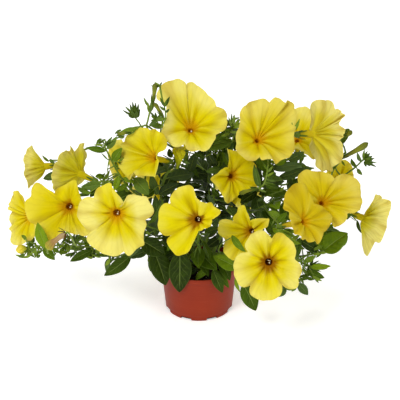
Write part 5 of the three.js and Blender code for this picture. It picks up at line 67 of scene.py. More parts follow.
    ['corolla_back_right','shoot_back',[52.0,100.0,112.0],[0.451,0.782,0.431],30,6.0,[[0.698,34.4,13.0],[0.824,36.9,13.0],[0.949,38.5,13.0],[1.075,39.5,13.0],[1.201,39.9,13.0],[1.326,40.0,13.0],[1.452,39.9,13.0],[1.578,39.5,13.0],[1.703,38.5,13.0],[1.829,36.9,13.0],[1.955,34.4,13.0],[2.08,36.9,13.0],[2.206,38.5,13.0],[2.332,39.5,13.0],[2.457,39.9,13.0],[2.583,40.0,13.0],[2.709,39.9,13.0],[2.834,39.5,13.0],[2.96,38.5,13.0],[3.086,36.9,13.0],[3.211,34.4,13.0],[3.337,36.9,13.0],[3.463,38.5,13.0],[3.588,39.5,13.0],[3.714,39.9,13.0],[3.84,40.0,13.0],[3.965,39.9,13.0],[4.091,39.5,13.0],[4.217,38.5,13.0],[4.342,36.9,13.0],[4.468,34.4,13.0],[4.594,36.9,13.0],[4.719,38.5,13.0],[4.845,39.5,13.0],[4.971,39.9,13.0],[5.096,40.0,13.0],[5.222,39.9,13.0],[5.348,39.5,13.0],[5.473,38.5,13.0],[5.599,36.9,13.0],[5.725,34.4,13.0],[5.85,36.9,13.0],[5.976,38.5,13.0],[6.102,39.5,13.0],[6.227,39.9,13.0],[6.353,40.0,13.0],[6.479,39.9,13.0],[6.604,39.5,13.0],[6.73,38.5,13.0],[6.856,36.9,13.0]]],
    ['corolla_back_top','shoot_back',[-16.0,58.0,224.0],[0.05,0.721,0.691],30,6.0,[[0.436,28.4,13.0],[0.562,30.4,13.0],[0.688,31.8,13.0],[0.813,32.6,13.0],[0.939,32.9,13.0],[1.065,33.0,13.0],[1.19,32.9,13.0],[1.316,32.6,13.0],[1.442,31.8,13.0],[1.567,30.4,13.0],[1.693,28.4,13.0],[1.819,30.4,13.0],[1.944,31.8,13.0],[2.07,32.6,13.0],[2.196,32.9,13.0],[2.321,33.0,13.0],[2.447,32.9,13.0],[2.573,32.6,13.0],[2.698,31.8,13.0],[2.824,30.4,13.0],[2.95,28.4,13.0],[3.075,30.4,13.0],[3.201,31.8,13.0],[3.327,32.6,13.0],[3.452,32.9,13.0],[3.578,33.0,13.0],[3.704,32.9,13.0],[3.829,32.6,13.0],[3.955,31.8,13.0],[4.081,30.4,13.0],[4.206,28.4,13.0],[4.332,30.4,13.0],[4.458,31.8,13.0],[4.583,32.6,13.0],[4.709,32.9,13.0],[4.835,33.0,13.0],[4.96,32.9,13.0],[5.086,32.6,13.0],[5.212,31.8,13.0],[5.337,30.4,13.0],[5.463,28.4,13.0],[5.589,30.4,13.0],[5.714,31.8,13.0],[5.84,32.6,13.0],[5.966,32.9,13.0],[6.091,33.0,13.0],[6.217,32.9,13.0],[6.343,32.6,13.0],[6.468,31.8,13.0],[6.594,30.4,13.0]]],
]
# name, line of the stem, radius at its foot and tip
SHOOTS = [
    ['shoot_left_low',[[-12.0,-6.0,58.6],[-15.0,-7.5,74.6],[-36.2,-19.3,111.7],[-91.0,-40.1,115.5],[-139.0,-40.2,110.8],[-181.2,-34.5,109.8],[-216.0,-30.0,106.5]],[2.0,1.0]],
    ['shoot_front_left',[[-9.0,-14.0,58.6],[-11.2,-17.5,74.6],[-26.9,-31.7,117.9],[-60.1,-47.9,143.1],[-73.5,-53.8,151.9]],[1.9,1.1]],
    ['shoot_left_high',[[-14.0,3.0,58.6],[-17.5,3.8,74.6],[-37.5,5.2,121.0],[-66.7,-6.8,157.8],[-89.1,-27.4,190.5],[-102.2,-31.4,213.6],[-112.9,-27.6,235.5],[-118.2,-25.5,246.7]],[2.0,1.0]],
    ['shoot_middle',[[-6.0,6.0,58.6],[-7.5,7.5,74.6],[-30.0,12.0,111.6],[-48.9,2.8,157.6],[-44.9,-4.3,191.1],[-29.2,-10.1,220.4],[-22.8,-12.2,232.3]],[2.4,1.6]],
    ['shoot_front',[[0.0,-12.0,58.6],[0.0,-15.0,74.6],[-0.4,-32.3,113.6],[0.1,-56.0,141.0]],[1.9,1.2]],
    ['shoot_right_inner',[[6.0,8.0,58.6],[7.5,10.0,74.6],[13.7,15.4,108.6],[20.0,16.0,157.0],[20.3,5.6,206.2],[29.4,-4.0,237.4],[36.2,-8.3,252.7],[41.7,-10.7,264.2]],[2.1,1.0]],
    ['shoot_right_high',[[12.0,3.0,58.6],[15.0,3.8,74.6],[33.1,9.0,110.6],[73.0,12.0,160.7],[87.9,9.9,187.0],[95.7,7.1,206.5],[103.9,3.9,229.0]],[2.1,1.2]],
    ['shoot_right',[[13.0,-5.0,58.6],[16.2,-6.2,74.6],[39.6,-7.1,122.5],[101.5,-0.1,158.7],[140.6,4.0,171.4],[174.3,5.0,182.9],[197.6,5.4,198.7],[209.6,4.4,211.6],[214.4,3.9,217.8]],[2.1,1.0]],
    ['shoot_right_low',[[8.0,-13.0,58.6],[10.0,-16.2,74.6],[28.7,-30.8,96.1],[80.2,-56.2,103.3],[130.3,-56.4,105.9],[158.3,-51.9,111.0],[169.8,-49.5,114.0]],[2.0,1.1]],
    ['shoot_back_left',[[-5.0,14.0,58.6],[-6.2,17.5,74.6],[-15.2,32.8,101.3],[-34.3,60.5,123.5]],[2.0,1.4]],
    ['shoot_back',[[6.0,15.0,58.6],[7.5,18.8,74.6],[13.1,36.2,124.0],[13.9,43.8,152.7],[12.3,46.6,176.8]],[2.0,1.3]],
]
# flower, shoot, line of its stalk from the calyx to the stem
STALKS = [
    ['corolla_left_front','shoot_left_low',[[-158.6,-29.1,165.3],[-159.1,-30.4,146.5],[-160.8,-32.5,130.6],[-164.3,-37.1,110.2]]],
    ['corolla_left_edge','shoot_left_low',[[-192.1,-8.9,143.1],[-190.6,-12.3,138.3],[-187.0,-22.0,125.3],[-184.1,-34.1,109.6]]],
    ['corolla_front_left','shoot_front_left',[[-100.1,-57.1,176.5],[-92.8,-55.5,170.3],[-85.2,-54.4,163.3],[-73.5,-53.8,151.9]]],
    ['corolla_left_side','shoot_left_high',[[-182.7,23.3,199.2],[-161.4,30.9,211.5],[-138.9,20.7,225.1],[-115.3,-26.6,240.7]]],
    ['corolla_left_back','shoot_left_high',[[-130.9,-17.9,193.6],[-122.9,-20.4,195.1],[-107.9,-25.7,198.2],[-95.3,-30.6,200.9]]],
    ['corolla_upper_left_behind','shoot_left_high',[[-68.9,21.2,202.6],[-69.4,17.7,196.6],[-70.5,8.0,183.6],[-71.1,-10.1,163.9]]],
    ['corolla_upper_left','shoot_middle',[[-35.3,-31.1,227.5],[-33.5,-25.4,226.6],[-30.6,-17.8,225.4],[-27.3,-10.7,223.9]]],
    ['corolla_top','shoot_middle',[[-10.7,-3.8,234.5],[-15.0,-6.3,232.4],[-18.3,-8.7,231.7],[-22.8,-12.2,232.3]]],
    ['corolla_front_middle','shoot_front',[[2.3,-64.8,173.9],[1.8,-60.8,162.2],[1.3,-58.5,154.0],[0.1,-56.0,141.0]]],
    ['corolla_middle','shoot_right_inner',[[26.6,3.4,189.2],[25.5,5.7,187.0],[24.0,7.8,184.9],[20.1,12.2,179.5]]],
    ['corolla_upper_right','shoot_right_high',[[62.2,3.2,227.8],[67.5,4.7,223.4],[77.8,6.4,215.0],[94.2,7.7,202.5]]],
    ['corolla_right_turned','shoot_right_high',[[121.5,-9.2,254.9],[117.5,-7.4,250.2],[112.5,-3.9,243.1],[103.9,3.9,229.0]]],
    ['corolla_right_behind','shoot_right_high',[[136.7,96.7,182.2],[130.9,76.7,158.7],[117.1,52.4,156.6],[85.1,10.6,181.3]]],
    ['corolla_front_right','shoot_right_low',[[81.5,-31.9,132.4],[82.2,-37.4,122.1],[81.2,-45.2,112.9],[79.4,-55.9,103.2]]],
    ['corolla_front_low','shoot_right_low',[[88.1,-86.1,121.6],[88.7,-68.7,111.3],[88.3,-62.8,107.5],[87.4,-57.5,103.8]]],
    ['corolla_right_front','shoot_right',[[101.2,-82.2,162.7],[98.3,-69.7,161.1],[91.0,-38.2,156.7],[85.0,-2.1,150.8]]],
    ['corolla_right','shoot_right',[[146.3,-30.7,156.4],[143.6,-22.7,158.9],[138.7,-10.3,163.3],[132.7,3.3,169.1]]],
    ['corolla_right_edge','shoot_right',[[197.9,7.7,136.7],[186.7,5.0,154.0],[178.1,4.1,170.3],[173.2,5.0,182.4]]],
    ['corolla_right_small','shoot_right',[[188.7,40.5,139.9],[185.3,33.0,136.0],[176.0,19.0,146.6],[167.9,5.0,179.0]]],
    ['corolla_back_left','shoot_back_left',[[-48.7,70.3,110.2],[-46.7,67.4,112.3],[-42.8,64.6,115.8],[-34.3,60.5,123.5]]],
    ['corolla_back_right','shoot_back',[[37.5,74.8,98.1],[32.3,66.3,99.8],[21.6,48.4,104.0],[11.6,31.0,108.9]]],
    ['corolla_back_top','shoot_back',[[-17.6,34.8,201.7],[-8.0,35.9,196.6],[-1.0,38.4,191.1],[12.3,46.6,176.8]]],
]
# own name or none, shoot, base, tip, normal, width, line of its stalk to the stem
LEAVES = [
    ['leaf_left_hanging','shoot_left_low',[-87.7,-51.1,104.1],[-122.9,-59.4,78.4],[0.01,-0.956,0.293],16.9,[[-86.7,-50.9,104.8],[-84.4,-49.8,109.5],[-85.9,-46.9,112.6],[-91.0,-40.1,115.5]]],
    ['','shoot_left_low',[-67.6,-39.2,104.1],[-87.9,-49.6,101.0],[0.331,-0.793,0.511],11.7,[[-66.6,-38.6,104.3],[-67.4,-36.3,109.2],[-68.7,-35.2,112.6],[-71.1,-34.0,116.1]]],
    ['leaf_pot_left','shoot_left_low',[-58.3,-43.3,106.4],[-43.2,-50.4,58.6],[0.307,-0.923,0.234],27.6,[[-58.6,-43.1,107.5],[-60.1,-38.2,112.5],[-61.3,-35.6,114.4],[-63.2,-30.9,116.2]]],
    ['leaf_pot_front','shoot_front_left',[-24.4,-48.6,110.8],[-25.3,-53.6,49.1],[0.159,-0.984,0.079],29.9,[[-24.4,-48.5,112.0],[-24.1,-44.8,111.9],[-24.2,-38.2,113.1],[-25.7,-30.9,116.0]]],
    ['leaf_dark_left','shoot_left_low',[-74.8,-42.3,122.0],[-44.0,-46.2,102.1],[0.081,-0.946,0.314],24.8,[[-75.8,-42.1,122.7],[-76.1,-39.0,119.3],[-76.4,-35.9,115.9]]],
    ['','shoot_right_low',[13.9,-36.2,76.8],[-5.2,-41.5,61.7],[-0.281,-0.739,0.613],9.6,[[14.8,-35.9,77.6],[15.5,-33.5,79.1],[16.5,-28.8,81.6],[16.3,-22.1,85.9]]],
    ['','shoot_right_low',[21.1,-42.9,77.7],[39.6,-47.6,53.1],[0.313,-0.86,0.402],10.0,[[20.3,-42.7,78.6],[19.1,-39.8,81.9],[19.3,-36.3,85.3],[21.4,-26.1,91.6]]],
    ['leaf_pot_right','shoot_right_low',[18.3,-49.1,81.4],[31.2,-54.1,49.4],[0.118,-0.973,0.197],14.3,[[17.9,-49.0,82.5],[20.6,-42.5,85.7],[22.3,-37.1,88.4],[23.5,-27.6,93.3]]],
    ['leaf_front_right','shoot_right_low',[50.6,-55.2,87.9],[18.1,-56.1,106.2],[0.245,-0.887,0.391],19.4,[[51.6,-55.1,87.3],[52.5,-50.7,90.1],[53.3,-47.8,94.1],[53.7,-45.0,101.0]]],
    ['leaf_low_right','shoot_right_low',[56.5,-73.8,75.0],[73.7,-81.7,39.2],[0.078,-0.965,0.251],21.8,[[56.0,-73.5,76.0],[58.7,-68.0,83.0],[62.3,-59.7,92.1],[66.1,-51.1,102.1]]],
    ['','shoot_right_low',[126.6,-77.7,78.8],[139.5,-83.3,64.4],[-0.148,-0.959,0.242],11.8,[[125.8,-77.3,79.7],[124.0,-73.7,83.2],[122.5,-67.3,90.0],[124.0,-56.8,105.4]]],
    ['','shoot_right_low',[139.3,-61.6,87.1],[161.9,-66.0,79.3],[-0.041,-0.914,0.404],10.3,[[138.2,-61.3,87.5],[131.8,-56.6,95.3],[131.5,-55.1,100.5],[137.0,-55.8,106.7]]],
    ['','shoot_right_low',[142.6,-63.1,94.0],[168.8,-67.7,98.1],[-0.231,-0.738,0.634],7.8,[[141.5,-62.9,93.8],[134.6,-65.1,102.0],[133.5,-63.0,107.2],[140.0,-55.4,107.1]]],
    ['','shoot_right_low',[135.2,-58.1,98.5],[150.0,-59.5,108.1],[-0.302,-0.895,0.328],7.7,[[134.2,-58.0,97.8],[134.0,-57.1,102.0],[133.8,-56.1,106.3]]],
    ['leaf_bright_right','shoot_right_low',[159.3,-54.3,112.5],[188.8,-55.1,139.1],[-0.401,-0.816,0.416],27.2,[[158.4,-54.2,111.7],[158.4,-53.1,111.3],[158.3,-51.9,111.0]]],
    ['leaf_dark_right','shoot_right_low',[152.9,-54.1,112.4],[125.2,-53.8,129.8],[0.168,-0.944,0.284],12.8,[[153.9,-54.1,111.8],[153.2,-53.6,110.7],[152.4,-53.1,109.7]]],
    ['leaf_mid_right','shoot_right',[109.9,-6.9,159.3],[119.3,-14.9,135.5],[0.009,-0.947,0.322],18.3,[[109.5,-6.5,160.4],[108.5,-3.0,160.9],[107.5,0.5,161.5]]],
    ['leaf_grey_right','shoot_right_high',[93.5,3.7,203.3],[133.6,-5.2,212.9],[-0.29,-0.862,0.416],13.0,[[92.3,3.9,203.0],[93.5,5.7,203.5],[94.7,7.5,203.9]]],
    ['','shoot_right_high',[114.3,-3.9,217.9],[133.7,-8.3,230.9],[-0.263,-0.962,0.074],11.8,[[113.3,-3.7,217.2],[109.5,-2.8,218.5],[106.9,-1.0,219.9],[102.1,4.7,223.9]]],
    ['leaf_upper_right','shoot_right_high',[101.8,3.2,187.8],[146.2,0.1,204.9],[-0.201,-0.913,0.355],11.7,[[100.7,3.3,187.3],[96.4,4.8,189.8],[93.5,6.3,191.1],[90.3,9.2,192.3]]],
    ['','shoot_right',[132.4,9.4,186.4],[119.5,4.4,171.3],[-0.102,-0.915,0.39],10.5,[[133.2,9.6,187.3],[131.7,10.0,181.5],[132.8,8.7,177.1],[138.3,3.8,170.6]]],
    ['','shoot_right_high',[79.2,12.2,172.0],[74.1,8.9,210.9],[-0.213,-0.971,-0.111],12.1,[[79.4,12.3,170.8],[79.7,12.0,171.2],[80.1,11.7,171.5]]],
    ['','shoot_right_high',[78.0,13.5,170.0],[51.5,7.2,162.0],[-0.161,-0.445,0.881],9.1,[[79.2,13.7,170.3],[78.9,12.8,169.7],[78.7,11.8,169.1]]],
    ['','shoot_right_high',[90.5,9.6,186.3],[106.6,5.9,167.7],[0.003,-0.981,0.196],10.5,[[89.7,9.7,187.2],[88.8,9.8,187.1],[87.9,9.9,187.0]]],
    ['leaf_centre_right','shoot_right_high',[74.0,8.1,162.3],[84.5,9.7,122.8],[0.238,-0.971,0.022],21.4,[[73.7,8.0,163.5],[74.4,10.0,163.6],[75.2,12.0,163.7]]],
    ['','shoot_right_high',[76.2,3.3,169.0],[53.8,-5.3,157.1],[-0.019,-0.794,0.608],13.3,[[77.2,3.7,169.5],[77.9,7.8,169.3],[78.7,11.8,169.1]]],
    ['','shoot_right_inner',[22.1,2.4,205.3],[9.0,-4.8,232.2],[0.031,-0.97,-0.242],12.0,[[22.6,2.6,204.2],[21.5,4.1,205.2],[20.3,5.6,206.2]]],
    ['','shoot_right_inner',[23.5,8.0,202.7],[33.6,5.0,228.0],[-0.541,-0.833,0.117],12.4,[[23.1,8.2,201.6],[21.5,7.4,201.8],[20.0,6.7,202.0]]],
    ['','shoot_right_inner',[27.2,-2.0,205.8],[9.1,-6.6,202.2],[0.146,-0.897,0.416],9.0,[[28.3,-1.7,206.0],[26.0,1.3,212.6],[23.4,2.7,213.0],[20.7,4.9,209.3]]],
    ['leaf_bright_left','shoot_left_low',[-187.2,-95.0,139.1],[-197.3,-90.0,172.0],[-0.152,-0.983,0.102],15.3,[[-187.2,-95.0,139.1],[-186.7,-95.0,136.3],[-188.7,-82.0,124.4],[-194.8,-56.0,112.0],[-199.2,-32.5,107.6]]],
    ['','shoot_left_low',[-203.9,-32.9,105.1],[-188.5,-38.4,90.2],[0.185,-0.844,0.504],11.8,[[-204.7,-32.6,105.9],[-204.3,-32.1,106.8],[-203.9,-31.6,107.8]]],
    ['','shoot_left_low',[-138.4,-44.9,108.8],[-167.3,-48.6,93.8],[-0.058,-0.936,0.348],11.7,[[-137.4,-44.7,109.3],[-138.2,-42.5,110.0],[-139.0,-40.2,110.8]]],
    ['','shoot_left_low',[-146.7,-39.2,110.0],[-136.7,-32.4,89.8],[0.65,-0.757,0.069],11.9,[[-147.3,-39.5,111.1],[-147.1,-39.5,110.7],[-146.9,-39.5,110.4]]],
    ['','shoot_left_low',[-136.1,-45.5,101.7],[-103.0,-52.9,105.1],[-0.232,-0.742,0.629],5.3,[[-137.3,-45.2,101.6],[-138.4,-43.9,101.5],[-138.4,-42.6,103.2],[-136.6,-40.3,110.9]]],
    ['','shoot_left_high',[-123.1,-39.3,200.4],[-147.9,-43.1,198.0],[0.108,-0.933,0.344],11.4,[[-121.9,-39.1,200.5],[-114.6,-36.7,208.0],[-107.0,-33.4,211.4],[-101.0,-31.4,211.4]]],
    ['','shoot_left_high',[-124.7,-36.9,197.9],[-137.4,-42.4,183.8],[-0.153,-0.867,0.475],11.7,[[-123.9,-36.6,198.8],[-117.9,-32.3,201.0],[-110.8,-30.1,204.7],[-101.0,-31.4,211.4]]],
    ['','shoot_left_high',[-116.1,-27.4,240.4],[-140.5,-30.2,246.3],[0.217,-0.845,0.489],8.2,[[-115.0,-27.2,240.1],[-115.2,-26.9,240.4],[-115.4,-26.6,240.8]]],
    ['','shoot_left_high',[-114.6,-28.4,243.5],[-101.5,-28.5,260.4],[-0.035,-0.999,0.023],7.5,[[-115.4,-28.4,242.6],[-115.8,-27.3,242.7],[-116.3,-26.2,242.7]]],
    ['','shoot_left_high',[-107.6,-30.3,228.0],[-95.2,-35.7,248.0],[-0.513,-0.854,0.084],11.7,[[-108.2,-30.0,227.0],[-108.4,-29.8,226.8],[-108.6,-29.6,226.6]]],
    ['','shoot_left_high',[-100.7,-31.9,208.1],[-107.0,-40.3,191.2],[0.123,-0.907,0.402],8.8,[[-100.4,-31.4,209.1],[-100.1,-31.4,209.2],[-99.8,-31.3,209.2]]],
    ['leaf_upper_left','shoot_left_high',[-81.8,-33.4,206.0],[-63.0,-41.5,186.2],[0.192,-0.83,0.523],17.9,[[-82.6,-33.0,206.8],[-84.2,-31.9,206.5],[-88.0,-30.7,205.0],[-95.1,-30.6,200.5]]],
    ['','shoot_middle',[-58.4,-7.2,176.8],[-71.0,-16.6,171.3],[0.231,-0.704,0.671],10.5,[[-57.5,-6.5,177.2],[-53.6,-10.5,183.7],[-49.3,-7.3,184.1],[-48.9,-1.2,176.6]]],
    ['','shoot_middle',[-54.8,-3.0,167.6],[-62.0,-2.9,197.7],[-0.107,-0.994,-0.019],12.1,[[-54.5,-3.1,166.5],[-52.1,-1.3,167.7],[-49.8,0.5,168.9]]],
    ['','shoot_middle',[-51.8,-10.4,172.6],[-25.6,-15.8,190.9],[-0.356,-0.902,0.243],14.3,[[-52.8,-10.2,171.9],[-52.0,-9.6,172.9],[-49.4,-6.7,173.5],[-49.3,-0.7,174.1]]],
    ['','shoot_left_high',[-77.3,-16.9,265.7],[-97.2,-18.8,263.2],[0.043,-0.925,0.376],7.5,[[-76.1,-16.8,265.9],[-81.5,-14.6,263.4],[-93.5,-15.5,258.2],[-118.2,-25.5,246.7]]],
    ['','shoot_middle',[-43.9,-7.9,264.9],[-62.6,-8.3,268.4],[0.093,-0.911,0.401],7.6,[[-42.7,-7.9,264.6],[-36.9,-9.8,257.2],[-30.0,-11.2,246.5],[-22.8,-12.2,232.3]]],
    ['leaf_centre_left','shoot_left_high',[-55.5,-2.5,135.1],[-57.2,-6.8,169.5],[0.064,-0.99,-0.122],11.9,[[-55.4,-2.4,133.9],[-53.3,-0.7,136.6],[-51.1,0.9,139.3]]],
    ['leaf_centre','shoot_middle',[-35.0,-6.9,176.7],[-16.9,-14.9,145.8],[0.219,-0.906,0.363],19.7,[[-35.6,-6.6,177.7],[-41.6,-1.6,179.5],[-44.1,-0.9,180.3],[-47.8,-2.2,181.5]]],
    ['','shoot_left_high',[-64.1,-12.3,144.5],[-76.2,-21.2,162.1],[0.55,-0.834,-0.043],13.1,[[-63.4,-11.9,143.6],[-65.1,-7.6,143.3],[-64.9,-4.5,144.8],[-60.8,-3.5,150.5]]],
    ['','shoot_right_inner',[19.2,20.0,146.8],[20.7,49.7,146.2],[0.619,-0.013,0.786],14.0,[[19.2,20.0,146.8],[19.1,16.7,146.5]]],
    ['','shoot_front_left',[-10.2,-25.1,83.9],[3.1,-47.3,87.4],[-0.187,0.045,0.981],11.6,[[-10.2,-25.1,83.9],[-13.4,-19.8,82.2]]],
    ['','shoot_right_high',[19.6,10.0,82.5],[30.5,34.5,90.3],[0.054,-0.327,0.944],13.5,[[19.6,10.0,82.5],[17.2,4.5,79.9]]],
    ['','shoot_back_left',[-2.7,26.6,77.1],[20.1,63.7,65.0],[0.413,0.044,0.91],21.9,[[-2.7,26.6,77.1],[-7.2,19.2,78.5]]],
    ['','shoot_back',[19.3,33.4,129.0],[44.7,16.6,132.3],[0.227,0.508,0.831],14.7,[[19.3,33.4,129.0],[13.4,37.3,127.4]]],
    ['','shoot_back',[17.9,31.7,118.0],[44.4,24.0,126.5],[-0.299,0.029,0.954],15.5,[[17.9,31.7,118.0],[12.3,33.3,115.4]]],
    ['','shoot_left_low',[-56.9,-23.5,117.0],[-71.1,19.6,121.8],[0.114,-0.073,0.991],22.7,[[-56.9,-23.5,117.0],[-55.5,-27.7,116.0]]],
    ['','shoot_back',[10.2,53.4,171.4],[-4.5,95.1,179.8],[-0.123,-0.237,0.964],20.9,[[10.2,53.4,171.4],[12.9,45.8,168.9]]],
    ['','shoot_back_left',[-6.7,29.6,92.6],[16.8,46.9,90.5],[-0.075,0.221,0.972],16.1,[[-6.7,29.6,92.6],[-11.2,26.3,92.3]]],
    ['','shoot_back',[12.1,37.4,165.0],[8.2,11.6,166.1],[0.346,-0.013,0.938],13.7,[[12.1,37.4,165.0],[13.3,45.4,163.7]]],
    ['','shoot_right',[84.2,-6.6,146.8],[97.6,-31.9,128.1],[0.367,-0.419,0.83],16.3,[[84.2,-6.6,146.8],[81.9,-2.4,149.3]]],
    ['','shoot_right',[96.1,-4.6,157.6],[100.3,-44.3,169.1],[-0.266,0.243,0.933],19.0,[[96.1,-4.6,157.6],[95.7,-0.8,155.9]]],
    ['','shoot_front',[3.5,-20.7,102.4],[20.8,-5.0,122.7],[-0.829,0.357,0.431],18.1,[[3.5,-20.7,102.4],[-0.2,-24.0,97.2]]],
    ['','shoot_front_left',[-18.5,-22.1,76.8],[-43.5,-37.3,75.5],[0.067,-0.196,0.978],13.6,[[-18.5,-22.1,76.8],[-11.7,-18.0,76.3]]],
    ['','shoot_front',[3.3,-53.1,127.7],[14.3,-66.1,106.1],[0.725,-0.363,0.585],12.8,[[3.3,-53.1,127.7],[-0.0,-49.0,133.5]]],
    ['','shoot_back',[14.0,45.9,142.4],[14.4,87.3,126.7],[-0.133,0.352,0.926],18.3,[[14.0,45.9,142.4],[14.0,41.8,143.4]]],
    ['','shoot_right_inner',[25.3,12.7,152.5],[45.7,-0.8,152.2],[0.062,0.071,0.996],12.2,[[25.3,12.7,152.5],[19.6,16.4,151.8]]],
    ['','shoot_middle',[-47.3,8.8,164.0],[-34.5,49.7,179.8],[0.261,-0.418,0.87],23.1,[[-47.3,8.8,164.0],[-49.4,2.2,160.6]]],
    ['','shoot_back',[12.0,39.0,143.0],[-7.1,18.5,157.0],[0.241,0.383,0.892],15.3,[[12.0,39.0,143.0],[14.0,41.2,141.1]]],
    ['','shoot_back',[8.9,46.4,161.3],[-16.1,53.3,159.7],[-0.024,0.145,0.989],12.5,[[8.9,46.4,161.3],[13.5,45.1,161.0]]],
    ['','shoot_front_left',[-25.8,-27.3,96.4],[-47.3,-33.8,84.3],[-0.378,-0.344,0.859],12.5,[[-25.8,-27.3,96.4],[-18.4,-25.1,99.6]]],
    ['','shoot_front',[1.8,-27.6,97.1],[22.4,-64.5,91.4],[-0.48,-0.391,0.785],23.3,[[1.8,-27.6,97.1],[-0.2,-24.0,97.2]]],
    ['','shoot_back',[11.8,23.6,91.5],[33.3,21.2,106.0],[-0.558,0.009,0.83],13.3,[[11.8,23.6,91.5],[9.2,23.9,89.4]]],
    ['','shoot_right',[108.9,6.1,160.0],[117.2,39.6,147.0],[-0.29,0.407,0.866],19.2,[[108.9,6.1,160.0],[107.5,0.5,161.5]]],
    ['','shoot_right_high',[92.2,1.3,200.2],[87.3,-38.6,200.8],[0.123,-0.0,0.992],17.7,[[92.2,1.3,200.2],[93.0,8.2,199.3]]],
    ['','shoot_middle',[-39.1,-11.9,209.4],[-57.1,-40.7,213.1],[0.157,0.027,0.987],15.7,[[-39.1,-11.9,209.4],[-36.5,-7.7,208.3]]],
    ['','shoot_left_high',[-74.7,-9.2,166.9],[-91.5,8.0,170.9],[0.331,0.102,0.938],12.5,[[-74.7,-9.2,166.9],[-72.6,-11.4,166.0]]],
    ['','shoot_middle',[-35.0,-15.6,215.3],[-40.1,-44.4,221.9],[0.236,0.176,0.956],15.0,[[-35.0,-15.6,215.3],[-33.7,-8.6,212.8]]],
    ['','shoot_right',[100.1,-0.1,153.2],[103.1,1.8,119.2],[-0.817,-0.568,-0.101],13.6,[[100.1,-0.1,153.2],[99.7,-0.3,157.9]]],
    ['','shoot_right_inner',[10.7,13.9,77.4],[29.3,37.3,64.3],[0.672,-0.124,0.73],16.5,[[10.7,13.9,77.4],[8.2,10.7,78.7]]],
    ['','shoot_right_inner',[36.5,-4.3,249.5],[55.0,18.4,253.4],[-0.099,-0.093,0.991],12.8,[[36.5,-4.3,249.5],[34.1,-7.2,248.5]]],
    ['','shoot_back',[10.4,51.6,156.5],[-7.0,88.1,156.4],[-0.244,-0.113,0.963],22.7,[[10.4,51.6,156.5],[13.8,44.3,155.5]]],
    ['','shoot_right_low',[27.4,-33.0,88.1],[40.7,-51.5,66.9],[0.044,-0.74,0.671],15.0,[[27.4,-33.0,88.1],[23.5,-27.6,93.3]]],
    ['','shoot_back',[16.8,43.9,136.4],[37.3,67.5,115.9],[0.37,0.405,0.836],15.2,[[16.8,43.9,136.4],[13.9,40.6,138.7]]],
    ['','shoot_middle',[-44.1,13.7,139.1],[-52.1,38.7,143.4],[-0.131,-0.209,0.969],12.3,[[-44.1,13.7,139.1],[-42.2,7.6,137.2]]],
    ['','shoot_left_low',[-155.3,-33.9,109.0],[-160.4,2.4,95.0],[0.242,0.379,0.893],18.4,[[-155.3,-33.9,109.0],[-154.6,-38.6,110.2]]],
    ['','shoot_left_low',[-38.1,-16.8,109.8],[-60.1,10.8,82.7],[-0.359,0.492,0.793],18.7,[[-38.1,-16.8,109.8],[-36.2,-19.3,111.7]]],
    ['','shoot_front',[-3.3,-17.2,65.7],[-17.3,-37.0,65.0],[0.104,-0.108,0.989],13.3,[[-3.3,-17.2,65.7],[0.0,-12.6,65.2]]],
    ['','shoot_front',[-4.8,-28.8,97.4],[-31.5,-50.4,79.3],[-0.662,0.216,0.718],16.4,[[-4.8,-28.8,97.4],[-0.3,-25.1,99.7]]],
    ['','shoot_back',[12.3,48.2,135.1],[5.5,78.9,116.5],[0.389,0.539,0.747],18.2,[[12.3,48.2,135.1],[13.9,40.6,138.7]]],
    ['','shoot_back',[10.7,51.2,147.1],[-5.0,91.7,137.7],[-0.238,0.132,0.962],18.8,[[10.7,51.2,147.1],[14.0,42.9,148.0]]],
    ['','shoot_right',[47.9,-9.2,138.8],[38.0,-20.2,160.9],[0.371,0.755,0.54],14.9,[[47.9,-9.2,138.8],[50.7,-6.1,131.5]]],
    ['','shoot_left_low',[-52.7,-30.6,119.3],[-50.8,-50.8,134.0],[0.025,0.588,0.808],12.9,[[-52.7,-30.6,119.3],[-53.0,-26.6,115.8]]],
    ['','shoot_middle',[-39.8,0.2,190.8],[-6.0,29.6,183.6],[0.475,-0.346,0.809],21.8,[[-39.8,0.2,190.8],[-44.9,-4.3,191.1]]],
    ['','shoot_left_low',[-167.7,-33.4,108.6],[-173.4,-2.4,90.4],[0.071,0.517,0.853],19.2,[[-167.7,-33.4,108.6],[-167.1,-36.7,110.1]]],
    ['','shoot_left_low',[-81.4,-32.1,119.4],[-113.0,-8.4,135.7],[0.341,-0.179,0.923],25.0,[[-81.4,-32.1,119.4],[-76.4,-35.9,115.9]]],
    ['','shoot_back_left',[-27.8,62.4,115.9],[-17.5,88.6,99.8],[0.068,0.503,0.861],13.2,[[-27.8,62.4,115.9],[-30.6,55.1,119.4]]],
    ['','shoot_back',[18.4,37.6,137.1],[49.9,22.0,139.4],[-0.098,-0.05,0.994],16.1,[[18.4,37.6,137.1],[13.9,39.9,136.1]]],
    ['','shoot_front',[7.2,-42.2,131.7],[30.6,-31.4,134.6],[-0.067,-0.115,0.991],13.7,[[7.2,-42.2,131.7],[-0.1,-45.5,129.9]]],
    ['','shoot_left_low',[-196.5,-26.8,110.6],[-195.6,6.6,118.7],[0.066,-0.235,0.97],19.5,[[-196.5,-26.8,110.6],[-196.6,-32.5,108.5]]],
    ['','shoot_back',[16.0,45.6,178.8],[45.7,38.0,190.8],[-0.429,-0.557,0.711],18.8,[[16.0,45.6,178.8],[12.3,46.6,176.8]]],
    ['','shoot_right_low',[19.5,-18.5,81.9],[48.5,-11.8,78.6],[0.206,-0.451,0.868],13.0,[[19.5,-18.5,81.9],[13.8,-19.9,81.9]]],
    ['','shoot_middle',[-25.5,11.5,92.1],[-53.3,15.2,87.5],[-0.12,0.276,0.954],14.9,[[-25.5,11.5,92.1],[-18.4,10.6,92.4]]],
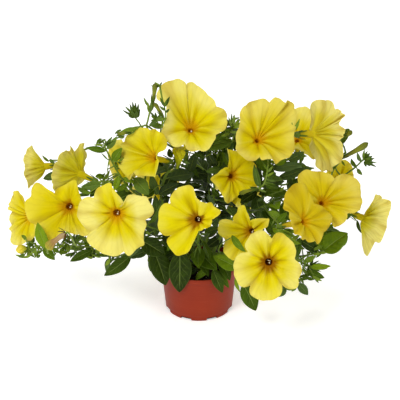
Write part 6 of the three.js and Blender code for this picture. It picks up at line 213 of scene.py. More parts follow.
    ['','shoot_front_left',[-69.6,-52.5,145.7],[-88.2,-64.7,107.8],[0.822,-0.518,-0.237],19.6,[[-69.6,-52.5,145.7],[-68.0,-51.5,148.5]]],
    ['','shoot_front',[2.0,-25.2,85.5],[12.3,-51.2,74.3],[-0.069,-0.419,0.906],13.0,[[2.0,-25.2,85.5],[-0.1,-19.8,87.1]]],
    ['','shoot_right_high',[53.3,14.0,133.9],[63.7,48.1,115.8],[0.058,0.454,0.889],18.9,[[53.3,14.0,133.9],[52.4,10.9,135.1]]],
    ['','shoot_front',[-3.1,-28.3,110.0],[-28.4,-13.2,112.2],[-0.18,-0.431,0.884],14.0,[[-3.1,-28.3,110.0],[-0.3,-29.9,109.4]]],
    ['','shoot_middle',[-26.9,16.5,99.7],[-56.2,53.1,95.9],[-0.13,-0.001,0.992],24.0,[[-26.9,16.5,99.7],[-23.0,11.5,99.4]]],
    ['','shoot_left_high',[-30.8,0.5,94.2],[-59.0,-27.4,75.5],[-0.139,-0.45,0.882],20.1,[[-30.8,0.5,94.2],[-25.9,5.3,96.5]]],
    ['','shoot_right_high',[81.7,13.2,189.5],[51.0,31.6,209.8],[-0.05,-0.775,0.63],18.6,[[81.7,13.2,189.5],[86.9,10.1,185.2]]],
    ['','shoot_front',[-1.1,-23.8,103.8],[-9.8,2.8,116.5],[0.543,-0.211,0.813],14.6,[[-1.1,-23.8,103.8],[-0.3,-26.3,102.3]]],
    ['','shoot_left_low',[-184.1,-35.6,117.6],[-200.0,-42.0,155.3],[0.798,-0.552,0.244],21.1,[[-184.1,-35.6,117.6],[-181.2,-34.5,109.8]]],
    ['','shoot_right_low',[63.9,-48.1,99.3],[89.7,-54.1,89.5],[0.272,-0.309,0.911],11.9,[[63.9,-48.1,99.3],[56.2,-46.3,101.2]]],
    ['','shoot_right_high',[59.1,13.8,153.6],[41.4,23.6,174.4],[0.146,-0.841,0.521],14.1,[[59.1,13.8,153.6],[63.1,11.6,148.0]]],
    ['','shoot_left_low',[-77.2,-32.3,119.3],[-84.0,-4.0,141.1],[0.207,-0.565,0.799],18.3,[[-77.2,-32.3,119.3],[-76.4,-35.9,115.9]]],
    ['','shoot_right',[45.8,-9.7,120.4],[83.9,-21.1,115.5],[0.132,0.013,0.991],17.2,[[45.8,-9.7,120.4],[37.6,-7.3,120.5]]],
    ['','shoot_back_left',[-11.2,17.4,71.2],[-43.9,28.2,81.3],[0.359,0.232,0.904],18.3,[[-11.2,17.4,71.2],[-5.3,15.5,68.5]]],
    ['','shoot_left_low',[-46.1,-20.3,121.5],[-55.0,-11.7,145.2],[-0.123,-0.946,0.301],13.4,[[-46.1,-20.3,121.5],[-43.8,-22.6,114.5]]],
    ['','shoot_back_left',[-13.0,37.2,111.6],[2.1,42.9,135.1],[-0.441,-0.764,0.471],17.0,[[-13.0,37.2,111.6],[-17.1,35.7,104.3]]],
    ['','shoot_right_inner',[20.5,21.5,171.6],[21.5,53.1,165.1],[-0.126,0.205,0.971],13.8,[[20.5,21.5,171.6],[20.3,13.7,172.3]]],
    ['','shoot_front_left',[-19.3,-13.3,78.9],[-53.9,12.7,77.7],[0.038,0.098,0.994],20.1,[[-19.3,-13.3,78.9],[-12.2,-18.5,78.1]]],
    ['','shoot_middle',[-43.1,-8.0,210.1],[-75.3,-9.2,214.9],[0.144,-0.524,0.839],16.3,[[-43.1,-8.0,210.1],[-36.5,-7.7,208.3]]],
    ['','shoot_right',[37.6,-9.5,109.2],[65.2,-20.6,80.7],[0.687,0.579,0.439],20.7,[[37.6,-9.5,109.2],[32.4,-7.5,113.7]]],
    ['','shoot_front',[-0.3,-31.1,104.2],[-0.1,-67.5,94.9],[-0.129,-0.248,0.96],19.1,[[-0.3,-31.1,104.2],[-0.3,-27.5,104.7]]],
    ['','shoot_middle',[-44.3,10.0,129.2],[-88.4,12.1,134.7],[0.1,-0.357,0.929],23.4,[[-44.3,10.0,129.2],[-37.8,9.7,127.5]]],
    ['','shoot_middle',[-33.1,9.8,133.7],[-13.4,10.3,156.0],[-0.702,-0.335,0.629],13.8,[[-33.1,9.8,133.7],[-37.8,9.7,127.5]]],
    ['','shoot_front',[-6.1,-60.1,139.2],[-39.5,-91.9,134.0],[-0.096,-0.059,0.994],23.7,[[-6.1,-60.1,139.2],[0.1,-54.3,139.1]]],
    ['','shoot_middle',[-27.3,10.4,112.8],[-10.7,-8.3,147.9],[-0.117,0.852,0.51],21.6,[[-27.3,10.4,112.8],[-28.7,12.0,109.2]]],
    ['','shoot_middle',[-50.2,-0.2,190.5],[-74.0,19.4,212.2],[0.713,0.098,0.694],17.3,[[-50.2,-0.2,190.5],[-46.4,-3.3,186.3]]],
    ['','shoot_right_low',[73.3,-49.5,102.4],[89.5,-25.1,98.7],[0.42,-0.14,0.897],12.8,[[73.3,-49.5,102.4],[71.0,-53.1,102.5]]],
    ['','shoot_left_high',[-74.2,-10.5,162.8],[-100.0,-13.7,149.8],[-0.448,-0.009,0.894],14.6,[[-74.2,-10.5,162.8],[-71.1,-10.1,164.0]]],
    ['','shoot_back',[10.6,34.1,130.1],[-7.4,12.9,144.2],[0.328,0.312,0.892],17.3,[[10.6,34.1,130.1],[13.4,37.3,127.4]]],
    ['','shoot_right_high',[98.2,12.1,212.3],[102.5,46.3,214.3],[-0.439,0.003,0.898],18.5,[[98.2,12.1,212.3],[97.5,6.5,211.2]]],
    ['','shoot_right',[60.7,-11.1,142.0],[64.3,-35.8,157.5],[0.718,0.442,0.537],16.3,[[60.7,-11.1,142.0],[59.8,-5.1,137.3]]],
    ['','shoot_left_low',[-87.8,-36.3,114.6],[-77.8,-3.5,100.9],[0.398,0.247,0.883],17.9,[[-87.8,-36.3,114.6],[-88.8,-39.6,115.5]]],
    ['','shoot_front_left',[-74.9,-50.6,153.6],[-106.4,-29.1,174.8],[0.082,-0.637,0.767],21.6,[[-74.9,-50.6,153.6],[-71.5,-52.9,150.6]]],
    ['','shoot_front',[-5.5,-48.7,128.5],[-25.4,-67.4,127.1],[-0.093,0.026,0.995],12.6,[[-5.5,-48.7,128.5],[-0.2,-43.8,128.0]]],
    ['','shoot_right_low',[103.8,-59.6,108.6],[100.5,-73.7,143.2],[0.394,0.838,0.378],21.5,[[103.8,-59.6,108.6],[104.1,-58.2,104.6]]],
    ['','shoot_left_low',[-113.8,-36.0,112.8],[-127.9,-16.7,105.5],[0.11,0.424,0.899],13.0,[[-113.8,-36.0,112.8],[-109.5,-41.9,114.2]]],
    ['','shoot_right_inner',[26.5,17.6,156.8],[63.3,26.9,151.1],[0.122,0.121,0.985],15.9,[[26.5,17.6,156.8],[20.0,16.0,157.0]]],
    ['','shoot_right',[71.1,-9.3,146.7],[79.9,-40.8,164.4],[-0.111,0.463,0.879],19.8,[[71.1,-9.3,146.7],[69.6,-3.9,142.9]]],
    ['','shoot_back',[22.4,42.7,150.2],[49.6,42.1,154.1],[-0.139,0.064,0.988],14.8,[[22.4,42.7,150.2],[14.0,42.9,148.0]]],
    ['','shoot_left_high',[-40.2,7.2,114.9],[-77.5,15.9,113.6],[-0.094,-0.27,0.958],21.0,[[-40.2,7.2,114.9],[-33.9,5.7,114.3]]],
    ['','shoot_left_high',[-85.4,-20.4,178.4],[-117.8,-13.8,159.6],[-0.437,-0.754,0.49],19.5,[[-85.4,-20.4,178.4],[-82.1,-21.0,179.9]]],
    ['','shoot_right_high',[58.0,15.8,139.6],[76.0,59.3,134.5],[0.385,-0.053,0.921],21.2,[[58.0,15.8,139.6],[56.0,11.1,139.5]]],
    ['','shoot_left_high',[-40.4,-0.5,132.6],[-20.2,-30.3,149.4],[0.238,0.595,0.768],22.5,[[-40.4,-0.5,132.6],[-43.2,3.7,129.5]]],
    ['','shoot_front_left',[-64.3,-49.8,150.2],[-44.8,-40.7,178.3],[0.82,0.011,-0.572],21.3,[[-64.3,-49.8,150.2],[-66.0,-50.6,147.2]]],
    ['','shoot_right',[108.4,0.2,157.9],[143.7,0.5,132.4],[0.425,0.683,0.594],20.4,[[108.4,0.2,157.9],[104.6,0.2,160.2]]],
    ['','shoot_right_inner',[31.1,-5.0,256.0],[11.7,7.5,265.0],[0.287,-0.231,0.93],13.2,[[31.1,-5.0,256.0],[36.2,-8.3,252.7]]],
    ['','shoot_right_high',[80.8,5.7,182.1],[62.0,-14.7,181.1],[-0.44,0.364,0.821],13.6,[[80.8,5.7,182.1],[85.2,10.6,181.5]]],
    ['','shoot_back',[15.3,33.2,110.5],[54.8,51.2,105.8],[-0.018,0.288,0.957],23.5,[[15.3,33.2,110.5],[11.7,31.5,110.4]]],
    ['','shoot_front_left',[-71.5,-47.0,145.9],[-116.0,-33.2,142.7],[-0.112,-0.131,0.985],21.0,[[-71.5,-47.0,145.9],[-63.5,-49.5,145.5]]],
    ['','shoot_right_inner',[15.4,15.4,78.7],[35.7,28.6,75.9],[0.258,-0.197,0.946],12.2,[[15.4,15.4,78.7],[8.2,10.7,78.7]]],
    ['','shoot_right_high',[63.6,16.8,150.3],[66.9,52.8,161.9],[0.631,-0.289,0.72],19.5,[[63.6,16.8,150.3],[63.1,11.6,148.0]]],
    ['','shoot_back',[16.7,50.5,164.2],[38.8,80.2,146.4],[0.482,0.159,0.862],19.9,[[16.7,50.5,164.2],[13.1,45.6,166.3]]],
    ['','shoot_back_left',[-19.6,41.6,103.4],[-37.4,83.8,91.4],[-0.423,0.078,0.903],19.7,[[-19.6,41.6,103.4],[-17.1,35.7,104.3]]],
    ['','shoot_front_left',[-43.5,-45.5,132.8],[-36.6,-70.5,126.5],[-0.095,-0.267,0.959],11.9,[[-43.5,-45.5,132.8],[-44.8,-40.8,133.4]]],
    ['','shoot_left_low',[-101.1,-43.7,116.0],[-123.4,-70.3,121.1],[0.21,0.009,0.978],17.1,[[-101.1,-43.7,116.0],[-99.1,-41.3,115.2]]],
    ['','shoot_right',[25.5,-11.0,106.6],[8.5,-33.3,105.6],[0.413,-0.352,0.84],13.3,[[25.5,-11.0,106.6],[28.2,-7.4,106.2]]],
    ['','shoot_right_high',[33.8,11.7,112.2],[41.3,41.4,125.2],[-0.32,-0.312,0.894],16.2,[[33.8,11.7,112.2],[33.1,9.0,110.6]]],
    ['','shoot_left_low',[-208.0,-27.4,103.7],[-196.6,-21.3,110.5],[0.592,-0.738,-0.326],4.7,[[-208.0,-27.4,103.7],[-208.7,-30.9,107.2]]],
    ['','shoot_back',[-11.6,27.3,192.8],[1.0,42.8,208.6],[-0.487,-0.398,0.778],13.9,[[-11.6,27.3,192.8],[-8.0,35.9,196.6]]],
    ['','shoot_right_low',[155.1,-61.2,113.4],[145.5,-61.5,110.2],[-0.032,-0.984,0.173],3.0,[[155.1,-61.2,113.4],[153.9,-54.1,111.8]]],
    ['','shoot_left_low',[-165.1,-72.3,120.1],[-166.0,-61.3,127.5],[-0.004,0.558,-0.83],5.3,[[-165.1,-72.3,120.1],[-159.5,-67.5,128.4]]],
    ['','shoot_middle',[-29.4,-11.9,183.0],[-3.1,-9.6,187.6],[0.13,-0.959,-0.252],13.3,[[-29.4,-11.9,183.0],[-35.6,-6.6,177.7]]],
    ['','shoot_right_high',[93.2,2.2,191.3],[109.4,-3.2,189.2],[-0.23,-0.86,0.455],7.3,[[93.2,2.2,191.3],[94.9,5.5,190.5]]],
    ['','shoot_right_inner',[33.9,-10.2,263.5],[9.5,-11.0,231.1],[0.518,-0.771,-0.37],20.0,[[33.9,-10.2,263.5],[39.6,-9.8,259.8]]],
    ['','shoot_right_low',[47.9,-68.0,81.8],[52.7,-74.0,62.0],[-0.894,-0.44,-0.085],12.1,[[47.9,-68.0,81.8],[57.7,-70.1,80.5]]],
    ['','shoot_left_low',[-99.4,-50.7,100.7],[-113.2,-55.4,99.1],[0.182,-0.757,0.627],3.2,[[-99.4,-50.7,100.7],[-86.7,-50.9,104.8]]],
    ['','shoot_middle',[-49.4,-1.4,162.8],[-36.0,-2.1,163.5],[-0.072,-0.436,0.897],5.8,[[-49.4,-1.4,162.8],[-49.7,1.6,163.5]]],
    ['','shoot_right_high',[84.4,7.0,211.5],[93.4,7.7,196.0],[-0.323,-0.919,-0.228],7.1,[[84.4,7.0,211.5],[83.5,6.9,210.6]]],
    ['','shoot_right_high',[23.0,7.1,108.1],[11.6,2.1,101.0],[0.234,-0.93,0.283],5.2,[[23.0,7.1,108.1],[29.7,8.4,105.3]]],
    ['','shoot_left_low',[-136.9,-42.7,100.0],[-127.2,-42.0,95.7],[-0.12,-0.908,-0.401],3.5,[[-136.9,-42.7,100.0],[-138.4,-43.9,101.5]]],
    ['','shoot_middle',[-18.6,-7.3,181.7],[-9.3,2.3,190.3],[0.089,-0.71,0.698],5.2,[[-18.6,-7.3,181.7],[-35.6,-6.6,177.7]]],
    ['','shoot_right_high',[130.1,74.7,170.4],[158.6,77.7,170.1],[-0.018,0.268,0.963],13.2,[[130.1,74.7,170.4],[132.9,82.0,163.0]]],
    ['','shoot_left_low',[-147.6,-42.4,119.0],[-149.3,-40.2,128.0],[-0.355,-0.923,0.151],5.5,[[-147.6,-42.4,119.0],[-150.9,-43.7,120.3]]],
    ['','shoot_left_low',[-148.2,-41.9,110.5],[-160.5,-44.8,107.5],[-0.056,-0.585,0.809],5.1,[[-148.2,-41.9,110.5],[-147.2,-39.5,110.9]]],
    ['','shoot_right_inner',[40.2,3.1,245.3],[39.2,-17.4,217.2],[-0.754,-0.517,0.404],15.6,[[40.2,3.1,245.3],[33.0,-6.6,246.3]]],
    ['','shoot_right_inner',[46.1,-13.5,259.9],[41.2,-20.9,248.2],[-0.685,-0.454,0.57],2.6,[[46.1,-13.5,259.9],[42.3,-10.9,260.2]]],
    ['','shoot_right_high',[143.3,77.5,193.4],[138.1,72.2,178.3],[0.262,-0.935,0.238],6.6,[[143.3,77.5,193.4],[135.1,90.2,173.6]]],
    ['','shoot_back',[-12.5,22.4,189.3],[-5.2,28.5,213.9],[-0.117,-0.955,0.273],13.2,[[-12.5,22.4,189.3],[-8.0,35.9,196.6]]],
    ['','shoot_right',[96.1,-85.1,159.1],[118.7,-86.9,151.0],[-0.169,-0.951,-0.257],13.9,[[96.1,-85.1,159.1],[99.1,-73.4,161.6]]],
    ['','shoot_left_high',[-104.2,-46.0,194.9],[-88.0,-37.8,201.1],[0.444,-0.896,0.014],8.7,[[-104.2,-46.0,194.9],[-97.8,-29.7,200.4]]],
    ['','shoot_left_low',[-208.9,-37.1,107.2],[-209.1,-48.6,101.7],[0.314,-0.416,0.853],3.0,[[-208.9,-37.1,107.2],[-210.5,-37.9,108.1]]],
    ['','shoot_right_low',[157.7,-42.2,105.4],[172.8,-25.7,137.0],[-0.16,-0.84,0.518],20.8,[[157.7,-42.2,105.4],[158.3,-51.9,111.0]]],
    ['','shoot_left_low',[-109.4,-45.3,103.7],[-114.0,-51.4,93.1],[0.15,-0.886,0.44],3.5,[[-109.4,-45.3,103.7],[-109.5,-41.9,114.2]]],
    ['','shoot_right',[181.5,7.4,233.3],[192.3,8.2,247.2],[-0.569,-0.663,0.486],6.5,[[181.5,7.4,233.3],[182.6,2.4,232.2]]],
    ['','shoot_right',[102.9,-53.9,160.0],[88.4,-41.2,164.0],[-0.226,-0.517,0.826],9.0,[[102.9,-53.9,160.0],[95.1,-56.7,159.3]]],
    ['','shoot_right_inner',[6.8,5.8,230.1],[4.5,5.1,212.9],[-0.295,-0.953,0.075],5.9,[[6.8,5.8,230.1],[24.1,0.8,222.7]]],
    ['','shoot_back',[8.9,48.7,144.1],[-8.8,47.2,149.2],[0.166,-0.942,0.293],6.9,[[8.9,48.7,144.1],[14.0,42.3,145.7]]],
    ['','shoot_right_inner',[27.4,14.4,156.7],[15.8,14.4,171.6],[-0.002,-1.0,-0.003],8.0,[[27.4,14.4,156.7],[20.0,16.0,157.0]]],
    ['','shoot_left_high',[-133.7,-51.9,193.3],[-152.8,-46.5,200.4],[-0.342,0.027,-0.939],12.1,[[-133.7,-51.9,193.3],[-121.9,-39.1,200.5]]],
    ['','shoot_middle',[-13.9,-13.7,216.5],[-22.5,-6.8,209.0],[-0.099,-0.787,-0.609],5.1,[[-13.9,-13.7,216.5],[-27.3,-10.7,223.9]]],
    ['','shoot_left_high',[-138.4,-38.7,184.5],[-154.8,-45.1,186.3],[0.195,-0.24,0.951],6.7,[[-138.4,-38.7,184.5],[-123.9,-36.6,198.8]]],
    ['','shoot_left_high',[-73.6,3.1,144.3],[-61.7,2.2,161.9],[-0.02,-0.999,-0.036],9.4,[[-73.6,3.1,144.3],[-64.9,-4.5,144.8]]],
    ['','shoot_middle',[-46.2,-30.3,327.7],[-58.1,-28.1,326.1],[-0.057,-0.778,-0.626],5.6,[[-46.2,-30.3,327.7],[-43.3,-36.2,306.5]]],
    ['','shoot_right_high',[73.7,6.5,220.6],[97.8,-8.3,197.9],[-0.342,-0.911,0.23],17.4,[[73.7,6.5,220.6],[73.0,5.7,218.9]]],
    ['','shoot_right_inner',[36.5,-11.0,251.3],[47.4,-3.6,253.9],[0.512,-0.831,0.215],3.0,[[36.5,-11.0,251.3],[36.2,-8.3,252.7]]],
    ['','shoot_right_inner',[17.3,-4.1,229.0],[28.5,20.9,256.9],[-0.841,0.525,-0.133],19.0,[[17.3,-4.1,229.0],[25.7,-0.7,227.4]]],
    ['','shoot_left_high',[-182.8,18.3,186.9],[-206.3,21.9,179.6],[-0.327,-0.511,0.795],14.1,[[-182.8,18.3,186.9],[-174.3,27.2,204.1]]],
    ['','shoot_right_low',[160.2,-36.8,134.2],[184.5,-38.1,130.6],[0.151,0.1,0.983],12.7,[[160.2,-36.8,134.2],[169.8,-49.5,114.0]]],
    ['','shoot_left_low',[-174.9,-28.1,107.1],[-180.6,-36.6,100.9],[0.586,-0.698,0.411],5.2,[[-174.9,-28.1,107.1],[-176.6,-35.1,110.0]]],
    ['','shoot_right_inner',[31.5,-5.1,237.6],[19.5,-8.9,244.5],[0.246,-0.964,-0.1],3.3,[[31.5,-5.1,237.6],[29.4,-4.0,237.4]]],
    ['','shoot_left_high',[-119.2,-21.8,207.7],[-128.5,-26.0,201.4],[0.549,-0.784,-0.291],5.2,[[-119.2,-21.8,207.7],[-113.4,-30.5,203.2]]],
    ['','shoot_right',[87.7,3.6,146.3],[109.4,20.6,161.0],[0.686,-0.699,-0.201],16.1,[[87.7,3.6,146.3],[86.7,-1.9,151.6]]],
    ['','shoot_front_left',[-62.9,-42.2,129.8],[-71.5,-46.4,139.6],[0.099,-0.943,-0.318],5.3,[[-62.9,-42.2,129.8],[-55.2,-45.6,139.8]]],
    ['','shoot_right_high',[37.3,11.8,138.1],[24.0,13.3,147.0],[-0.211,-0.966,-0.151],7.3,[[37.3,11.8,138.1],[46.9,10.4,128.6]]],
    ['','shoot_middle',[-43.3,5.0,149.6],[-39.6,13.4,157.6],[-0.16,-0.646,0.747],5.2,[[-43.3,5.0,149.6],[-46.7,4.8,149.0]]],
    ['','shoot_back',[-10.1,45.4,186.4],[-0.4,30.3,178.6],[-0.436,-0.617,0.656],7.4,[[-10.1,45.4,186.4],[-1.0,38.4,191.1]]],
    ['','shoot_back',[-18.9,52.0,181.6],[17.1,40.5,176.0],[-0.308,-0.951,-0.026],20.3,[[-18.9,52.0,181.6],[-1.0,38.4,191.1]]],
    ['','shoot_middle',[-22.2,-19.6,224.4],[-10.9,-19.9,219.6],[-0.127,-0.964,-0.235],4.5,[[-22.2,-19.6,224.4],[-29.5,-15.4,224.9]]],
    ['','shoot_right',[141.9,14.1,195.3],[133.5,15.9,206.2],[-0.115,-0.991,0.068],6.0,[[141.9,14.1,195.3],[133.2,9.6,187.3]]],
    ['','shoot_right_high',[83.4,3.6,170.8],[115.8,-11.2,174.6],[-0.425,-0.844,0.328],16.1,[[83.4,3.6,170.8],[77.2,3.7,169.5]]],
    ['','shoot_middle',[-31.8,-3.5,183.4],[-15.8,2.9,177.0],[0.422,-0.892,0.164],7.9,[[-31.8,-3.5,183.4],[-35.6,-6.6,177.7]]],
    ['','shoot_right_low',[142.7,-67.3,84.0],[128.3,-66.2,81.4],[-0.191,-0.514,0.836],4.7,[[142.7,-67.3,84.0],[138.2,-61.3,87.5]]],
    ['','shoot_right_high',[80.6,1.3,178.4],[111.1,-2.5,187.6],[-0.287,-0.693,0.662],14.8,[[80.6,1.3,178.4],[77.2,3.7,169.5]]],
    ['','shoot_right_low',[180.7,-50.5,115.3],[190.9,-49.0,131.7],[0.203,-0.978,-0.036],6.8,[[180.7,-50.5,115.3],[169.8,-49.5,114.0]]],
    ['','shoot_right_high',[126.6,62.2,148.4],[133.4,75.1,158.4],[-0.489,-0.356,0.796],7.0,[[126.6,62.2,148.4],[123.8,62.7,154.5]]],
    ['','shoot_right_low',[133.8,-50.1,113.4],[127.0,-36.6,116.7],[-0.744,-0.485,0.459],5.0,[[133.8,-50.1,113.4],[133.8,-56.1,106.3]]],
    ['','shoot_left_low',[-112.0,-41.7,96.9],[-95.4,-38.1,100.6],[0.296,-0.722,-0.625],6.3,[[-112.0,-41.7,96.9],[-114.5,-41.8,113.6]]],
    ['','shoot_left_high',[-129.9,-38.2,210.4],[-118.5,-25.3,203.0],[0.771,-0.388,0.505],7.5,[[-129.9,-38.2,210.4],[-120.1,-38.5,202.5]]],
    ['','shoot_right_low',[138.4,-48.5,109.3],[147.3,-53.1,104.5],[-0.378,-0.909,0.175],2.0,[[138.4,-48.5,109.3],[140.0,-55.4,107.1]]],
    ['','shoot_left_low',[-216.5,-32.6,112.1],[-228.3,-34.6,120.2],[0.05,-0.984,-0.172],3.9,[[-216.5,-32.6,112.1],[-215.8,-32.5,111.6]]],
    ['','shoot_front_left',[-54.2,-51.0,136.7],[-69.2,-58.4,135.1],[0.293,-0.405,-0.866],5.9,[[-54.2,-51.0,136.7],[-55.2,-45.6,139.8]]],
    ['','shoot_back',[17.0,32.8,136.0],[10.8,51.9,151.4],[-0.488,-0.64,0.593],14.5,[[17.0,32.8,136.0],[13.7,39.1,133.4]]],
    ['','shoot_left_high',[-85.3,-41.5,194.5],[-86.8,-30.5,199.2],[0.127,-0.376,0.918],5.0,[[-85.3,-41.5,194.5],[-92.3,-29.4,195.8]]],
    ['','shoot_left_low',[-209.5,-57.5,113.6],[-221.3,-61.6,108.1],[0.086,-0.877,0.473],2.8,[[-209.5,-57.5,113.6],[-218.5,-52.0,114.4]]],
    ['','shoot_right',[105.5,-78.1,155.7],[120.7,-88.2,158.7],[-0.556,-0.831,0.028],7.5,[[105.5,-78.1,155.7],[99.1,-73.4,161.6]]],
    ['','shoot_right_high',[94.8,24.9,168.8],[74.7,26.1,168.9],[-0.054,-0.908,-0.415],8.6,[[94.8,24.9,168.8],[97.0,25.8,171.7]]],
    ['','shoot_right_inner',[37.5,6.3,245.3],[36.2,-3.9,209.2],[-0.493,-0.833,0.253],17.1,[[37.5,6.3,245.3],[31.9,-5.9,243.8]]],
    ['','shoot_right',[100.9,7.1,171.0],[78.9,15.9,159.1],[-0.471,-0.848,0.243],11.7,[[100.9,7.1,171.0],[107.5,0.5,161.5]]],
    ['','shoot_right_low',[140.1,-55.7,78.4],[133.7,-53.5,89.5],[-0.168,-0.981,0.1],4.5,[[140.1,-55.7,78.4],[138.2,-61.3,87.5]]],
    ['','shoot_left_low',[-173.7,-39.0,119.1],[-181.6,-43.1,109.3],[0.487,-0.873,-0.027],3.6,[[-173.7,-39.0,119.1],[-171.9,-35.9,110.1]]],
    ['','shoot_front_left',[-30.9,-28.5,111.4],[-50.4,-21.3,105.3],[-0.364,-0.93,0.057],10.5,[[-30.9,-28.5,111.4],[-24.5,-30.1,114.0]]],
    ['','shoot_right',[208.2,-9.6,134.1],[213.3,-17.6,118.7],[-0.723,-0.681,0.118],5.8,[[208.2,-9.6,134.1],[192.1,6.2,145.4]]],
    ['','shoot_back',[2.8,38.2,160.5],[-15.7,30.1,168.4],[0.264,-0.908,-0.324],10.7,[[2.8,38.2,160.5],[13.5,45.1,161.0]]],
    ['','shoot_back',[26.0,45.2,95.2],[14.5,45.2,110.7],[0.334,-0.91,0.247],8.3,[[26.0,45.2,95.2],[22.9,50.7,103.4]]],
    ['','shoot_left_high',[-194.3,12.6,211.7],[-186.7,6.3,207.9],[-0.376,-0.766,0.522],4.4,[[-194.3,12.6,211.7],[-174.3,27.2,204.1]]],
    ['','shoot_middle',[-25.2,16.7,202.5],[-14.6,17.5,195.0],[0.564,-0.314,0.764],6.0,[[-25.2,16.7,202.5],[-31.1,13.3,199.8]]],
    ['','shoot_left_low',[-215.5,-48.0,111.5],[-220.3,-60.4,109.7],[0.539,-0.327,0.776],4.8,[[-215.5,-48.0,111.5],[-215.2,-47.3,112.2]]],
    ['','shoot_left_low',[-78.0,-37.8,121.6],[-61.3,-35.8,127.0],[0.245,-0.863,-0.443],7.2,[[-78.0,-37.8,121.6],[-76.1,-39.0,119.3]]],
    ['','shoot_right_inner',[16.7,8.4,208.8],[15.5,4.2,177.7],[-0.957,-0.281,0.074],18.0,[[16.7,8.4,208.8],[20.3,5.6,206.2]]],
    ['','shoot_right',[91.6,-72.3,155.3],[124.2,-96.3,145.4],[-0.62,-0.7,-0.354],21.9,[[91.6,-72.3,155.3],[98.3,-69.7,161.1]]],
    ['','shoot_right_inner',[20.4,5.5,219.0],[27.1,10.9,233.1],[-0.662,-0.54,0.521],5.7,[[20.4,5.5,219.0],[22.5,2.4,217.7]]],
    ['','shoot_right_high',[113.0,-2.3,216.7],[91.9,-6.1,217.3],[0.175,-0.981,-0.084],11.6,[[113.0,-2.3,216.7],[113.3,-3.7,217.2]]],
    ['','shoot_right_high',[121.4,64.6,159.7],[128.1,35.6,142.7],[0.801,0.43,-0.416],18.7,[[121.4,64.6,159.7],[123.8,62.7,154.5]]],
    ['','shoot_right_low',[116.2,-50.2,123.4],[130.1,-46.0,132.2],[0.08,-0.943,0.322],5.7,[[116.2,-50.2,123.4],[117.0,-57.4,105.1]]],
    ['','shoot_right_low',[144.8,-73.7,87.4],[157.2,-77.4,81.6],[-0.227,-0.965,0.133],4.0,[[144.8,-73.7,87.4],[141.5,-62.9,93.8]]],
    ['','shoot_right_high',[85.3,10.7,180.9],[102.0,16.6,163.8],[-0.223,-0.833,-0.506],11.9,[[85.3,10.7,180.9],[85.1,10.6,181.3]]],
    ['','shoot_right_inner',[33.0,-11.6,255.2],[31.9,-12.7,268.3],[0.177,-0.982,-0.067],3.5,[[33.0,-11.6,255.2],[37.4,-8.9,255.3]]],
    ['','shoot_left_high',[-100.1,-34.7,231.8],[-96.0,-35.7,238.4],[0.482,-0.766,-0.425],2.1,[[-100.1,-34.7,231.8],[-108.2,-30.0,227.0]]],
    ['','shoot_left_low',[-114.4,-56.1,101.7],[-120.4,-60.3,94.2],[0.202,-0.914,0.351],4.5,[[-114.4,-56.1,101.7],[-114.5,-41.8,113.6]]],
    ['','shoot_right_inner',[17.4,9.4,140.5],[23.9,8.9,150.4],[0.516,-0.768,-0.38],5.2,[[17.4,9.4,140.5],[18.5,16.8,141.1]]],
    ['','shoot_right_inner',[14.1,4.0,217.9],[13.3,11.0,231.6],[0.774,-0.542,0.326],6.3,[[14.1,4.0,217.9],[21.9,3.3,215.0]]],
    ['','shoot_right_high',[93.6,11.7,205.2],[88.1,7.6,220.6],[0.083,-0.97,-0.227],5.4,[[93.6,11.7,205.2],[92.1,7.5,204.1]]],
    ['','shoot_right',[106.8,-27.6,140.2],[82.3,-21.3,169.1],[0.705,0.518,0.485],18.7,[[106.8,-27.6,140.2],[89.2,-28.2,155.1]]],
    ['','shoot_left_low',[-174.8,-39.5,97.7],[-163.5,-35.0,99.2],[0.378,-0.921,-0.094],5.6,[[-174.8,-39.5,97.7],[-174.3,-35.5,110.0]]],
    ['','shoot_right',[86.0,-61.7,147.5],[106.4,-63.0,148.4],[-0.059,-0.991,-0.121],9.0,[[86.0,-61.7,147.5],[95.1,-56.7,159.3]]],
    ['','shoot_right',[98.5,-67.3,158.2],[110.6,-55.3,168.9],[-0.36,-0.395,0.845],10.0,[[98.5,-67.3,158.2],[97.8,-67.9,160.9]]],
    ['','shoot_left_low',[-221.8,-45.2,124.6],[-229.1,-39.6,128.2],[-0.096,-0.615,0.783],4.5,[[-221.8,-45.2,124.6],[-218.5,-52.0,114.4]]],
    ['','shoot_right',[192.1,5.0,257.0],[181.3,10.5,248.9],[-0.564,-0.801,0.202],5.3,[[192.1,5.0,257.0],[179.1,0.4,243.6]]],
    ['','shoot_left_low',[-60.9,-39.8,96.3],[-63.8,-49.4,79.1],[-0.602,-0.65,0.464],7.6,[[-60.9,-39.8,96.3],[-66.6,-38.6,104.3]]],
    ['','shoot_right_high',[58.4,8.7,146.1],[77.8,0.6,130.5],[-0.639,-0.594,-0.489],11.8,[[58.4,8.7,146.1],[59.6,11.4,143.8]]],
    ['','shoot_right_inner',[45.3,-5.7,246.1],[43.6,-8.8,234.7],[-0.741,-0.612,0.276],2.3,[[45.3,-5.7,246.1],[35.2,-7.7,250.6]]],
    ['','shoot_middle',[-46.5,-42.6,327.4],[-44.1,-31.2,331.7],[-0.981,0.178,0.081],5.6,[[-46.5,-42.6,327.4],[-43.3,-36.2,306.5]]],
    ['','shoot_left_low',[-161.0,-37.6,102.2],[-167.1,-47.7,98.8],[0.123,-0.383,0.916],4.2,[[-161.0,-37.6,102.2],[-162.2,-37.4,110.2]]],
    ['','shoot_left_low',[-215.3,-32.4,111.1],[-204.2,-32.1,99.6],[0.497,-0.734,0.462],3.5,[[-215.3,-32.4,111.1],[-215.8,-32.5,111.6]]],
    ['','shoot_right_high',[127.4,1.5,223.9],[138.5,-6.2,224.4],[-0.509,-0.763,-0.398],5.8,[[127.4,1.5,223.9],[113.3,-3.7,217.2]]],
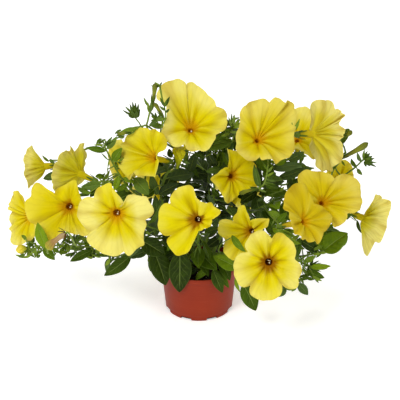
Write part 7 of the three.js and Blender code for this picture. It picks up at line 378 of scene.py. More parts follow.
    ['','shoot_right',[87.6,-19.7,150.9],[92.2,-13.9,157.7],[0.031,-0.768,0.639],3.5,[[87.6,-19.7,150.9],[87.9,-20.4,153.8]]],
    ['','shoot_right',[186.0,-10.2,228.1],[182.1,2.6,241.4],[0.871,-0.204,0.447],8.7,[[186.0,-10.2,228.1],[179.7,-5.3,219.9]]],
    ['','shoot_left_low',[-114.7,-46.0,97.0],[-122.6,-44.1,75.9],[-0.715,-0.669,0.205],11.1,[[-114.7,-46.0,97.0],[-117.1,-41.7,113.2]]],
    ['','shoot_right_low',[129.2,-67.4,82.2],[134.7,-71.9,73.5],[0.465,-0.631,0.622],4.5,[[129.2,-67.4,82.2],[123.4,-71.9,84.9]]],
    ['','shoot_left_high',[-113.7,-27.0,227.4],[-123.5,-17.7,233.8],[-0.442,-0.778,0.446],2.2,[[-113.7,-27.0,227.4],[-109.8,-29.0,229.1]]],
    ['','shoot_left_high',[-111.9,-30.8,231.2],[-114.8,-29.9,217.6],[-0.445,-0.895,0.035],2.1,[[-111.9,-30.8,231.2],[-110.9,-28.4,231.4]]],
    ['','shoot_right_low',[121.6,-63.5,106.9],[128.2,-58.1,134.3],[-0.568,-0.771,0.288],14.9,[[121.6,-63.5,106.9],[121.7,-57.0,105.3]]],
    ['','shoot_left_low',[-209.9,-48.6,113.9],[-210.7,-53.1,101.4],[-0.295,-0.894,0.337],4.8,[[-209.9,-48.6,113.9],[-215.2,-47.3,112.2]]],
    ['','shoot_left_high',[-116.8,-17.2,252.4],[-126.8,-23.4,247.2],[0.318,-0.858,0.405],3.2,[[-116.8,-17.2,252.4],[-113.5,-23.5,248.9]]],
    ['','shoot_middle',[-0.8,0.9,223.8],[-12.2,-6.6,224.3],[0.34,-0.573,-0.746],5.9,[[-0.8,0.9,223.8],[-18.3,-8.7,231.7]]],
    ['','shoot_right',[108.1,-0.8,172.8],[96.8,-0.5,168.1],[-0.064,-0.995,0.076],4.8,[[108.1,-0.8,172.8],[110.3,0.9,162.6]]],
    ['','shoot_right',[99.7,-73.2,159.3],[85.1,-73.7,156.0],[-0.215,-0.056,0.975],5.6,[[99.7,-73.2,159.3],[99.1,-73.4,161.6]]],
    ['','shoot_left_low',[-209.9,-50.5,100.4],[-205.4,-45.4,102.4],[0.577,-0.677,0.457],4.1,[[-209.9,-50.5,100.4],[-212.1,-42.9,110.0]]],
    ['','shoot_right_low',[112.5,-67.9,67.9],[97.7,-84.0,62.3],[0.565,-0.681,0.465],12.8,[[112.5,-67.9,67.9],[124.9,-75.7,81.2]]],
    ['','shoot_left_high',[-135.5,-34.0,197.1],[-151.7,-32.6,186.1],[-0.194,-0.968,0.159],6.4,[[-135.5,-34.0,197.1],[-123.9,-36.6,198.8]]],
    ['','shoot_left_high',[-116.8,-36.8,252.5],[-129.7,-42.4,254.9],[0.407,-0.911,0.068],2.6,[[-116.8,-36.8,252.5],[-115.8,-36.3,252.4]]],
    ['','shoot_left_low',[-170.4,-43.0,105.4],[-180.2,-51.4,106.6],[0.475,-0.438,0.763],5.4,[[-170.4,-43.0,105.4],[-169.5,-36.3,110.1]]],
    ['','shoot_left_low',[-189.7,-45.0,112.2],[-179.9,-47.1,105.5],[0.126,-0.88,0.458],5.4,[[-189.7,-45.0,112.2],[-189.2,-33.5,109.2]]],
    ['','shoot_right_low',[122.3,-76.7,69.5],[109.6,-76.3,69.4],[-0.023,-0.896,-0.443],5.0,[[122.3,-76.7,69.5],[125.8,-77.3,79.7]]],
    ['','shoot_left_low',[-214.0,-62.2,110.6],[-227.4,-67.1,109.7],[0.345,-0.932,-0.107],3.9,[[-214.0,-62.2,110.6],[-218.5,-52.0,114.4]]],
    ['','shoot_right_low',[129.2,-78.2,84.8],[142.3,-79.4,88.4],[-0.176,-0.927,0.331],4.6,[[129.2,-78.2,84.8],[124.9,-75.7,81.2]]],
    ['','shoot_right_low',[143.9,-52.7,89.3],[156.3,-48.1,95.4],[-0.236,-0.481,0.844],2.7,[[143.9,-52.7,89.3],[143.7,-52.8,89.2]]],
    ['','shoot_right_inner',[29.8,9.5,209.0],[47.1,2.3,222.9],[-0.229,-0.952,-0.204],11.9,[[29.8,9.5,209.0],[26.0,1.3,212.6]]],
    ['','shoot_left_low',[-154.6,-47.5,114.9],[-167.4,-48.9,112.0],[0.02,-0.94,0.341],5.3,[[-154.6,-47.5,114.9],[-155.9,-45.6,115.0]]],
    ['','shoot_left_high',[-115.5,-25.9,217.2],[-116.2,-34.6,203.0],[0.996,-0.091,0.007],6.0,[[-115.5,-25.9,217.2],[-106.1,-30.6,221.4]]],
    ['','shoot_left_low',[-221.5,-63.8,112.6],[-229.2,-68.1,111.0],[0.206,-0.646,0.735],4.8,[[-221.5,-63.8,112.6],[-218.5,-52.0,114.4]]],
    ['','shoot_right_inner',[29.0,8.3,228.1],[35.7,10.4,240.5],[0.407,-0.911,-0.07],5.5,[[29.0,8.3,228.1],[25.7,-0.7,227.4]]],
    ['','shoot_right_low',[144.7,-52.3,89.2],[159.3,-46.0,90.3],[-0.285,0.521,0.805],3.9,[[144.7,-52.3,89.2],[143.7,-52.8,89.2]]],
    ['','shoot_right_low',[94.6,-43.4,129.5],[85.4,-32.1,140.4],[0.121,-0.64,0.758],8.0,[[94.6,-43.4,129.5],[82.2,-37.4,122.1]]],
    ['','shoot_left_low',[-194.4,-31.0,107.8],[-188.1,-33.8,95.0],[0.694,-0.55,0.465],3.2,[[-194.4,-31.0,107.8],[-194.2,-32.8,108.8]]],
    ['','shoot_right_high',[108.9,49.1,154.8],[117.6,46.3,149.1],[-0.389,-0.91,-0.147],4.7,[[108.9,49.1,154.8],[113.8,47.8,158.5]]],
    ['','shoot_left_low',[-180.3,-30.2,110.4],[-171.8,-32.0,122.5],[0.427,-0.803,-0.416],3.8,[[-180.3,-30.2,110.4],[-181.2,-34.5,109.8]]],
    ['','shoot_left_high',[-127.5,-30.1,250.4],[-120.3,-19.9,254.6],[0.011,-0.385,0.923],3.3,[[-127.5,-30.1,250.4],[-118.4,-31.0,246.6]]],
    ['','shoot_middle',[3.9,-18.3,241.2],[43.3,-8.1,246.3],[0.061,-0.631,0.773],19.6,[[3.9,-18.3,241.2],[-18.3,-8.7,231.7]]],
    ['','shoot_left_low',[-204.1,-36.6,104.0],[-215.8,-39.2,98.2],[0.222,-0.975,-0.01],4.7,[[-204.1,-36.6,104.0],[-204.7,-32.6,105.9]]],
    ['','shoot_right_inner',[41.0,-9.6,267.6],[31.4,-15.0,269.6],[0.024,-0.385,-0.922],3.2,[[41.0,-9.6,267.6],[41.7,-10.7,264.2]]],
    ['','shoot_right_high',[114.1,9.3,214.4],[128.1,2.8,212.4],[-0.433,-0.878,-0.205],5.9,[[114.1,9.3,214.4],[113.3,-3.7,217.2]]],
    ['','shoot_right_low',[137.4,-72.3,82.7],[148.7,-71.4,80.5],[0.123,-0.956,0.265],4.4,[[137.4,-72.3,82.7],[138.2,-61.3,87.5]]],
    ['','shoot_left_low',[-92.2,-45.8,97.8],[-77.1,-36.1,94.9],[0.011,-0.296,-0.955],6.4,[[-92.2,-45.8,97.8],[-86.7,-50.9,104.8]]],
    ['','shoot_left_high',[-97.6,-10.9,262.6],[-105.5,-17.6,259.1],[0.252,-0.67,0.699],3.2,[[-97.6,-10.9,262.6],[-93.5,-15.5,258.2]]],
    ['','shoot_right_inner',[34.9,-6.1,257.3],[34.9,-4.5,272.1],[-0.335,-0.937,0.103],2.3,[[34.9,-6.1,257.3],[37.4,-8.9,255.3]]],
    ['','shoot_left_low',[-157.6,-66.8,131.0],[-141.9,-65.7,127.9],[0.179,-0.734,0.655],3.3,[[-157.6,-66.8,131.0],[-158.7,-66.9,131.2]]],
    ['','shoot_right_inner',[38.4,-14.6,276.2],[50.9,-9.6,278.4],[0.28,-0.873,0.4],3.1,[[38.4,-14.6,276.2],[41.7,-10.7,264.2]]],
    ['','shoot_right_low',[159.3,-50.5,111.6],[151.5,-46.0,127.8],[0.373,-0.832,0.41],7.9,[[159.3,-50.5,111.6],[158.3,-51.9,111.0]]],
    ['','shoot_right_low',[121.0,-52.9,121.4],[136.4,-50.5,112.8],[0.148,-0.989,-0.014],5.7,[[121.0,-52.9,121.4],[121.7,-57.0,105.3]]],
    ['','shoot_right_low',[143.0,-52.8,89.6],[129.3,-54.1,97.8],[-0.064,-0.965,-0.255],3.1,[[143.0,-52.8,89.6],[143.7,-52.8,89.2]]],
    ['','shoot_right_low',[146.5,-57.4,116.7],[158.8,-54.7,120.8],[0.129,-0.964,0.233],4.9,[[146.5,-57.4,116.7],[147.9,-54.0,108.7]]],
    ['','shoot_left_low',[-220.8,-51.7,108.7],[-210.2,-57.3,104.3],[0.132,-0.452,0.882],3.8,[[-220.8,-51.7,108.7],[-218.5,-52.0,114.4]]],
    ['','shoot_right_inner',[39.1,26.8,147.9],[21.7,23.5,152.9],[0.011,-0.855,-0.519],7.3,[[39.1,26.8,147.9],[19.3,16.6,149.2]]],
    ['','shoot_right_low',[119.8,-69.9,61.4],[126.4,-70.5,72.8],[0.15,-0.979,-0.14],5.1,[[119.8,-69.9,61.4],[125.8,-77.3,79.7]]],
    ['','shoot_right_high',[126.8,78.3,156.0],[115.6,74.1,153.5],[0.398,-0.835,-0.379],4.5,[[126.8,78.3,156.0],[130.0,74.7,157.6]]],
    ['','shoot_left_high',[-101.3,-33.8,218.8],[-106.2,-26.9,227.7],[0.053,-0.775,0.63],3.5,[[-101.3,-33.8,218.8],[-103.5,-31.3,216.1]]],
    ['','shoot_left_high',[-90.6,-27.0,183.0],[-95.6,-25.8,193.8],[-0.044,-0.995,0.087],4.7,[[-90.6,-27.0,183.0],[-86.9,-25.7,187.1]]],
    ['','shoot_right_inner',[21.5,3.6,249.2],[32.5,4.5,250.3],[0.072,-0.99,0.117],4.8,[[21.5,3.6,249.2],[31.9,-5.9,243.8]]],
    ['','shoot_right',[150.7,9.1,200.8],[139.8,21.3,198.5],[-0.527,-0.581,-0.621],5.4,[[150.7,9.1,200.8],[133.2,9.6,187.3]]],
    ['','shoot_right_inner',[17.8,5.2,224.7],[23.5,-0.7,218.4],[-0.675,-0.733,0.08],4.7,[[17.8,5.2,224.7],[24.1,0.8,222.7]]],
    ['','shoot_left_low',[-172.7,-33.6,113.6],[-165.8,-26.3,120.7],[0.31,-0.797,0.519],3.9,[[-172.7,-33.6,113.6],[-171.9,-35.9,110.1]]],
    ['','shoot_right_inner',[30.9,-19.1,254.2],[33.5,-11.6,264.2],[-0.666,-0.507,0.547],3.6,[[30.9,-19.1,254.2],[36.2,-8.3,252.7]]],
    ['','shoot_left_low',[-159.2,-67.3,131.3],[-163.7,-71.2,132.1],[-0.567,0.735,0.373],2.9,[[-159.2,-67.3,131.3],[-158.7,-66.9,131.2]]],
    ['','shoot_left_high',[-92.7,-30.7,221.1],[-104.8,-30.1,228.2],[0.496,-0.135,0.858],3.3,[[-92.7,-30.7,221.1],[-103.5,-31.3,216.1]]],
    ['','shoot_left_low',[-166.0,-37.9,123.9],[-173.7,-37.0,124.5],[-0.112,-0.994,-0.004],5.4,[[-166.0,-37.9,123.9],[-162.0,-34.0,123.2]]],
    ['','shoot_right_inner',[8.9,-19.5,226.8],[-6.7,-15.2,234.9],[-0.375,-0.897,-0.235],6.8,[[8.9,-19.5,226.8],[26.7,-4.0,233.6]]],
    ['','shoot_left_low',[-218.8,-48.8,113.1],[-210.2,-48.7,108.9],[0.273,-0.792,0.547],3.3,[[-218.8,-48.8,113.1],[-216.9,-49.7,113.3]]],
    ['','shoot_right_low',[148.4,-55.9,110.4],[138.1,-50.3,109.5],[-0.474,-0.837,0.273],2.1,[[148.4,-55.9,110.4],[147.9,-54.0,108.7]]],
    ['','shoot_back',[10.3,22.6,94.7],[0.2,25.3,97.0],[-0.096,-0.835,0.542],3.8,[[10.3,22.6,94.7],[9.9,25.8,94.5]]],
    ['','shoot_left_high',[-99.1,-25.4,257.5],[-92.3,-23.5,256.7],[0.265,-0.961,-0.075],2.3,[[-99.1,-25.4,257.5],[-101.6,-18.4,254.5]]],
    ['','shoot_right_low',[131.9,-67.0,100.5],[129.0,-60.1,110.5],[-0.031,-0.828,0.56],2.6,[[131.9,-67.0,100.5],[134.6,-65.1,102.0]]],
    ['','shoot_right_inner',[30.3,-8.0,264.9],[43.6,-2.8,269.0],[-0.015,-0.594,0.804],3.3,[[30.3,-8.0,264.9],[39.6,-9.8,259.8]]],
    ['','shoot_left_low',[-65.5,-47.5,91.3],[-63.0,-38.3,99.0],[-0.599,-0.41,0.688],4.6,[[-65.5,-47.5,91.3],[-66.6,-38.6,104.3]]],
    ['','shoot_left_low',[-217.1,-32.8,111.6],[-226.2,-35.2,111.7],[0.242,-0.911,0.332],3.5,[[-217.1,-32.8,111.6],[-215.8,-32.5,111.6]]],
    ['','shoot_left_low',[-173.2,-43.2,106.0],[-173.8,-33.7,116.0],[0.528,-0.602,0.599],3.6,[[-173.2,-43.2,106.0],[-171.9,-35.9,110.1]]],
    ['','shoot_right_low',[130.7,-67.0,103.9],[125.5,-62.3,114.4],[-0.795,-0.593,-0.129],2.5,[[130.7,-67.0,103.9],[133.2,-64.6,105.1]]],
    ['','shoot_left_high',[-101.2,-33.7,229.2],[-96.9,-39.2,227.5],[-0.648,-0.646,0.404],1.9,[[-101.2,-33.7,229.2],[-108.2,-30.0,227.0]]],
    ['','shoot_right',[200.4,-5.5,145.6],[195.4,-3.0,130.8],[-0.477,-0.879,0.009],5.4,[[200.4,-5.5,145.6],[192.1,6.2,145.4]]],
    ['','shoot_right_low',[132.0,-68.8,94.9],[133.1,-72.9,87.9],[-0.927,-0.371,0.064],2.9,[[132.0,-68.8,94.9],[135.9,-64.9,100.2]]],
    ['','shoot_right',[84.4,1.4,157.3],[82.3,12.6,165.5],[0.494,-0.447,0.746],4.5,[[84.4,1.4,157.3],[86.7,-1.9,151.6]]],
    ['','shoot_left_low',[-179.9,-38.6,107.8],[-177.9,-45.2,100.2],[-0.619,-0.663,0.421],4.7,[[-179.9,-38.6,107.8],[-178.9,-34.8,109.9]]],
    ['','shoot_left_high',[-94.7,-36.1,207.3],[-79.8,-41.6,203.4],[-0.101,-0.749,0.655],7.0,[[-94.7,-36.1,207.3],[-97.5,-31.2,204.9]]],
    ['','shoot_left_high',[-197.9,28.8,201.3],[-206.6,28.5,210.1],[-0.141,-0.975,-0.172],4.3,[[-197.9,28.8,201.3],[-174.3,27.2,204.1]]],
    ['','shoot_left_high',[-99.9,-39.8,230.1],[-92.9,-33.5,234.6],[0.145,-0.677,0.722],2.9,[[-99.9,-39.8,230.1],[-108.2,-30.0,227.0]]],
    ['','shoot_right',[97.6,9.1,159.7],[88.9,9.8,150.0],[0.593,-0.562,-0.576],4.3,[[97.6,9.1,159.7],[99.7,-0.3,157.9]]],
    ['','shoot_right_low',[154.9,-60.2,112.6],[163.4,-60.7,113.8],[-0.085,-0.969,0.233],3.3,[[154.9,-60.2,112.6],[153.9,-54.1,111.8]]],
    ['','shoot_right_inner',[11.5,19.7,157.7],[21.0,4.4,149.4],[-0.712,-0.622,0.325],7.7,[[11.5,19.7,157.7],[20.0,16.0,157.0]]],
    ['','shoot_left_low',[-180.0,-35.6,111.8],[-184.5,-34.9,103.7],[0.205,-0.959,-0.197],3.2,[[-180.0,-35.6,111.8],[-178.9,-34.8,109.9]]],
    ['','shoot_right_low',[149.0,-60.5,80.0],[154.4,-67.4,72.5],[-0.64,-0.737,0.216],4.1,[[149.0,-60.5,80.0],[138.2,-61.3,87.5]]],
    ['','shoot_right_inner',[32.9,-17.8,238.3],[41.7,-8.8,243.9],[0.373,-0.725,0.579],3.5,[[32.9,-17.8,238.3],[31.9,-5.9,243.8]]],
    ['','shoot_left_high',[-92.7,-17.1,255.4],[-104.5,-18.2,258.0],[0.081,-0.996,-0.038],2.6,[[-92.7,-17.1,255.4],[-93.5,-15.5,258.2]]],
    ['','shoot_left_low',[-216.1,-32.4,112.0],[-225.1,-31.3,125.3],[0.397,-0.853,0.339],4.0,[[-216.1,-32.4,112.0],[-215.8,-32.5,111.6]]],
    ['','shoot_left_high',[-132.0,16.5,236.2],[-127.2,22.5,237.6],[0.769,-0.635,0.068],2.4,[[-132.0,16.5,236.2],[-133.6,12.5,228.5]]],
    ['','shoot_right_low',[143.5,-52.9,89.3],[130.2,-59.2,95.6],[0.189,-0.861,-0.472],2.4,[[143.5,-52.9,89.3],[143.7,-52.8,89.2]]],
    ['','shoot_right_low',[145.1,-63.7,92.4],[156.7,-67.8,92.4],[-0.335,-0.934,-0.123],2.9,[[145.1,-63.7,92.4],[141.5,-62.9,93.8]]],
    ['','shoot_left_low',[-222.3,-62.6,108.8],[-236.0,-57.9,109.2],[-0.302,-0.916,0.265],3.1,[[-222.3,-62.6,108.8],[-218.5,-52.0,114.4]]],
    ['','shoot_left_low',[-185.3,-39.0,102.2],[-189.3,-46.3,97.0],[-0.456,-0.338,0.823],3.3,[[-185.3,-39.0,102.2],[-184.1,-34.1,109.6]]],
    ['','shoot_right_inner',[44.3,-7.5,269.7],[42.6,-6.8,280.2],[0.508,-0.851,0.135],2.4,[[44.3,-7.5,269.7],[41.7,-10.7,264.2]]],
    ['','shoot_left_low',[-116.6,-44.2,105.4],[-114.0,-51.8,93.0],[-0.133,-0.859,0.494],3.5,[[-116.6,-44.2,105.4],[-117.1,-41.7,113.2]]],
    ['','shoot_right_high',[62.7,1.7,150.1],[69.7,-6.8,141.1],[-0.46,-0.796,0.394],5.9,[[62.7,1.7,150.1],[63.1,11.6,148.0]]],
    ['','shoot_left_low',[-137.7,-49.6,98.4],[-149.7,-43.4,100.0],[-0.262,-0.682,0.683],3.4,[[-137.7,-49.6,98.4],[-137.3,-45.2,101.6]]],
    ['','shoot_right_low',[151.0,-66.7,94.1],[165.4,-63.9,92.4],[0.136,-0.926,-0.351],3.4,[[151.0,-66.7,94.1],[141.5,-62.9,93.8]]],
    ['','shoot_right',[30.7,-4.6,96.1],[23.2,-3.1,113.6],[0.586,-0.745,0.319],8.5,[[30.7,-4.6,96.1],[24.8,-7.2,98.6]]],
    ['','shoot_left_low',[-187.4,-33.1,107.6],[-196.1,-37.6,108.4],[0.447,-0.784,0.431],2.2,[[-187.4,-33.1,107.6],[-186.6,-33.8,109.4]]],
    ['','shoot_middle',[-45.7,-22.2,324.0],[-54.4,-14.7,326.5],[-0.663,-0.745,-0.077],3.8,[[-45.7,-22.2,324.0],[-43.3,-36.2,306.5]]],
    ['','shoot_right_low',[159.9,-46.9,109.5],[150.9,-50.4,100.0],[0.078,-0.956,0.284],3.6,[[159.9,-46.9,109.5],[162.3,-51.1,111.9]]],
    ['','shoot_left_high',[-122.3,-39.0,203.3],[-111.6,-34.6,218.1],[0.666,-0.695,-0.271],6.5,[[-122.3,-39.0,203.3],[-120.1,-38.5,202.5]]],
    ['','shoot_right_low',[124.1,-70.1,81.7],[130.7,-74.2,76.5],[0.291,-0.528,0.798],4.6,[[124.1,-70.1,81.7],[123.4,-71.9,84.9]]],
    ['','shoot_right_low',[144.6,-52.9,88.7],[158.9,-54.7,81.9],[-0.307,-0.858,-0.412],3.9,[[144.6,-52.9,88.7],[143.7,-52.8,89.2]]],
    ['','shoot_right_inner',[46.0,0.1,253.4],[46.4,3.1,225.3],[-0.129,-0.986,-0.107],6.4,[[46.0,0.1,253.4],[35.4,-7.9,251.1]]],
    ['','shoot_middle',[-35.3,-2.6,220.2],[-38.4,0.4,231.9],[-0.188,-0.962,0.197],8.2,[[-35.3,-2.6,220.2],[-27.6,-10.6,223.4]]],
    ['','shoot_left_low',[-144.6,-31.7,102.9],[-148.3,-28.7,120.3],[-0.043,-0.986,0.161],7.1,[[-144.6,-31.7,102.9],[-145.4,-39.7,110.4]]],
    ['','shoot_back',[4.6,49.4,134.7],[-3.8,52.4,140.6],[-0.343,-0.939,-0.009],6.9,[[4.6,49.4,134.7],[14.0,41.4,141.8]]],
    ['','shoot_left_low',[-137.4,-32.6,102.7],[-130.1,-29.6,94.5],[0.12,-0.962,-0.244],6.5,[[-137.4,-32.6,102.7],[-133.3,-40.6,111.2]]],
    ['','shoot_left_high',[-114.5,-23.4,196.8],[-126.4,-20.4,189.1],[-0.086,-0.966,-0.242],6.4,[[-114.5,-23.4,196.8],[-100.4,-31.4,210.2]]],
    ['','shoot_right',[65.8,3.6,128.4],[75.8,6.6,128.7],[0.289,-0.944,-0.157],6.7,[[65.8,3.6,128.4],[65.7,-4.4,140.7]]],
    ['','shoot_right_low',[125.1,-48.6,100.3],[132.7,-45.6,90.6],[-0.043,-0.944,-0.328],6.5,[[125.1,-48.6,100.3],[127.1,-56.6,105.6]]],
    ['','shoot_left_high',[-107.8,-23.3,190.4],[-114.6,-20.3,196.5],[-0.336,-0.938,0.089],6.4,[[-107.8,-23.3,190.4],[-98.6,-31.3,206.9]]],
    ['','shoot_left_low',[-159.2,-30.4,118.6],[-150.6,-27.4,121.9],[0.337,-0.941,-0.022],6.5,[[-159.2,-30.4,118.6],[-155.8,-38.4,110.2]]],
    ['','shoot_right_inner',[5.9,10.4,224.2],[-3.4,13.4,220.1],[-0.189,-0.947,-0.261],6.5,[[5.9,10.4,224.2],[22.6,2.4,217.8]]],
    ['','shoot_right',[117.5,7.7,128.3],[110.5,10.7,119.4],[-0.193,-0.966,-0.173],6.7,[[117.5,7.7,128.3],[100.1,-0.3,158.1]]],
    ['','shoot_right_inner',[24.3,24.3,120.3],[27.7,27.3,107.9],[-0.087,-0.963,-0.256],6.8,[[24.3,24.3,120.3],[15.7,16.3,121.6]]],
    ['','shoot_right_low',[90.5,-50.2,129.8],[98.5,-47.2,134.3],[0.293,-0.95,0.112],6.4,[[90.5,-50.2,129.8],[95.0,-58.2,104.3]]],
    ['','shoot_right_high',[53.4,18.9,134.7],[44.8,21.9,139.2],[-0.357,-0.932,-0.057],6.7,[[53.4,18.9,134.7],[53.3,10.9,136.2]]],
    ['','shoot_right_low',[153.7,-44.8,114.4],[147.5,-41.8,121.3],[-0.393,-0.919,0.045],6.5,[[153.7,-44.8,114.4],[153.8,-52.8,110.0]]],
    ['','shoot_left_low',[-93.7,-33.3,97.0],[-103.2,-30.3,91.0],[-0.169,-0.962,-0.212],6.6,[[-93.7,-33.3,97.0],[-99.5,-41.3,115.1]]],
    ['','shoot_middle',[-61.5,-35.0,302.3],[-66.6,-37.0,314.9],[0.104,-0.988,-0.114],2.9,[[-61.5,-35.0,302.3],[-59.9,-35.0,299.0]]],
    ['','shoot_middle',[-60.0,-35.5,294.0],[-61.5,-37.0,308.8],[0.067,-0.993,-0.094],3.7,[[-60.0,-35.5,294.0],[-60.2,-35.0,291.9]]],
    ['','shoot_middle',[-59.5,-36.0,294.2],[-57.0,-39.0,311.4],[0.031,-0.984,-0.176],4.1,[[-59.5,-36.0,294.2],[-60.2,-35.0,291.9]]],
    ['','shoot_middle',[-59.3,-35.0,294.5],[-53.5,-33.0,306.7],[0.108,-0.988,0.111],3.4,[[-59.3,-35.0,294.5],[-60.2,-35.0,291.9]]],
    ['','shoot_middle',[-73.1,-31.0,274.5],[-92.1,-37.0,271.1],[0.291,-0.955,0.058],5.4,[[-73.1,-31.0,274.5],[-69.6,-27.5,273.4]]],
    ['','shoot_right_high',[76.2,-46.0,198.6],[69.0,-39.0,227.4],[-0.443,-0.89,0.105],9.5,[[76.2,-46.0,198.6],[79.4,-44.5,200.4]]],
    ['','shoot_right_high',[83.3,-43.0,201.9],[99.9,-40.0,194.4],[0.1,-0.98,-0.171],8.3,[[83.3,-43.0,201.9],[81.9,-43.6,203.0]]],
    ['','shoot_right_high',[84.7,-42.0,207.9],[98.3,-37.0,202.8],[0.322,-0.944,-0.07],2.8,[[84.7,-42.0,207.9],[83.7,-42.0,208.6]]],
    ['','shoot_right_high',[84.9,-41.0,211.6],[94.1,-39.0,216.8],[0.109,-0.978,0.18],3.0,[[84.9,-41.0,211.6],[84.4,-41.0,210.9]]],
    ['','shoot_right_high',[85.6,-40.0,216.6],[92.0,-40.0,225.5],[-0.083,-0.995,0.06],3.2,[[85.6,-40.0,216.6],[85.1,-40.0,215.9]]],
    ['','shoot_right_high',[85.4,-38.0,219.1],[80.2,-37.0,227.6],[-0.08,-0.994,0.069],2.7,[[85.4,-38.0,219.1],[85.7,-38.0,217.8]]],
    ['','shoot_right_high',[84.0,-43.0,204.2],[96.1,-42.0,201.0],[0.091,-0.995,0.034],2.3,[[84.0,-43.0,204.2],[82.7,-43.0,204.9]]],
    ['','shoot_right_high',[75.2,-47.0,197.4],[84.8,-46.0,192.1],[0.099,-0.995,-0.008],3.3,[[75.2,-47.0,197.4],[75.0,-46.5,198.3]]],
    ['','shoot_right_high',[73.3,-47.5,196.9],[63.2,-48.0,200.4],[0.063,-0.997,0.042],3.0,[[73.3,-47.5,196.9],[74.7,-46.6,198.0]]],
    ['','shoot_right_low',[40.9,-71.0,144.3],[58.0,-94.0,133.2],[-0.594,-0.663,0.456],9.0,[[40.9,-71.0,144.3],[34.1,-71.0,136.9],[27.4,-65.0,127.2],[25.3,-47.0,109.2],[28.7,-30.8,96.1]]],
    ['','shoot_right',[84.2,-24.0,175.6],[74.5,-27.0,169.9],[0.159,-0.959,0.236],4.4,[[84.2,-24.0,175.6],[100.7,-16.0,177.7],[117.1,-6.0,177.4],[132.4,2.5,171.5],[140.6,4.0,171.4]]],
    ['','shoot_right',[96.1,-22.0,168.9],[91.1,-23.0,160.8],[-0.052,-0.987,0.153],4.1,[[96.1,-22.0,168.9],[94.1,-19.0,177.0]]],
    ['','shoot_right',[104.7,-14.0,177.9],[109.4,-16.0,186.0],[-0.215,-0.97,-0.115],3.4,[[104.7,-14.0,177.9],[104.8,-13.5,177.5]]],
    ['','shoot_right',[203.3,3.6,204.4],[195.7,0.0,217.9],[-0.377,-0.818,-0.435],7.0,[[203.3,3.6,204.4],[204.7,4.9,205.7]]],
    ['','shoot_right',[205.0,3.4,202.5],[211.5,-3.0,196.3],[-0.576,-0.789,0.213],5.7,[[205.0,3.4,202.5],[203.3,5.0,204.4]]],
    ['','shoot_right',[209.2,3.4,211.9],[202.4,-2.0,227.4],[-0.416,-0.786,-0.458],5.9,[[209.2,3.4,211.9],[210.2,4.4,211.9]]],
    ['','shoot_right',[211.4,3.0,217.0],[212.1,0.0,231.3],[-0.203,-0.96,-0.191],3.1,[[211.4,3.0,217.0],[212.0,4.0,214.4]]],
    ['','shoot_right',[211.9,3.0,217.0],[217.3,6.0,226.5],[-0.039,-0.946,0.321],2.8,[[211.9,3.0,217.0],[212.2,4.0,214.4]]],
    ['','shoot_right',[181.0,-5.0,216.3],[172.1,-9.0,210.0],[0.195,-0.927,0.319],3.1,[[181.0,-5.0,216.3],[181.7,-4.5,217.7]]],
    ['','shoot_right',[181.5,-5.0,218.4],[173.7,-9.0,217.6],[0.444,-0.887,0.124],2.8,[[181.5,-5.0,218.4],[182.1,-4.5,218.7]]],
    ['','shoot_right',[178.5,-4.0,213.0],[165.5,-9.0,205.0],[0.188,-0.941,0.281],4.4,[[178.5,-4.0,213.0],[179.3,-3.5,213.8]]],
    ['','shoot_right',[182.8,-5.0,217.7],[187.1,-9.0,211.7],[-0.367,-0.873,0.32],2.8,[[182.8,-5.0,217.7],[182.2,-4.5,217.9]]],
    ['','shoot_right_high',[118.7,-14.0,261.2],[124.5,-22.0,281.3],[-0.209,-0.928,-0.309],4.3,[[118.7,-14.0,261.2],[119.1,-11.0,256.6]]],
    ['','shoot_right_high',[117.9,-14.0,261.2],[115.3,-20.0,275.6],[-0.04,-0.92,-0.39],2.5,[[117.9,-14.0,261.2],[118.6,-11.0,256.6]]],
    ['','shoot_right_inner',[42.6,-16.0,269.4],[44.0,-21.0,286.6],[-0.064,-0.96,-0.274],4.0,[[42.6,-16.0,269.4],[41.6,-10.0,264.3]]],
    ['','shoot_right_inner',[41.3,-16.0,268.1],[36.6,-21.0,283.3],[0.059,-0.954,-0.295],3.2,[[41.3,-16.0,268.1],[41.6,-10.0,264.3]]],
    ['','shoot_right_inner',[43.8,-16.0,268.7],[51.5,-21.0,281.3],[-0.205,-0.946,-0.251],3.7,[[43.8,-16.0,268.7],[41.6,-10.0,264.3]]],
    ['','shoot_right_inner',[42.6,-16.0,266.7],[55.4,-21.0,274.0],[-0.298,-0.946,-0.127],4.0,[[42.6,-16.0,266.7],[41.6,-10.0,264.3]]],
    ['','shoot_right_inner',[40.1,-16.0,264.0],[29.4,-21.0,266.7],[0.403,-0.911,-0.085],3.7,[[40.1,-16.0,264.0],[41.6,-10.0,264.3]]],
    ['','shoot_right_inner',[38.9,-16.0,261.3],[50.6,-21.0,264.0],[-0.383,-0.922,-0.054],3.8,[[38.9,-16.0,261.3],[41.6,-10.0,264.3]]],
    ['','shoot_right_inner',[41.9,-16.0,268.7],[40.3,-21.0,287.9],[-0.014,-0.967,-0.254],2.7,[[41.9,-16.0,268.7],[41.6,-10.0,264.3]]],
    ['','shoot_right_inner',[37.7,-16.0,260.0],[27.6,-21.0,257.3],[0.408,-0.901,0.147],3.5,[[37.7,-16.0,260.0],[41.6,-10.0,264.3]]],
    ['','shoot_right_inner',[43.8,-16.0,267.4],[54.7,-21.0,278.0],[-0.253,-0.949,-0.189],2.7,[[43.8,-16.0,267.4],[41.6,-10.0,264.3]]],
]
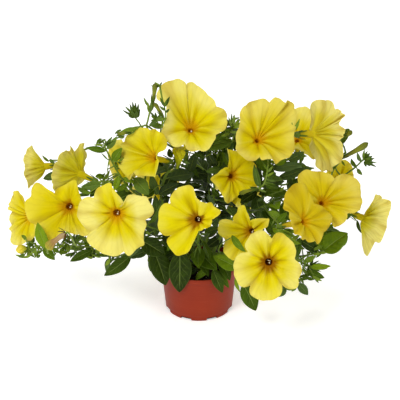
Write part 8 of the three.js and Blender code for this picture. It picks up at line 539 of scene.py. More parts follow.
# name, shoot, base, tip, width, kind, line of its stalk
BUDS = [
    ['bud_top','shoot_middle',[-56.8,-35.0,305.5],[-52.6,-35.0,331.6],6.7,'bud',[[-56.8,-35.0,305.5],[-57.4,-35.0,303.2],[-60.0,-35.0,293.9],[-62.2,-34.0,284.4],[-63.9,-27.0,271.3],[-53.5,-19.1,256.0],[-22.8,-12.2,232.3]]],
    ['bud_top_small','shoot_middle',[-43.5,-41.0,291.0],[-53.9,-44.0,310.1],5.5,'bud',[[-42.3,-40.7,288.8],[-44.7,-32.9,276.5],[-40.2,-23.2,259.3],[-22.8,-12.2,232.3]]],
    ['bud_right_long','shoot_right',[181.9,-5.0,221.1],[215.6,-1.0,240.2],9.0,'bud',[[181.9,-5.0,221.1],[182.8,-5.0,219.8],[179.0,-4.0,213.2],[174.7,-1.0,204.6],[172.1,3.0,192.2],[174.3,5.0,182.9]]],
    ['bud_right_small','shoot_right',[181.2,1.0,244.9],[195.1,5.0,254.3],7.0,'bud',[[181.2,1.0,244.9],[181.1,0.5,244.3],[178.7,6.0,238.0],[175.7,12.0,222.2],[178.1,10.0,200.4],[185.9,5.2,190.4]]],
    ['bud_left_round','shoot_left_low',[-220.8,-53.0,114.7],[-233.7,-59.0,116.6],12.2,'round',[[-218.5,-52.0,114.4],[-211.1,-41.0,109.2],[-211.3,-35.4,107.6],[-216.0,-30.0,106.5]]],
    ['flower_half_open','shoot_middle',[-27.1,-21.0,214.3],[-24.9,-26.0,244.4],17.8,'half',[[-27.1,-21.0,214.3],[-32.3,8.8,199.3],[-35.2,2.2,199.5],[-40.6,-6.3,201.0]]],
    ['flower_withered','shoot_left_low',[-161.8,-104.0,164.6],[-185.1,-108.0,146.3],11.4,'wither',[[-161.8,-104.0,164.6],[-159.1,-103.5,165.8],[-156.3,-101.0,160.1],[-155.2,-87.0,144.2],[-155.3,-64.0,125.5],[-154.6,-38.6,110.3]]],
    ['bud_left_high','shoot_middle',[-83.7,-32.0,266.4],[-100.9,-34.0,265.9],4.9,'bud',[[-83.7,-32.0,266.4],[-81.5,-31.8,266.5],[-77.1,-30.5,272.2],[-69.0,-27.0,273.5],[-60.6,-23.5,270.2],[-22.8,-12.2,232.3]]],
    ['bud_centre','shoot_right_high',[72.9,-47.5,197.9],[49.9,-57.0,195.5],5.8,'bud',[[72.9,-47.5,197.9],[74.7,-46.5,198.3],[80.9,-44.0,201.9],[84.5,-41.0,212.3],[86.1,-36.0,224.4],[87.9,-20.0,227.7],[96.1,6.8,207.6]]],
]
# shoot, base, direction, line of its stalk, small leaves as [base, tip, normal, width]
CLUSTERS = [
    ['shoot_left_high',[-115.6,-36.8,249.4],[-0.066,0.14,0.988],[[-115.6,-36.8,249.4],[-117.4,-35.5,247.7],[-118.4,-33.2,246.6],[-118.2,-25.5,246.7]],[[[-115.2,-37.1,252.0],[-108.0,-45.9,257.9],[0.405,-0.26,-0.877],2.8],[[-114.9,-36.1,253.3],[-103.3,-34.7,256.3],[-0.271,0.241,0.932],3.8],[[-115.1,-36.6,251.7],[-106.5,-36.9,263.7],[-0.341,-0.913,0.223],3.2],[[-115.6,-37.1,253.2],[-113.8,-45.4,260.2],[0.818,0.465,0.34],4.3],[[-114.9,-36.7,251.0],[-105.7,-37.5,258.5],[0.635,0.162,-0.756],3.8],[[-116.2,-35.2,253.6],[-120.2,-25.1,253.6],[-0.927,-0.363,0.09],3.0]]],
    ['shoot_right_inner',[42.3,-10.9,260.2],[-0.107,0.133,0.985],[[42.3,-10.9,260.2],[41.5,-10.6,261.1],[40.6,-10.2,261.9]],[[[42.4,-10.0,265.3],[50.5,-5.2,275.5],[0.603,-0.79,-0.11],3.7],[[41.3,-11.0,261.9],[27.8,-14.7,269.3],[-0.522,0.421,-0.742],3.7],[[42.7,-10.4,262.3],[49.6,-6.2,272.0],[-0.212,-0.833,0.51],3.7],[[42.3,-10.7,261.8],[43.9,-9.2,276.4],[0.856,-0.515,-0.042],3.6],[[41.0,-9.9,265.9],[29.4,-3.4,276.8],[0.237,0.926,-0.295],4.2],[[42.8,-10.2,262.8],[54.1,-3.4,270.1],[0.336,-0.892,0.301],3.9],[[40.9,-10.9,266.1],[31.3,-21.0,266.6],[-0.378,0.314,-0.871],3.7]]],
    ['shoot_right',[213.4,4.6,214.5],[0.999,0.0,-0.054],[[213.4,4.6,214.5],[212.6,4.4,214.0],[211.8,4.2,214.2]],[[[214.6,4.0,214.1],[223.1,0.0,222.3],[-0.345,-0.934,-0.098],3.9],[[214.7,4.0,213.0],[224.1,-2.0,212.6],[-0.535,-0.842,0.069],3.9],[[214.5,4.0,215.0],[220.6,6.0,223.7],[-0.048,-0.966,0.256],3.1],[[214.8,4.0,214.4],[226.8,4.0,216.7],[-0.015,-0.997,0.081],3.1],[[214.7,4.0,213.0],[230.2,3.0,205.0],[-0.071,-0.997,-0.012],2.8],[[214.4,4.0,213.0],[229.3,-1.0,213.2],[-0.318,-0.947,0.047],2.3],[[214.0,4.0,215.0],[216.8,-1.0,225.8],[-0.302,-0.893,-0.335],3.4],[[214.5,4.0,212.5],[221.8,2.0,206.6],[-0.21,-0.975,0.068],3.4],[[213.7,4.0,212.7],[216.1,0.0,206.3],[-0.336,-0.852,0.402],3.1],[[214.6,4.0,213.9],[222.4,-5.0,217.8],[-0.705,-0.686,-0.178],4.1],[[214.2,3.0,214.3],[218.8,-6.0,222.4],[-0.545,-0.698,-0.465],4.1],[[214.0,3.0,213.5],[218.5,-6.0,213.5],[-0.892,-0.445,0.078],3.9]]],
    ['shoot_left_low',[-213.1,-31.1,111.5],[-0.894,-0.448,0.019],[[-213.1,-31.1,111.5],[-213.4,-30.7,109.1],[-213.6,-30.3,106.7]],[[[-216.9,-33.8,110.9],[-214.0,-42.3,102.7],[0.094,-0.678,0.729],2.7],[[-216.4,-32.1,111.0],[-229.5,-28.1,100.4],[-0.335,0.662,0.67],3.4],[[-214.2,-31.8,111.1],[-225.9,-40.0,103.1],[-0.695,0.59,0.412],2.6],[[-216.7,-31.9,111.8],[-229.3,-23.2,115.0],[0.522,0.827,-0.209],3.7],[[-215.1,-31.2,112.2],[-221.2,-21.4,122.4],[0.255,0.769,-0.587],4.1],[[-215.7,-32.5,111.1],[-227.9,-39.7,103.9],[-0.378,0.89,-0.254],3.4]]],
    ['shoot_middle',[-77.1,-30.5,284.8],[-0.288,0.0,0.958],[[-77.1,-30.5,284.8],[-73.4,-28.5,278.5],[-69.7,-25.4,271.0],[-53.5,-19.1,256.0],[-22.8,-12.2,232.3]],[[[-78.2,-31.1,287.7],[-83.2,-40.5,304.2],[0.216,-0.875,-0.434],3.9],[[-77.7,-31.1,287.9],[-72.6,-39.5,303.0],[-0.076,-0.882,-0.466],3.7],[[-78.9,-30.5,287.2],[-93.2,-32.5,296.8],[0.122,-0.992,-0.025],2.6],[[-78.7,-30.5,288.5],[-90.0,-27.5,299.7],[-0.09,-0.981,0.171],2.8],[[-78.5,-30.5,288.8],[-84.0,-34.5,305.8],[0.137,-0.973,-0.184],2.4],[[-78.1,-30.5,289.0],[-80.9,-27.5,305.8],[0.044,-0.982,0.183],2.9],[[-77.6,-30.5,289.0],[-76.9,-33.5,307.0],[0.067,-0.984,-0.167],2.8],[[-77.0,-30.5,289.0],[-73.6,-28.5,303.2],[0.099,-0.988,0.116],3.1],[[-76.3,-30.5,287.7],[-72.2,-25.5,295.5],[0.29,-0.867,0.405],3.2],[[-76.3,-30.5,286.4],[-72.1,-33.5,292.8],[-0.153,-0.929,-0.336],3.2],[[-79.3,-30.5,286.7],[-86.8,-37.5,295.6],[0.385,-0.856,-0.346],3.2],[[-77.6,-32.5,288.5],[-78.1,-40.5,305.4],[0.092,-0.902,-0.423],3.9],[[-78.8,-30.5,285.9],[-86.7,-28.5,288.0],[-0.222,-0.971,0.089],2.9],[[-77.7,-32.5,286.4],[-81.3,-39.5,298.1],[0.223,-0.866,-0.448],4.2],[[-76.7,-32.5,286.4],[-75.2,-39.5,298.6],[0.021,-0.867,-0.498],4.4],[[-77.7,-29.5,286.3],[-82.7,-22.5,296.2],[-0.164,-0.842,0.514],3.7],[[-76.9,-29.5,286.3],[-75.8,-22.5,297.0],[0.14,-0.835,0.532],3.7]]],
    ['shoot_middle',[-51.9,-33.0,284.5],[-0.796,0.0,0.605],[[-51.9,-33.0,284.5],[-49.2,-30.5,276.6],[-41.5,-26.5,259.6],[-22.8,-12.2,232.3]],[[[-51.2,-34.0,284.4],[-60.7,-38.0,277.5],[0.275,-0.946,0.172],5.6],[[-52.4,-35.0,285.5],[-38.9,-41.0,289.1],[-0.382,-0.918,-0.106],5.4],[[-52.7,-34.0,285.9],[-59.1,-36.0,295.8],[0.131,-0.985,-0.114],2.8],[[-52.4,-34.0,285.4],[-58.0,-37.0,290.7],[0.293,-0.931,-0.217],2.7],[[-52.2,-34.0,284.6],[-58.9,-37.0,285.0],[0.408,-0.913,-0.008],2.7],[[-51.9,-34.0,286.2],[-53.3,-36.0,295.3],[0.084,-0.976,-0.202],2.7],[[-51.0,-34.0,285.4],[-46.2,-38.0,294.3],[-0.135,-0.929,-0.344],3.2]]],
    ['shoot_middle',[-41.5,-43.0,304.6],[0.227,-0.143,0.963],[[-41.5,-43.0,304.6],[-40.3,-46.0,298.7],[-41.2,-45.0,288.0],[-46.9,-37.0,271.8],[-44.7,-25.0,252.2],[-22.8,-12.2,232.3]],[[[-41.1,-44.0,305.7],[-34.7,-48.0,319.6],[-0.071,-0.967,-0.245],3.9],[[-41.6,-44.0,306.0],[-46.4,-47.0,318.0],[0.118,-0.974,-0.195],3.1],[[-41.2,-44.0,305.0],[-38.2,-50.0,316.6],[-0.07,-0.893,-0.444],2.6],[[-40.8,-45.0,300.8],[-47.3,-47.0,307.1],[0.176,-0.976,-0.128],2.9],[[-40.3,-46.0,298.7],[-35.3,-50.0,304.9],[-0.256,-0.894,-0.368],2.9]]],
    ['shoot_left_low',[-159.5,-67.5,128.4],[0.263,0.216,0.94],[[-159.5,-67.5,128.4],[-158.8,-62.2,125.7],[-157.9,-56.1,122.0],[-154.6,-38.6,110.2]],[[[-158.1,-67.3,133.6],[-158.3,-81.3,137.9],[0.574,-0.246,-0.781],2.8],[[-158.8,-67.3,129.8],[-151.4,-66.3,142.8],[0.57,-0.777,-0.268],4.4],[[-157.6,-66.8,132.5],[-143.2,-68.9,141.0],[0.344,0.863,-0.37],3.9],[[-158.8,-66.7,130.6],[-153.4,-58.4,144.1],[0.863,-0.505,-0.033],3.8],[[-159.9,-67.0,130.6],[-171.7,-65.7,137.0],[0.211,-0.809,0.549],3.8],[[-159.1,-68.3,128.0],[-152.1,-83.6,120.1],[0.847,0.491,-0.203],3.8],[[-159.4,-66.5,129.2],[-159.7,-52.6,135.0],[0.021,-0.384,0.923],4.5]]],
    ['shoot_front',[-1.8,-61.8,130.8],[0.097,-0.676,-0.73],[[-1.8,-61.8,130.8],[-1.4,-58.0,134.6],[-1.0,-56.3,136.7],[0.1,-54.3,139.1]],[[[-1.7,-64.7,126.7],[-6.7,-64.3,114.5],[0.793,-0.508,-0.337],4.4],[[-1.5,-65.5,126.9],[-5.4,-77.5,115.7],[-0.972,0.211,0.104],3.2],[[-1.9,-65.7,127.7],[-12.3,-74.9,134.5],[0.719,-0.385,0.578],2.6],[[-2.0,-63.4,130.4],[-6.8,-71.3,138.5],[0.887,-0.453,0.089],3.5],[[-1.2,-63.4,127.7],[1.4,-52.0,122.0],[-0.928,0.314,0.201],3.8],[[-1.7,-61.7,129.5],[-2.7,-53.0,121.5],[0.326,0.66,0.677],3.2],[[-1.5,-62.1,129.6],[1.7,-63.7,113.9],[0.131,0.989,-0.072],2.8]]],
    ['shoot_right_inner',[26.7,-4.0,233.6],[0.779,-0.564,-0.274],[[26.7,-4.0,233.6],[27.4,-3.4,233.6],[28.1,-2.8,233.6]],[[[28.8,-5.2,232.7],[35.9,-7.5,228.8],[-0.334,0.428,-0.84],3.6],[[26.9,-5.2,233.7],[20.4,-9.2,237.3],[-0.078,0.732,0.677],2.7],[[29.5,-5.7,233.5],[36.6,-7.5,238.3],[0.357,-0.57,-0.74],3.4],[[26.7,-4.5,232.7],[26.8,-7.1,226.6],[-0.202,-0.9,0.386],3.0]]],
    ['shoot_right_low',[141.5,-50.9,89.9],[0.738,-0.626,-0.251],[[141.5,-50.9,89.9],[140.7,-51.8,92.7],[140.2,-52.8,96.4],[140.0,-55.4,107.1]],[[[142.9,-52.6,90.0],[146.5,-61.2,94.4],[0.554,-0.178,-0.813],3.4],[[143.5,-51.9,88.9],[150.8,-52.2,82.8],[-0.007,0.998,-0.055],4.4],[[144.0,-53.0,90.1],[147.2,-55.4,100.3],[-0.394,-0.915,-0.089],3.4],[[142.4,-51.9,89.4],[149.8,-61.0,83.6],[-0.301,0.325,-0.897],4.0],[[141.9,-51.9,89.2],[142.5,-59.5,82.6],[-0.36,0.593,-0.721],3.3]]],
]
FUSED = ["bud_left_high", "bud_centre"]


# ---------------------------------------------------------------- small helpers
def vec(p):
    return np.array(p, float)


def unit(v):
    v = np.asarray(v, float)
    n = np.linalg.norm(v, axis=-1, keepdims=True)
    return v / np.where(n < 1e-12, 1, n)


def step(x, a, b):
    t = np.clip((np.asarray(x, float) - a) / (b - a), 0, 1)
    return t * t * (3 - 2 * t)


def seed_of(name):
    h = 7
    for ch in name:
        h = (h * 131 + ord(ch)) % 1000003
    return h


def srgb(r, g, b):
    out = []
    for c in (r, g, b):
        c = c / 255
        out.append(c / 12.92 if c <= 0.04045 else ((c + 0.055) / 1.055) ** 2.4)
    return (*out, 1.0)


class Build:
    """Collects the parts of one piece: points, faces, material numbers and the values that its materials read."""

    KEYS = ("pu", "back", "pale", "tone", "grey", "ls", "lt", "rnd", "shade")

    def __init__(self, name):
        self.name, self.p, self.quads, self.tris = name, [], [], []
        self.qm, self.tm, self.n = [], [], 0
        self.vals = {k: [] for k in self.KEYS}
        self.qv, self.tv = [], []

    def add(self, pts, quads=None, tris=None, mat=0, qv=None, tv=None, **vals):
        pts = np.asarray(pts, float).reshape(-1, 3)
        k = len(pts)
        self.p.append(pts)
        for key in self.KEYS:
            v = vals.get(key, 0.0)
            self.vals[key].append(np.broadcast_to(np.asarray(v, float).ravel() if np.ndim(v) else v, (k,)).astype(float))
        if quads is not None and len(quads):
            q = np.asarray(quads, int).reshape(-1, 4)
            self.quads.append(q + self.n)
            self.qm.append(np.full(len(q), mat))
            self.qv.append(np.zeros((len(q), 4)) if qv is None else np.asarray(qv, float).reshape(-1, 4))
        if tris is not None and len(tris):
            t = np.asarray(tris, int).reshape(-1, 3)
            self.tris.append(t + self.n)
            self.tm.append(np.full(len(t), mat))
            self.tv.append(np.zeros((len(t), 3)) if tv is None else np.asarray(tv, float).reshape(-1, 3))
        self.n += k

    def object(self, materials, smooth=True):
        p = np.concatenate(self.p) * MM
        q = np.concatenate(self.quads) if self.quads else np.zeros((0, 4), int)
        t = np.concatenate(self.tris) if self.tris else np.zeros((0, 3), int)
        me = bpy.data.meshes.new(self.name)
        nl = q.size + t.size
        me.vertices.add(len(p))
        me.vertices.foreach_set("co", p.astype(np.float32).ravel())
        me.loops.add(nl)
        me.loops.foreach_set("vertex_index", np.concatenate([q.ravel(), t.ravel()]).astype(np.int32))
        me.polygons.add(len(q) + len(t))
        starts = np.concatenate([np.arange(len(q)) * 4, q.size + np.arange(len(t)) * 3])
        me.polygons.foreach_set("loop_start", starts.astype(np.int32))
        me.polygons.foreach_set("material_index", np.concatenate(self.qm + self.tm).astype(np.int32))
        me.update(calc_edges=True)
        me.validate(clean_customdata=False)
        me.polygons.foreach_set("use_smooth", np.full(len(me.polygons), smooth))
        for key in self.KEYS:
            v = np.concatenate(self.vals[key])
            if np.ptp(v) > 0 or abs(v[0]) > 0:
                a = me.attributes.new(key, "FLOAT", "POINT")
                a.data.foreach_set("value", v.astype(np.float32))
        cv = np.concatenate([np.concatenate(x).ravel() if x else np.zeros(0) for x in (self.qv, self.tv)])
        if len(cv) and np.ptp(cv) > 0:
            a = me.attributes.new("pv", "FLOAT", "CORNER")
            a.data.foreach_set("value", cv.astype(np.float32))
        for m in materials:
            me.materials.append(m)
        ob = bpy.data.objects.new(self.name, me)
        bpy.context.scene.collection.objects.link(ob)
        return ob


def grid_quads(rows, cols, wrap, flip=False):
    i, j = np.meshgrid(np.arange(rows - 1), np.arange(cols if wrap else cols - 1), indexing="ij")
    k = (j + 1) % cols
    q = np.stack([i * cols + j, i * cols + k, (i + 1) * cols + k, (i + 1) * cols + j], -1).reshape(-1, 4)
    return q[:, ::-1] if flip else q


def curve_points(ctrl, spacing):
    """Points along a smooth line through control points, and how far along each is."""
    c = [vec(p) for p in ctrl]
    if len(c) == 2:
        c = [c[0], (c[0] + c[1]) / 2, c[1]]
    ext = [2 * c[0] - c[1]] + c + [2 * c[-1] - c[-2]]
    out = []
    for i in range(1, len(ext) - 2):
        p0, p1, p2, p3 = ext[i - 1 : i + 3]
        for t in np.linspace(0, 1, 13)[:-1]:
            out.append(0.5 * ((2 * p1) + (p2 - p0) * t + (2 * p0 - 5 * p1 + 4 * p2 - p3) * t * t + (3 * p1 - p0 - 3 * p2 + p3) * t**3))
    out.append(c[-1])
    out = np.array(out)
    d = np.concatenate([[0], np.cumsum(np.linalg.norm(np.diff(out, axis=0), axis=1))])
    n = max(3, int(round(d[-1] / spacing)) + 1)
    s = np.linspace(0, d[-1], n)
    return np.stack([np.interp(s, d, out[:, k]) for k in range(3)], 1), s


def tube(b, ctrl, r0, r1, sides=8, spacing=3.0, mat=0, swell=(), rnd=0.0, tone=0.5, wobble=0.0):
    """A round stem along a smooth line, with rounded ends. swell lists (where, how much, how long) for nodes of the stem."""
    p, s = curve_points(ctrl, spacing)
    t = unit(np.gradient(p, axis=0))
    side = unit(np.cross(vec([0.3, 1, 0.2]), t[0]))
    rings, total = [], s[-1]
    ang = np.arange(sides) * 2 * math.pi / sides
    for i in range(len(p)):
        side = unit(side - t[i] * np.dot(side, t[i]))
        up = np.cross(t[i], side)
        r = r0 + (r1 - r0) * s[i] / max(total, 1e-6)
        for at, much, long in swell:
            r *= 1 + much * math.exp(-(((s[i] - at) / long) ** 2))
        if wobble:
            r *= 1 + wobble * math.sin(s[i] * 0.7 + rnd * 9) * math.sin(s[i] * 0.23 + rnd * 5)
        rings.append(p[i] + r * (np.cos(ang)[:, None] * side + np.sin(ang)[:, None] * up))
    caps = []
    for end, sign in ((0, -1), (-1, 1)):
        r = np.linalg.norm(rings[end][0] - p[end])
        caps.append((p[end] + sign * t[end] * r * 0.6 + (rings[end] - p[end]) * 0.62, p[end] + sign * t[end] * r * 0.85))
    rings = [caps[0][0]] + rings + [caps[1][0]]
    n = len(rings)
    pts = np.concatenate([np.concatenate(rings), [caps[0][1]], [caps[1][1]]])
    q = grid_quads(n, sides, True)
    j = np.arange(sides)
    k = (j + 1) % sides
    tri = np.concatenate([np.stack([k, j, np.full(sides, n * sides)], 1), np.stack([j + (n - 1) * sides, k + (n - 1) * sides, np.full(sides, n * sides + 1)], 1)])
    along = np.concatenate([[0], s / max(total, 1e-6), [1]])
    ls = np.concatenate([np.repeat(along, sides), [0, 1]])
    b.add(pts, q, tri, mat, ls=ls, rnd=rnd, tone=tone)


def blade(b, base, tip, normal, width, ns=12, nt=6, thick=0.5, mat=1, tone=0.5, grey=0.0, rnd=0.0, fold=0.18, bow=0.1, wave=0.0, curl=0.0, shape=0.8, lead=0.82, start=0.015, veins=True, grow=1.0):
    """A leaf blade: folded along its midrib, bowed, quilted between its side veins, with a wavy edge."""
    rng = np.random.default_rng(int(rnd * 1e6) + 11)
    B, T = vec(base), vec(tip)
    axis = T - B
    L = np.linalg.norm(axis)
    axis = axis / L
    n = vec(normal)
    n = unit(n - axis * np.dot(n, axis))
    side = np.cross(axis, n)
    s = start + (0.998 - start) * (1 - np.cos(np.linspace(0, 1, ns + 1) * math.pi)) / 2 * 0.35 + (0.998 - start) * np.linspace(0, 1, ns + 1) * 0.65
    t = np.linspace(-1, 1, nt + 1)
    S, Tt = np.meshgrid(s, t, indexing="ij")
    h = 0.5 * width * grow * np.power(np.sin(math.pi * np.power(S, lead)), shape)
    a = np.abs(Tt)
    up = bow * L * 2 * S * (1 - S) + fold * a * h
    up = up - curl * L * np.power(S, 3)
    up = up - 0.05 * width * np.exp(-((Tt / 0.13) ** 2)) * np.sin(math.pi * S) ** 0.5
    if veins and nt >= 6:
        k = 6.0
        up = up + 0.022 * width * np.cos(2 * math.pi * (k * (S - 0.32 * a)) + 0.4) * np.sin(math.pi * np.clip(a, 0, 1)) * np.sin(math.pi * S) ** 0.5
    ph = rng.uniform(0, 6.28, 4)
    up = up + wave * L * a**1.6 * np.sin(math.pi * S) ** 0.6 * (np.sin(5.2 * S + ph[0] + np.sign(Tt) * 0.8) + 0.6 * np.sin(10.5 * S + ph[1] + np.sign(Tt) * 1.9))
    sway = 0.02 * L * np.sin(math.pi * S) * math.sin(ph[2]) if nt >= 6 else 0.0
    M = B + axis * (L * S)[..., None] + n * up[..., None] + side * (h * Tt + sway)[..., None]
    nrm = np.cross(np.gradient(M, axis=0), np.gradient(M, axis=1))
    nrm = unit(nrm)
    if np.sum(nrm * n) < 0:
        nrm = -nrm
    th = (0.5 * thick * (0.35 + 0.65 * (1 - a**3)) * (0.45 + 0.55 * np.sin(math.pi * np.clip(S, 0.02, 0.98)) ** 0.5))[..., None]
    mid = 0.45 * thick * np.exp(-((Tt / 0.09) ** 2)) * (1 - S * 0.8)  # the midrib stands out below
    top, bottom = M + nrm * th, M - nrm * (th + mid[..., None])
    r, c = ns + 1, nt + 1
    q1 = grid_quads(r, c, False)
    flip = np.dot(np.cross(M[1, 0] - M[0, 0], M[0, 1] - M[0, 0]) if L else n, n)
    v1, v2, v3 = top[r // 2, c // 2], top[r // 2, c // 2 + 1], top[r // 2 + 1, c // 2]
    face = np.cross(v2 - v1, v3 - v1)
    turn = np.dot(face, nrm[r // 2, c // 2]) < 0
    tq = q1[:, ::-1] if turn else q1
    bq = (q1 if turn else q1[:, ::-1]) + r * c
    edge = []
    for i in range(r - 1):
        edge.append([i * c, (i + 1) * c, r * c + (i + 1) * c, r * c + i * c])
        edge.append([(i + 1) * c + nt, i * c + nt, r * c + i * c + nt, r * c + (i + 1) * c + nt])
    for j in range(c - 1):
        edge.append([j + 1, j, r * c + j, r * c + j + 1])
        e = (r - 1) * c
        edge.append([e + j, e + j + 1, r * c + e + j + 1, r * c + e + j])
    edge = np.array(edge)
    if turn:
        edge = edge[:, ::-1]
    b.add(np.concatenate([top.reshape(-1, 3), bottom.reshape(-1, 3)]), np.concatenate([tq, bq, edge]), None, mat, ls=np.tile(S.ravel(), 2), lt=np.tile(Tt.ravel(), 2), tone=tone, grey=grey, rnd=rnd, back=np.repeat([0.0, 1.0], r * c))


def flower_axes(a):
    a = unit(vec(a))
    e1 = np.cross([0, 0, 1.0], a)
    if np.linalg.norm(e1) < 0.2:
        e1 = np.cross([0, 1.0, 0], a)
    e1 = unit(e1)
    return a, e1, np.cross(a, e1)


def tube_radius(r0, q):
    return r0 * (0.42 + 0.58 * np.power(q, 1.3))


def lobe_curve(pts, n):
    """n points along one lobe's margin, from its sinus, through the control points (the last is the next sinus)."""
    ext = np.concatenate([[2 * pts[0] - pts[1]], pts, [2 * pts[-1] - pts[-2]]])
    out = []
    for x in np.linspace(0, len(pts) - 1, n, endpoint=False):
        i = int(min(x, len(pts) - 2))
        t = x - i
        p0, p1, p2, p3 = ext[i : i + 4]
        out.append(0.5 * ((2 * p1) + (p2 - p0) * t + (2 * p0 - 5 * p1 + 4 * p2 - p3) * t * t + (3 * p1 - p0 - 3 * p2 + p3) * t**3))
    return np.array(out)


PER = 32  # points round each lobe
NU = 24  # rows from throat to margin


def corolla(b, row, looks):
    name, _, centre, axis, length, r0, rim = row[:7]
    flare = row[7] if len(row) > 7 else 0.2
    rng = np.random.default_rng(seed_of(name))
    a, e1, e2 = flower_axes(axis)
    c = vec(centre)
    rim = np.array(rim)
    cart = np.stack([rim[:, 1] * np.cos(rim[:, 0]), rim[:, 1] * np.sin(rim[:, 0]), rim[:, 2]], 1)
    per = len(rim) // 5
    parts = []
    for k in range(5):
        idx = [(k * per + i) % len(rim) for i in range(per + 1)]
        parts.append(lobe_curve(cart[idx], PER))
    edge = np.concatenate(parts)
    N = len(edge)
    v = (np.arange(N) % PER) / PER
    lobe = np.arange(N) // PER
    th = np.arctan2(edge[:, 1], edge[:, 0])
    rho = np.hypot(edge[:, 0], edge[:, 1])
    z = edge[:, 2]
    size = rho.mean()
    # small scallops of the margin
    g = np.arange(N) / N * 2 * math.pi
    scallop = 0.55 + sum(am * np.sin(k * g + rng.uniform(0, 6.28)) for k, am in ((13, 0.22), (19, 0.2), (29, 0.1)))
    # the margin: smaller ruffles, several to a lobe
    ruffle = sum(am * np.sin(k * g + rng.uniform(0, 6.28)) for k, am in ((6, 0.7), (9, 0.9), (14, 0.75), (21, 0.3)))
    ruffle = ruffle * looks.get("ruffle", 1.0)
    u = np.linspace(0, 1, NU + 1)[:, None]
    u = u**0.92
    gap = np.minimum(v, 1 - v)
    notch = looks.get("notch", 1.7) * (size / 36) * np.exp(-((gap / 0.075) ** 2)) - 0.5 * np.exp(-(((v - 0.5) / 0.2) ** 2)) + looks.get("dent", 0.5) * np.exp(-(((v - 0.5) / 0.045) ** 2))
    scallop = scallop - notch
    rt = r0
    r0 = r0 * looks.get("throat", 0.74)
    r1 = rt + flare * (rho - rt)
    z1 = np.minimum(z * 0.62 + 1.5, 9.5) * (1.32 - 1.6 * flare)
    r = (1 - u) ** 2 * r0 + 2 * u * (1 - u) * r1 + u * u * (rho + scallop)
    h = 2 * u * (1 - u) * z1 + u * u * z
    # tube rows, from the floor up to the throat
    q = np.linspace(0.1, 1, 8)[:-1][:, None]
    q = looks.get("floor", 0.7) + (1 - looks.get("floor", 0.7)) * (q - 0.1) / 0.9
    tr = tube_radius(rt, q) * (1 - (1 - looks.get("throat", 0.74)) * q**2) * np.ones(N)
    tz = -length * (1 - q) * np.ones(N)
    R = np.concatenate([tr, r])
    H = np.concatenate([tz, h])
    U = np.concatenate([(q - 1) * np.ones(N), u * np.ones(N)])
    nt = len(q)
    cs, sn = np.cos(th), np.sin(th)
    M = np.stack([R * cs, R * sn, H], -1)

    def normals(m):
        du = np.gradient(m, axis=0)
        dv = np.roll(m, -1, 1) - np.roll(m, 1, 1)
        n = unit(np.cross(dv, du))
        n = n + np.roll(n, 1, 1) * 0.5 + np.roll(n, -1, 1) * 0.5
        return unit(n) * np.where(np.sum(np.cross(dv, du)[:, :, 2]) < 0, -1, 1)

    n0 = normals(M)
    # pleats: a sharp groove down each midrib, a softer one at each sinus, and puffs between
    uu = np.clip(U, 0, 1)
    dm = np.abs(v - 0.5)
    ds = np.minimum(v, 1 - v)
    sc = size / 36
    bell = np.sin(math.pi * np.clip(uu * 1.03, 0, 1)) ** 0.7
    pleat = looks.get("pleat", 1.0)
    depth_m = (0.7 + 2.0 * rng.random(5))[lobe] * pleat
    depth_s = (0.9 + 1.9 * rng.random(5))[np.round(np.arange(N) / PER).astype(int) % 5] * pleat
    disp = -0.5 * depth_m * np.exp(-((dm / 0.08) ** 2)) * bell * (1 - 0.75 * step(uu, 0.45, 1.0))
    disp = disp - 0.68 * depth_s * np.exp(-((ds / 0.09) ** 2)) * bell
    puff = rng.uniform(1.6, 3.4, 10) * pleat
    half = (2 * lobe + (v > 0.5)) % 10
    disp = disp + puff[half] * np.sin(2 * math.pi * v) ** 2 * np.sin(math.pi * np.clip(uu * 0.92, 0, 1)) ** 0.9
    for f in (0.25, 0.75):  # a side rib in each half lobe, in the outer part
        disp = disp - 0.3 * np.exp(-(((v - f - 0.03 * (lobe % 2)) / 0.05) ** 2)) * step(uu, 0.3, 0.6) * (1 - step(uu, 0.86, 1.0))
    for f in (0.13, 0.37, 0.63, 0.87):
        disp = disp - 0.14 * np.exp(-(((v - f) / 0.03) ** 2)) * step(uu, 0.45, 0.75) * (1 - step(uu, 0.9, 1.0))
    # broad unevenness
    for _ in range(5):
        k1, k2 = rng.integers(1, 5), rng.uniform(1.5, 5)
        disp = disp + rng.uniform(0.5, 1.1) * np.sin(k1 * g + rng.uniform(0, 6.28)) * np.sin(k2 * uu + rng.uniform(0, 6.28)) * step(uu, 0.15, 0.5)
    # ruffles grow towards the margin, and the margin itself turns back
    disp = disp + ruffle * step(uu, 0.55, 1.0) ** 1.4
    disp = disp - looks.get("roll", 1.3) * step(uu, 0.84, 1.0) ** 2 * (0.7 + 0.5 * np.sin(3 * g + rng.uniform(0, 6.28)))
    # folds of its own: (lobe place 0-5, width in lobes, depth, from, to)
    place = lobe + v
    for f0, wd, dp, ua, ub in looks.get("folds", []):
        d = np.abs((place - f0 + 2.5) % 5 - 2.5)
        disp = disp - dp * np.exp(-((d / wd) ** 2)) * step(uu, ua, ua + 0.15) * (1 - step(uu, ub - 0.15, ub) * (ub < 1))
    # laps: one side stands up and drops sharply to the other (place, width in lobes, height, from, to)
    for f0, wd, hg, ua, ub in looks.get("laps", []):
        d = (place - f0 + 2.5) % 5 - 2.5
        one = np.where(d > 0, np.exp(-((d / abs(wd)) ** 2)) * step(d, -0.002, 0.03), 0.0) if wd > 0 else np.where(d < 0, np.exp(-((d / abs(wd)) ** 2)) * step(-d, -0.002, 0.03), 0.0)
        disp = disp + hg * one * step(uu, ua, ua + 0.2) * (1 - step(uu, ub - 0.2, ub) * (ub < 1))
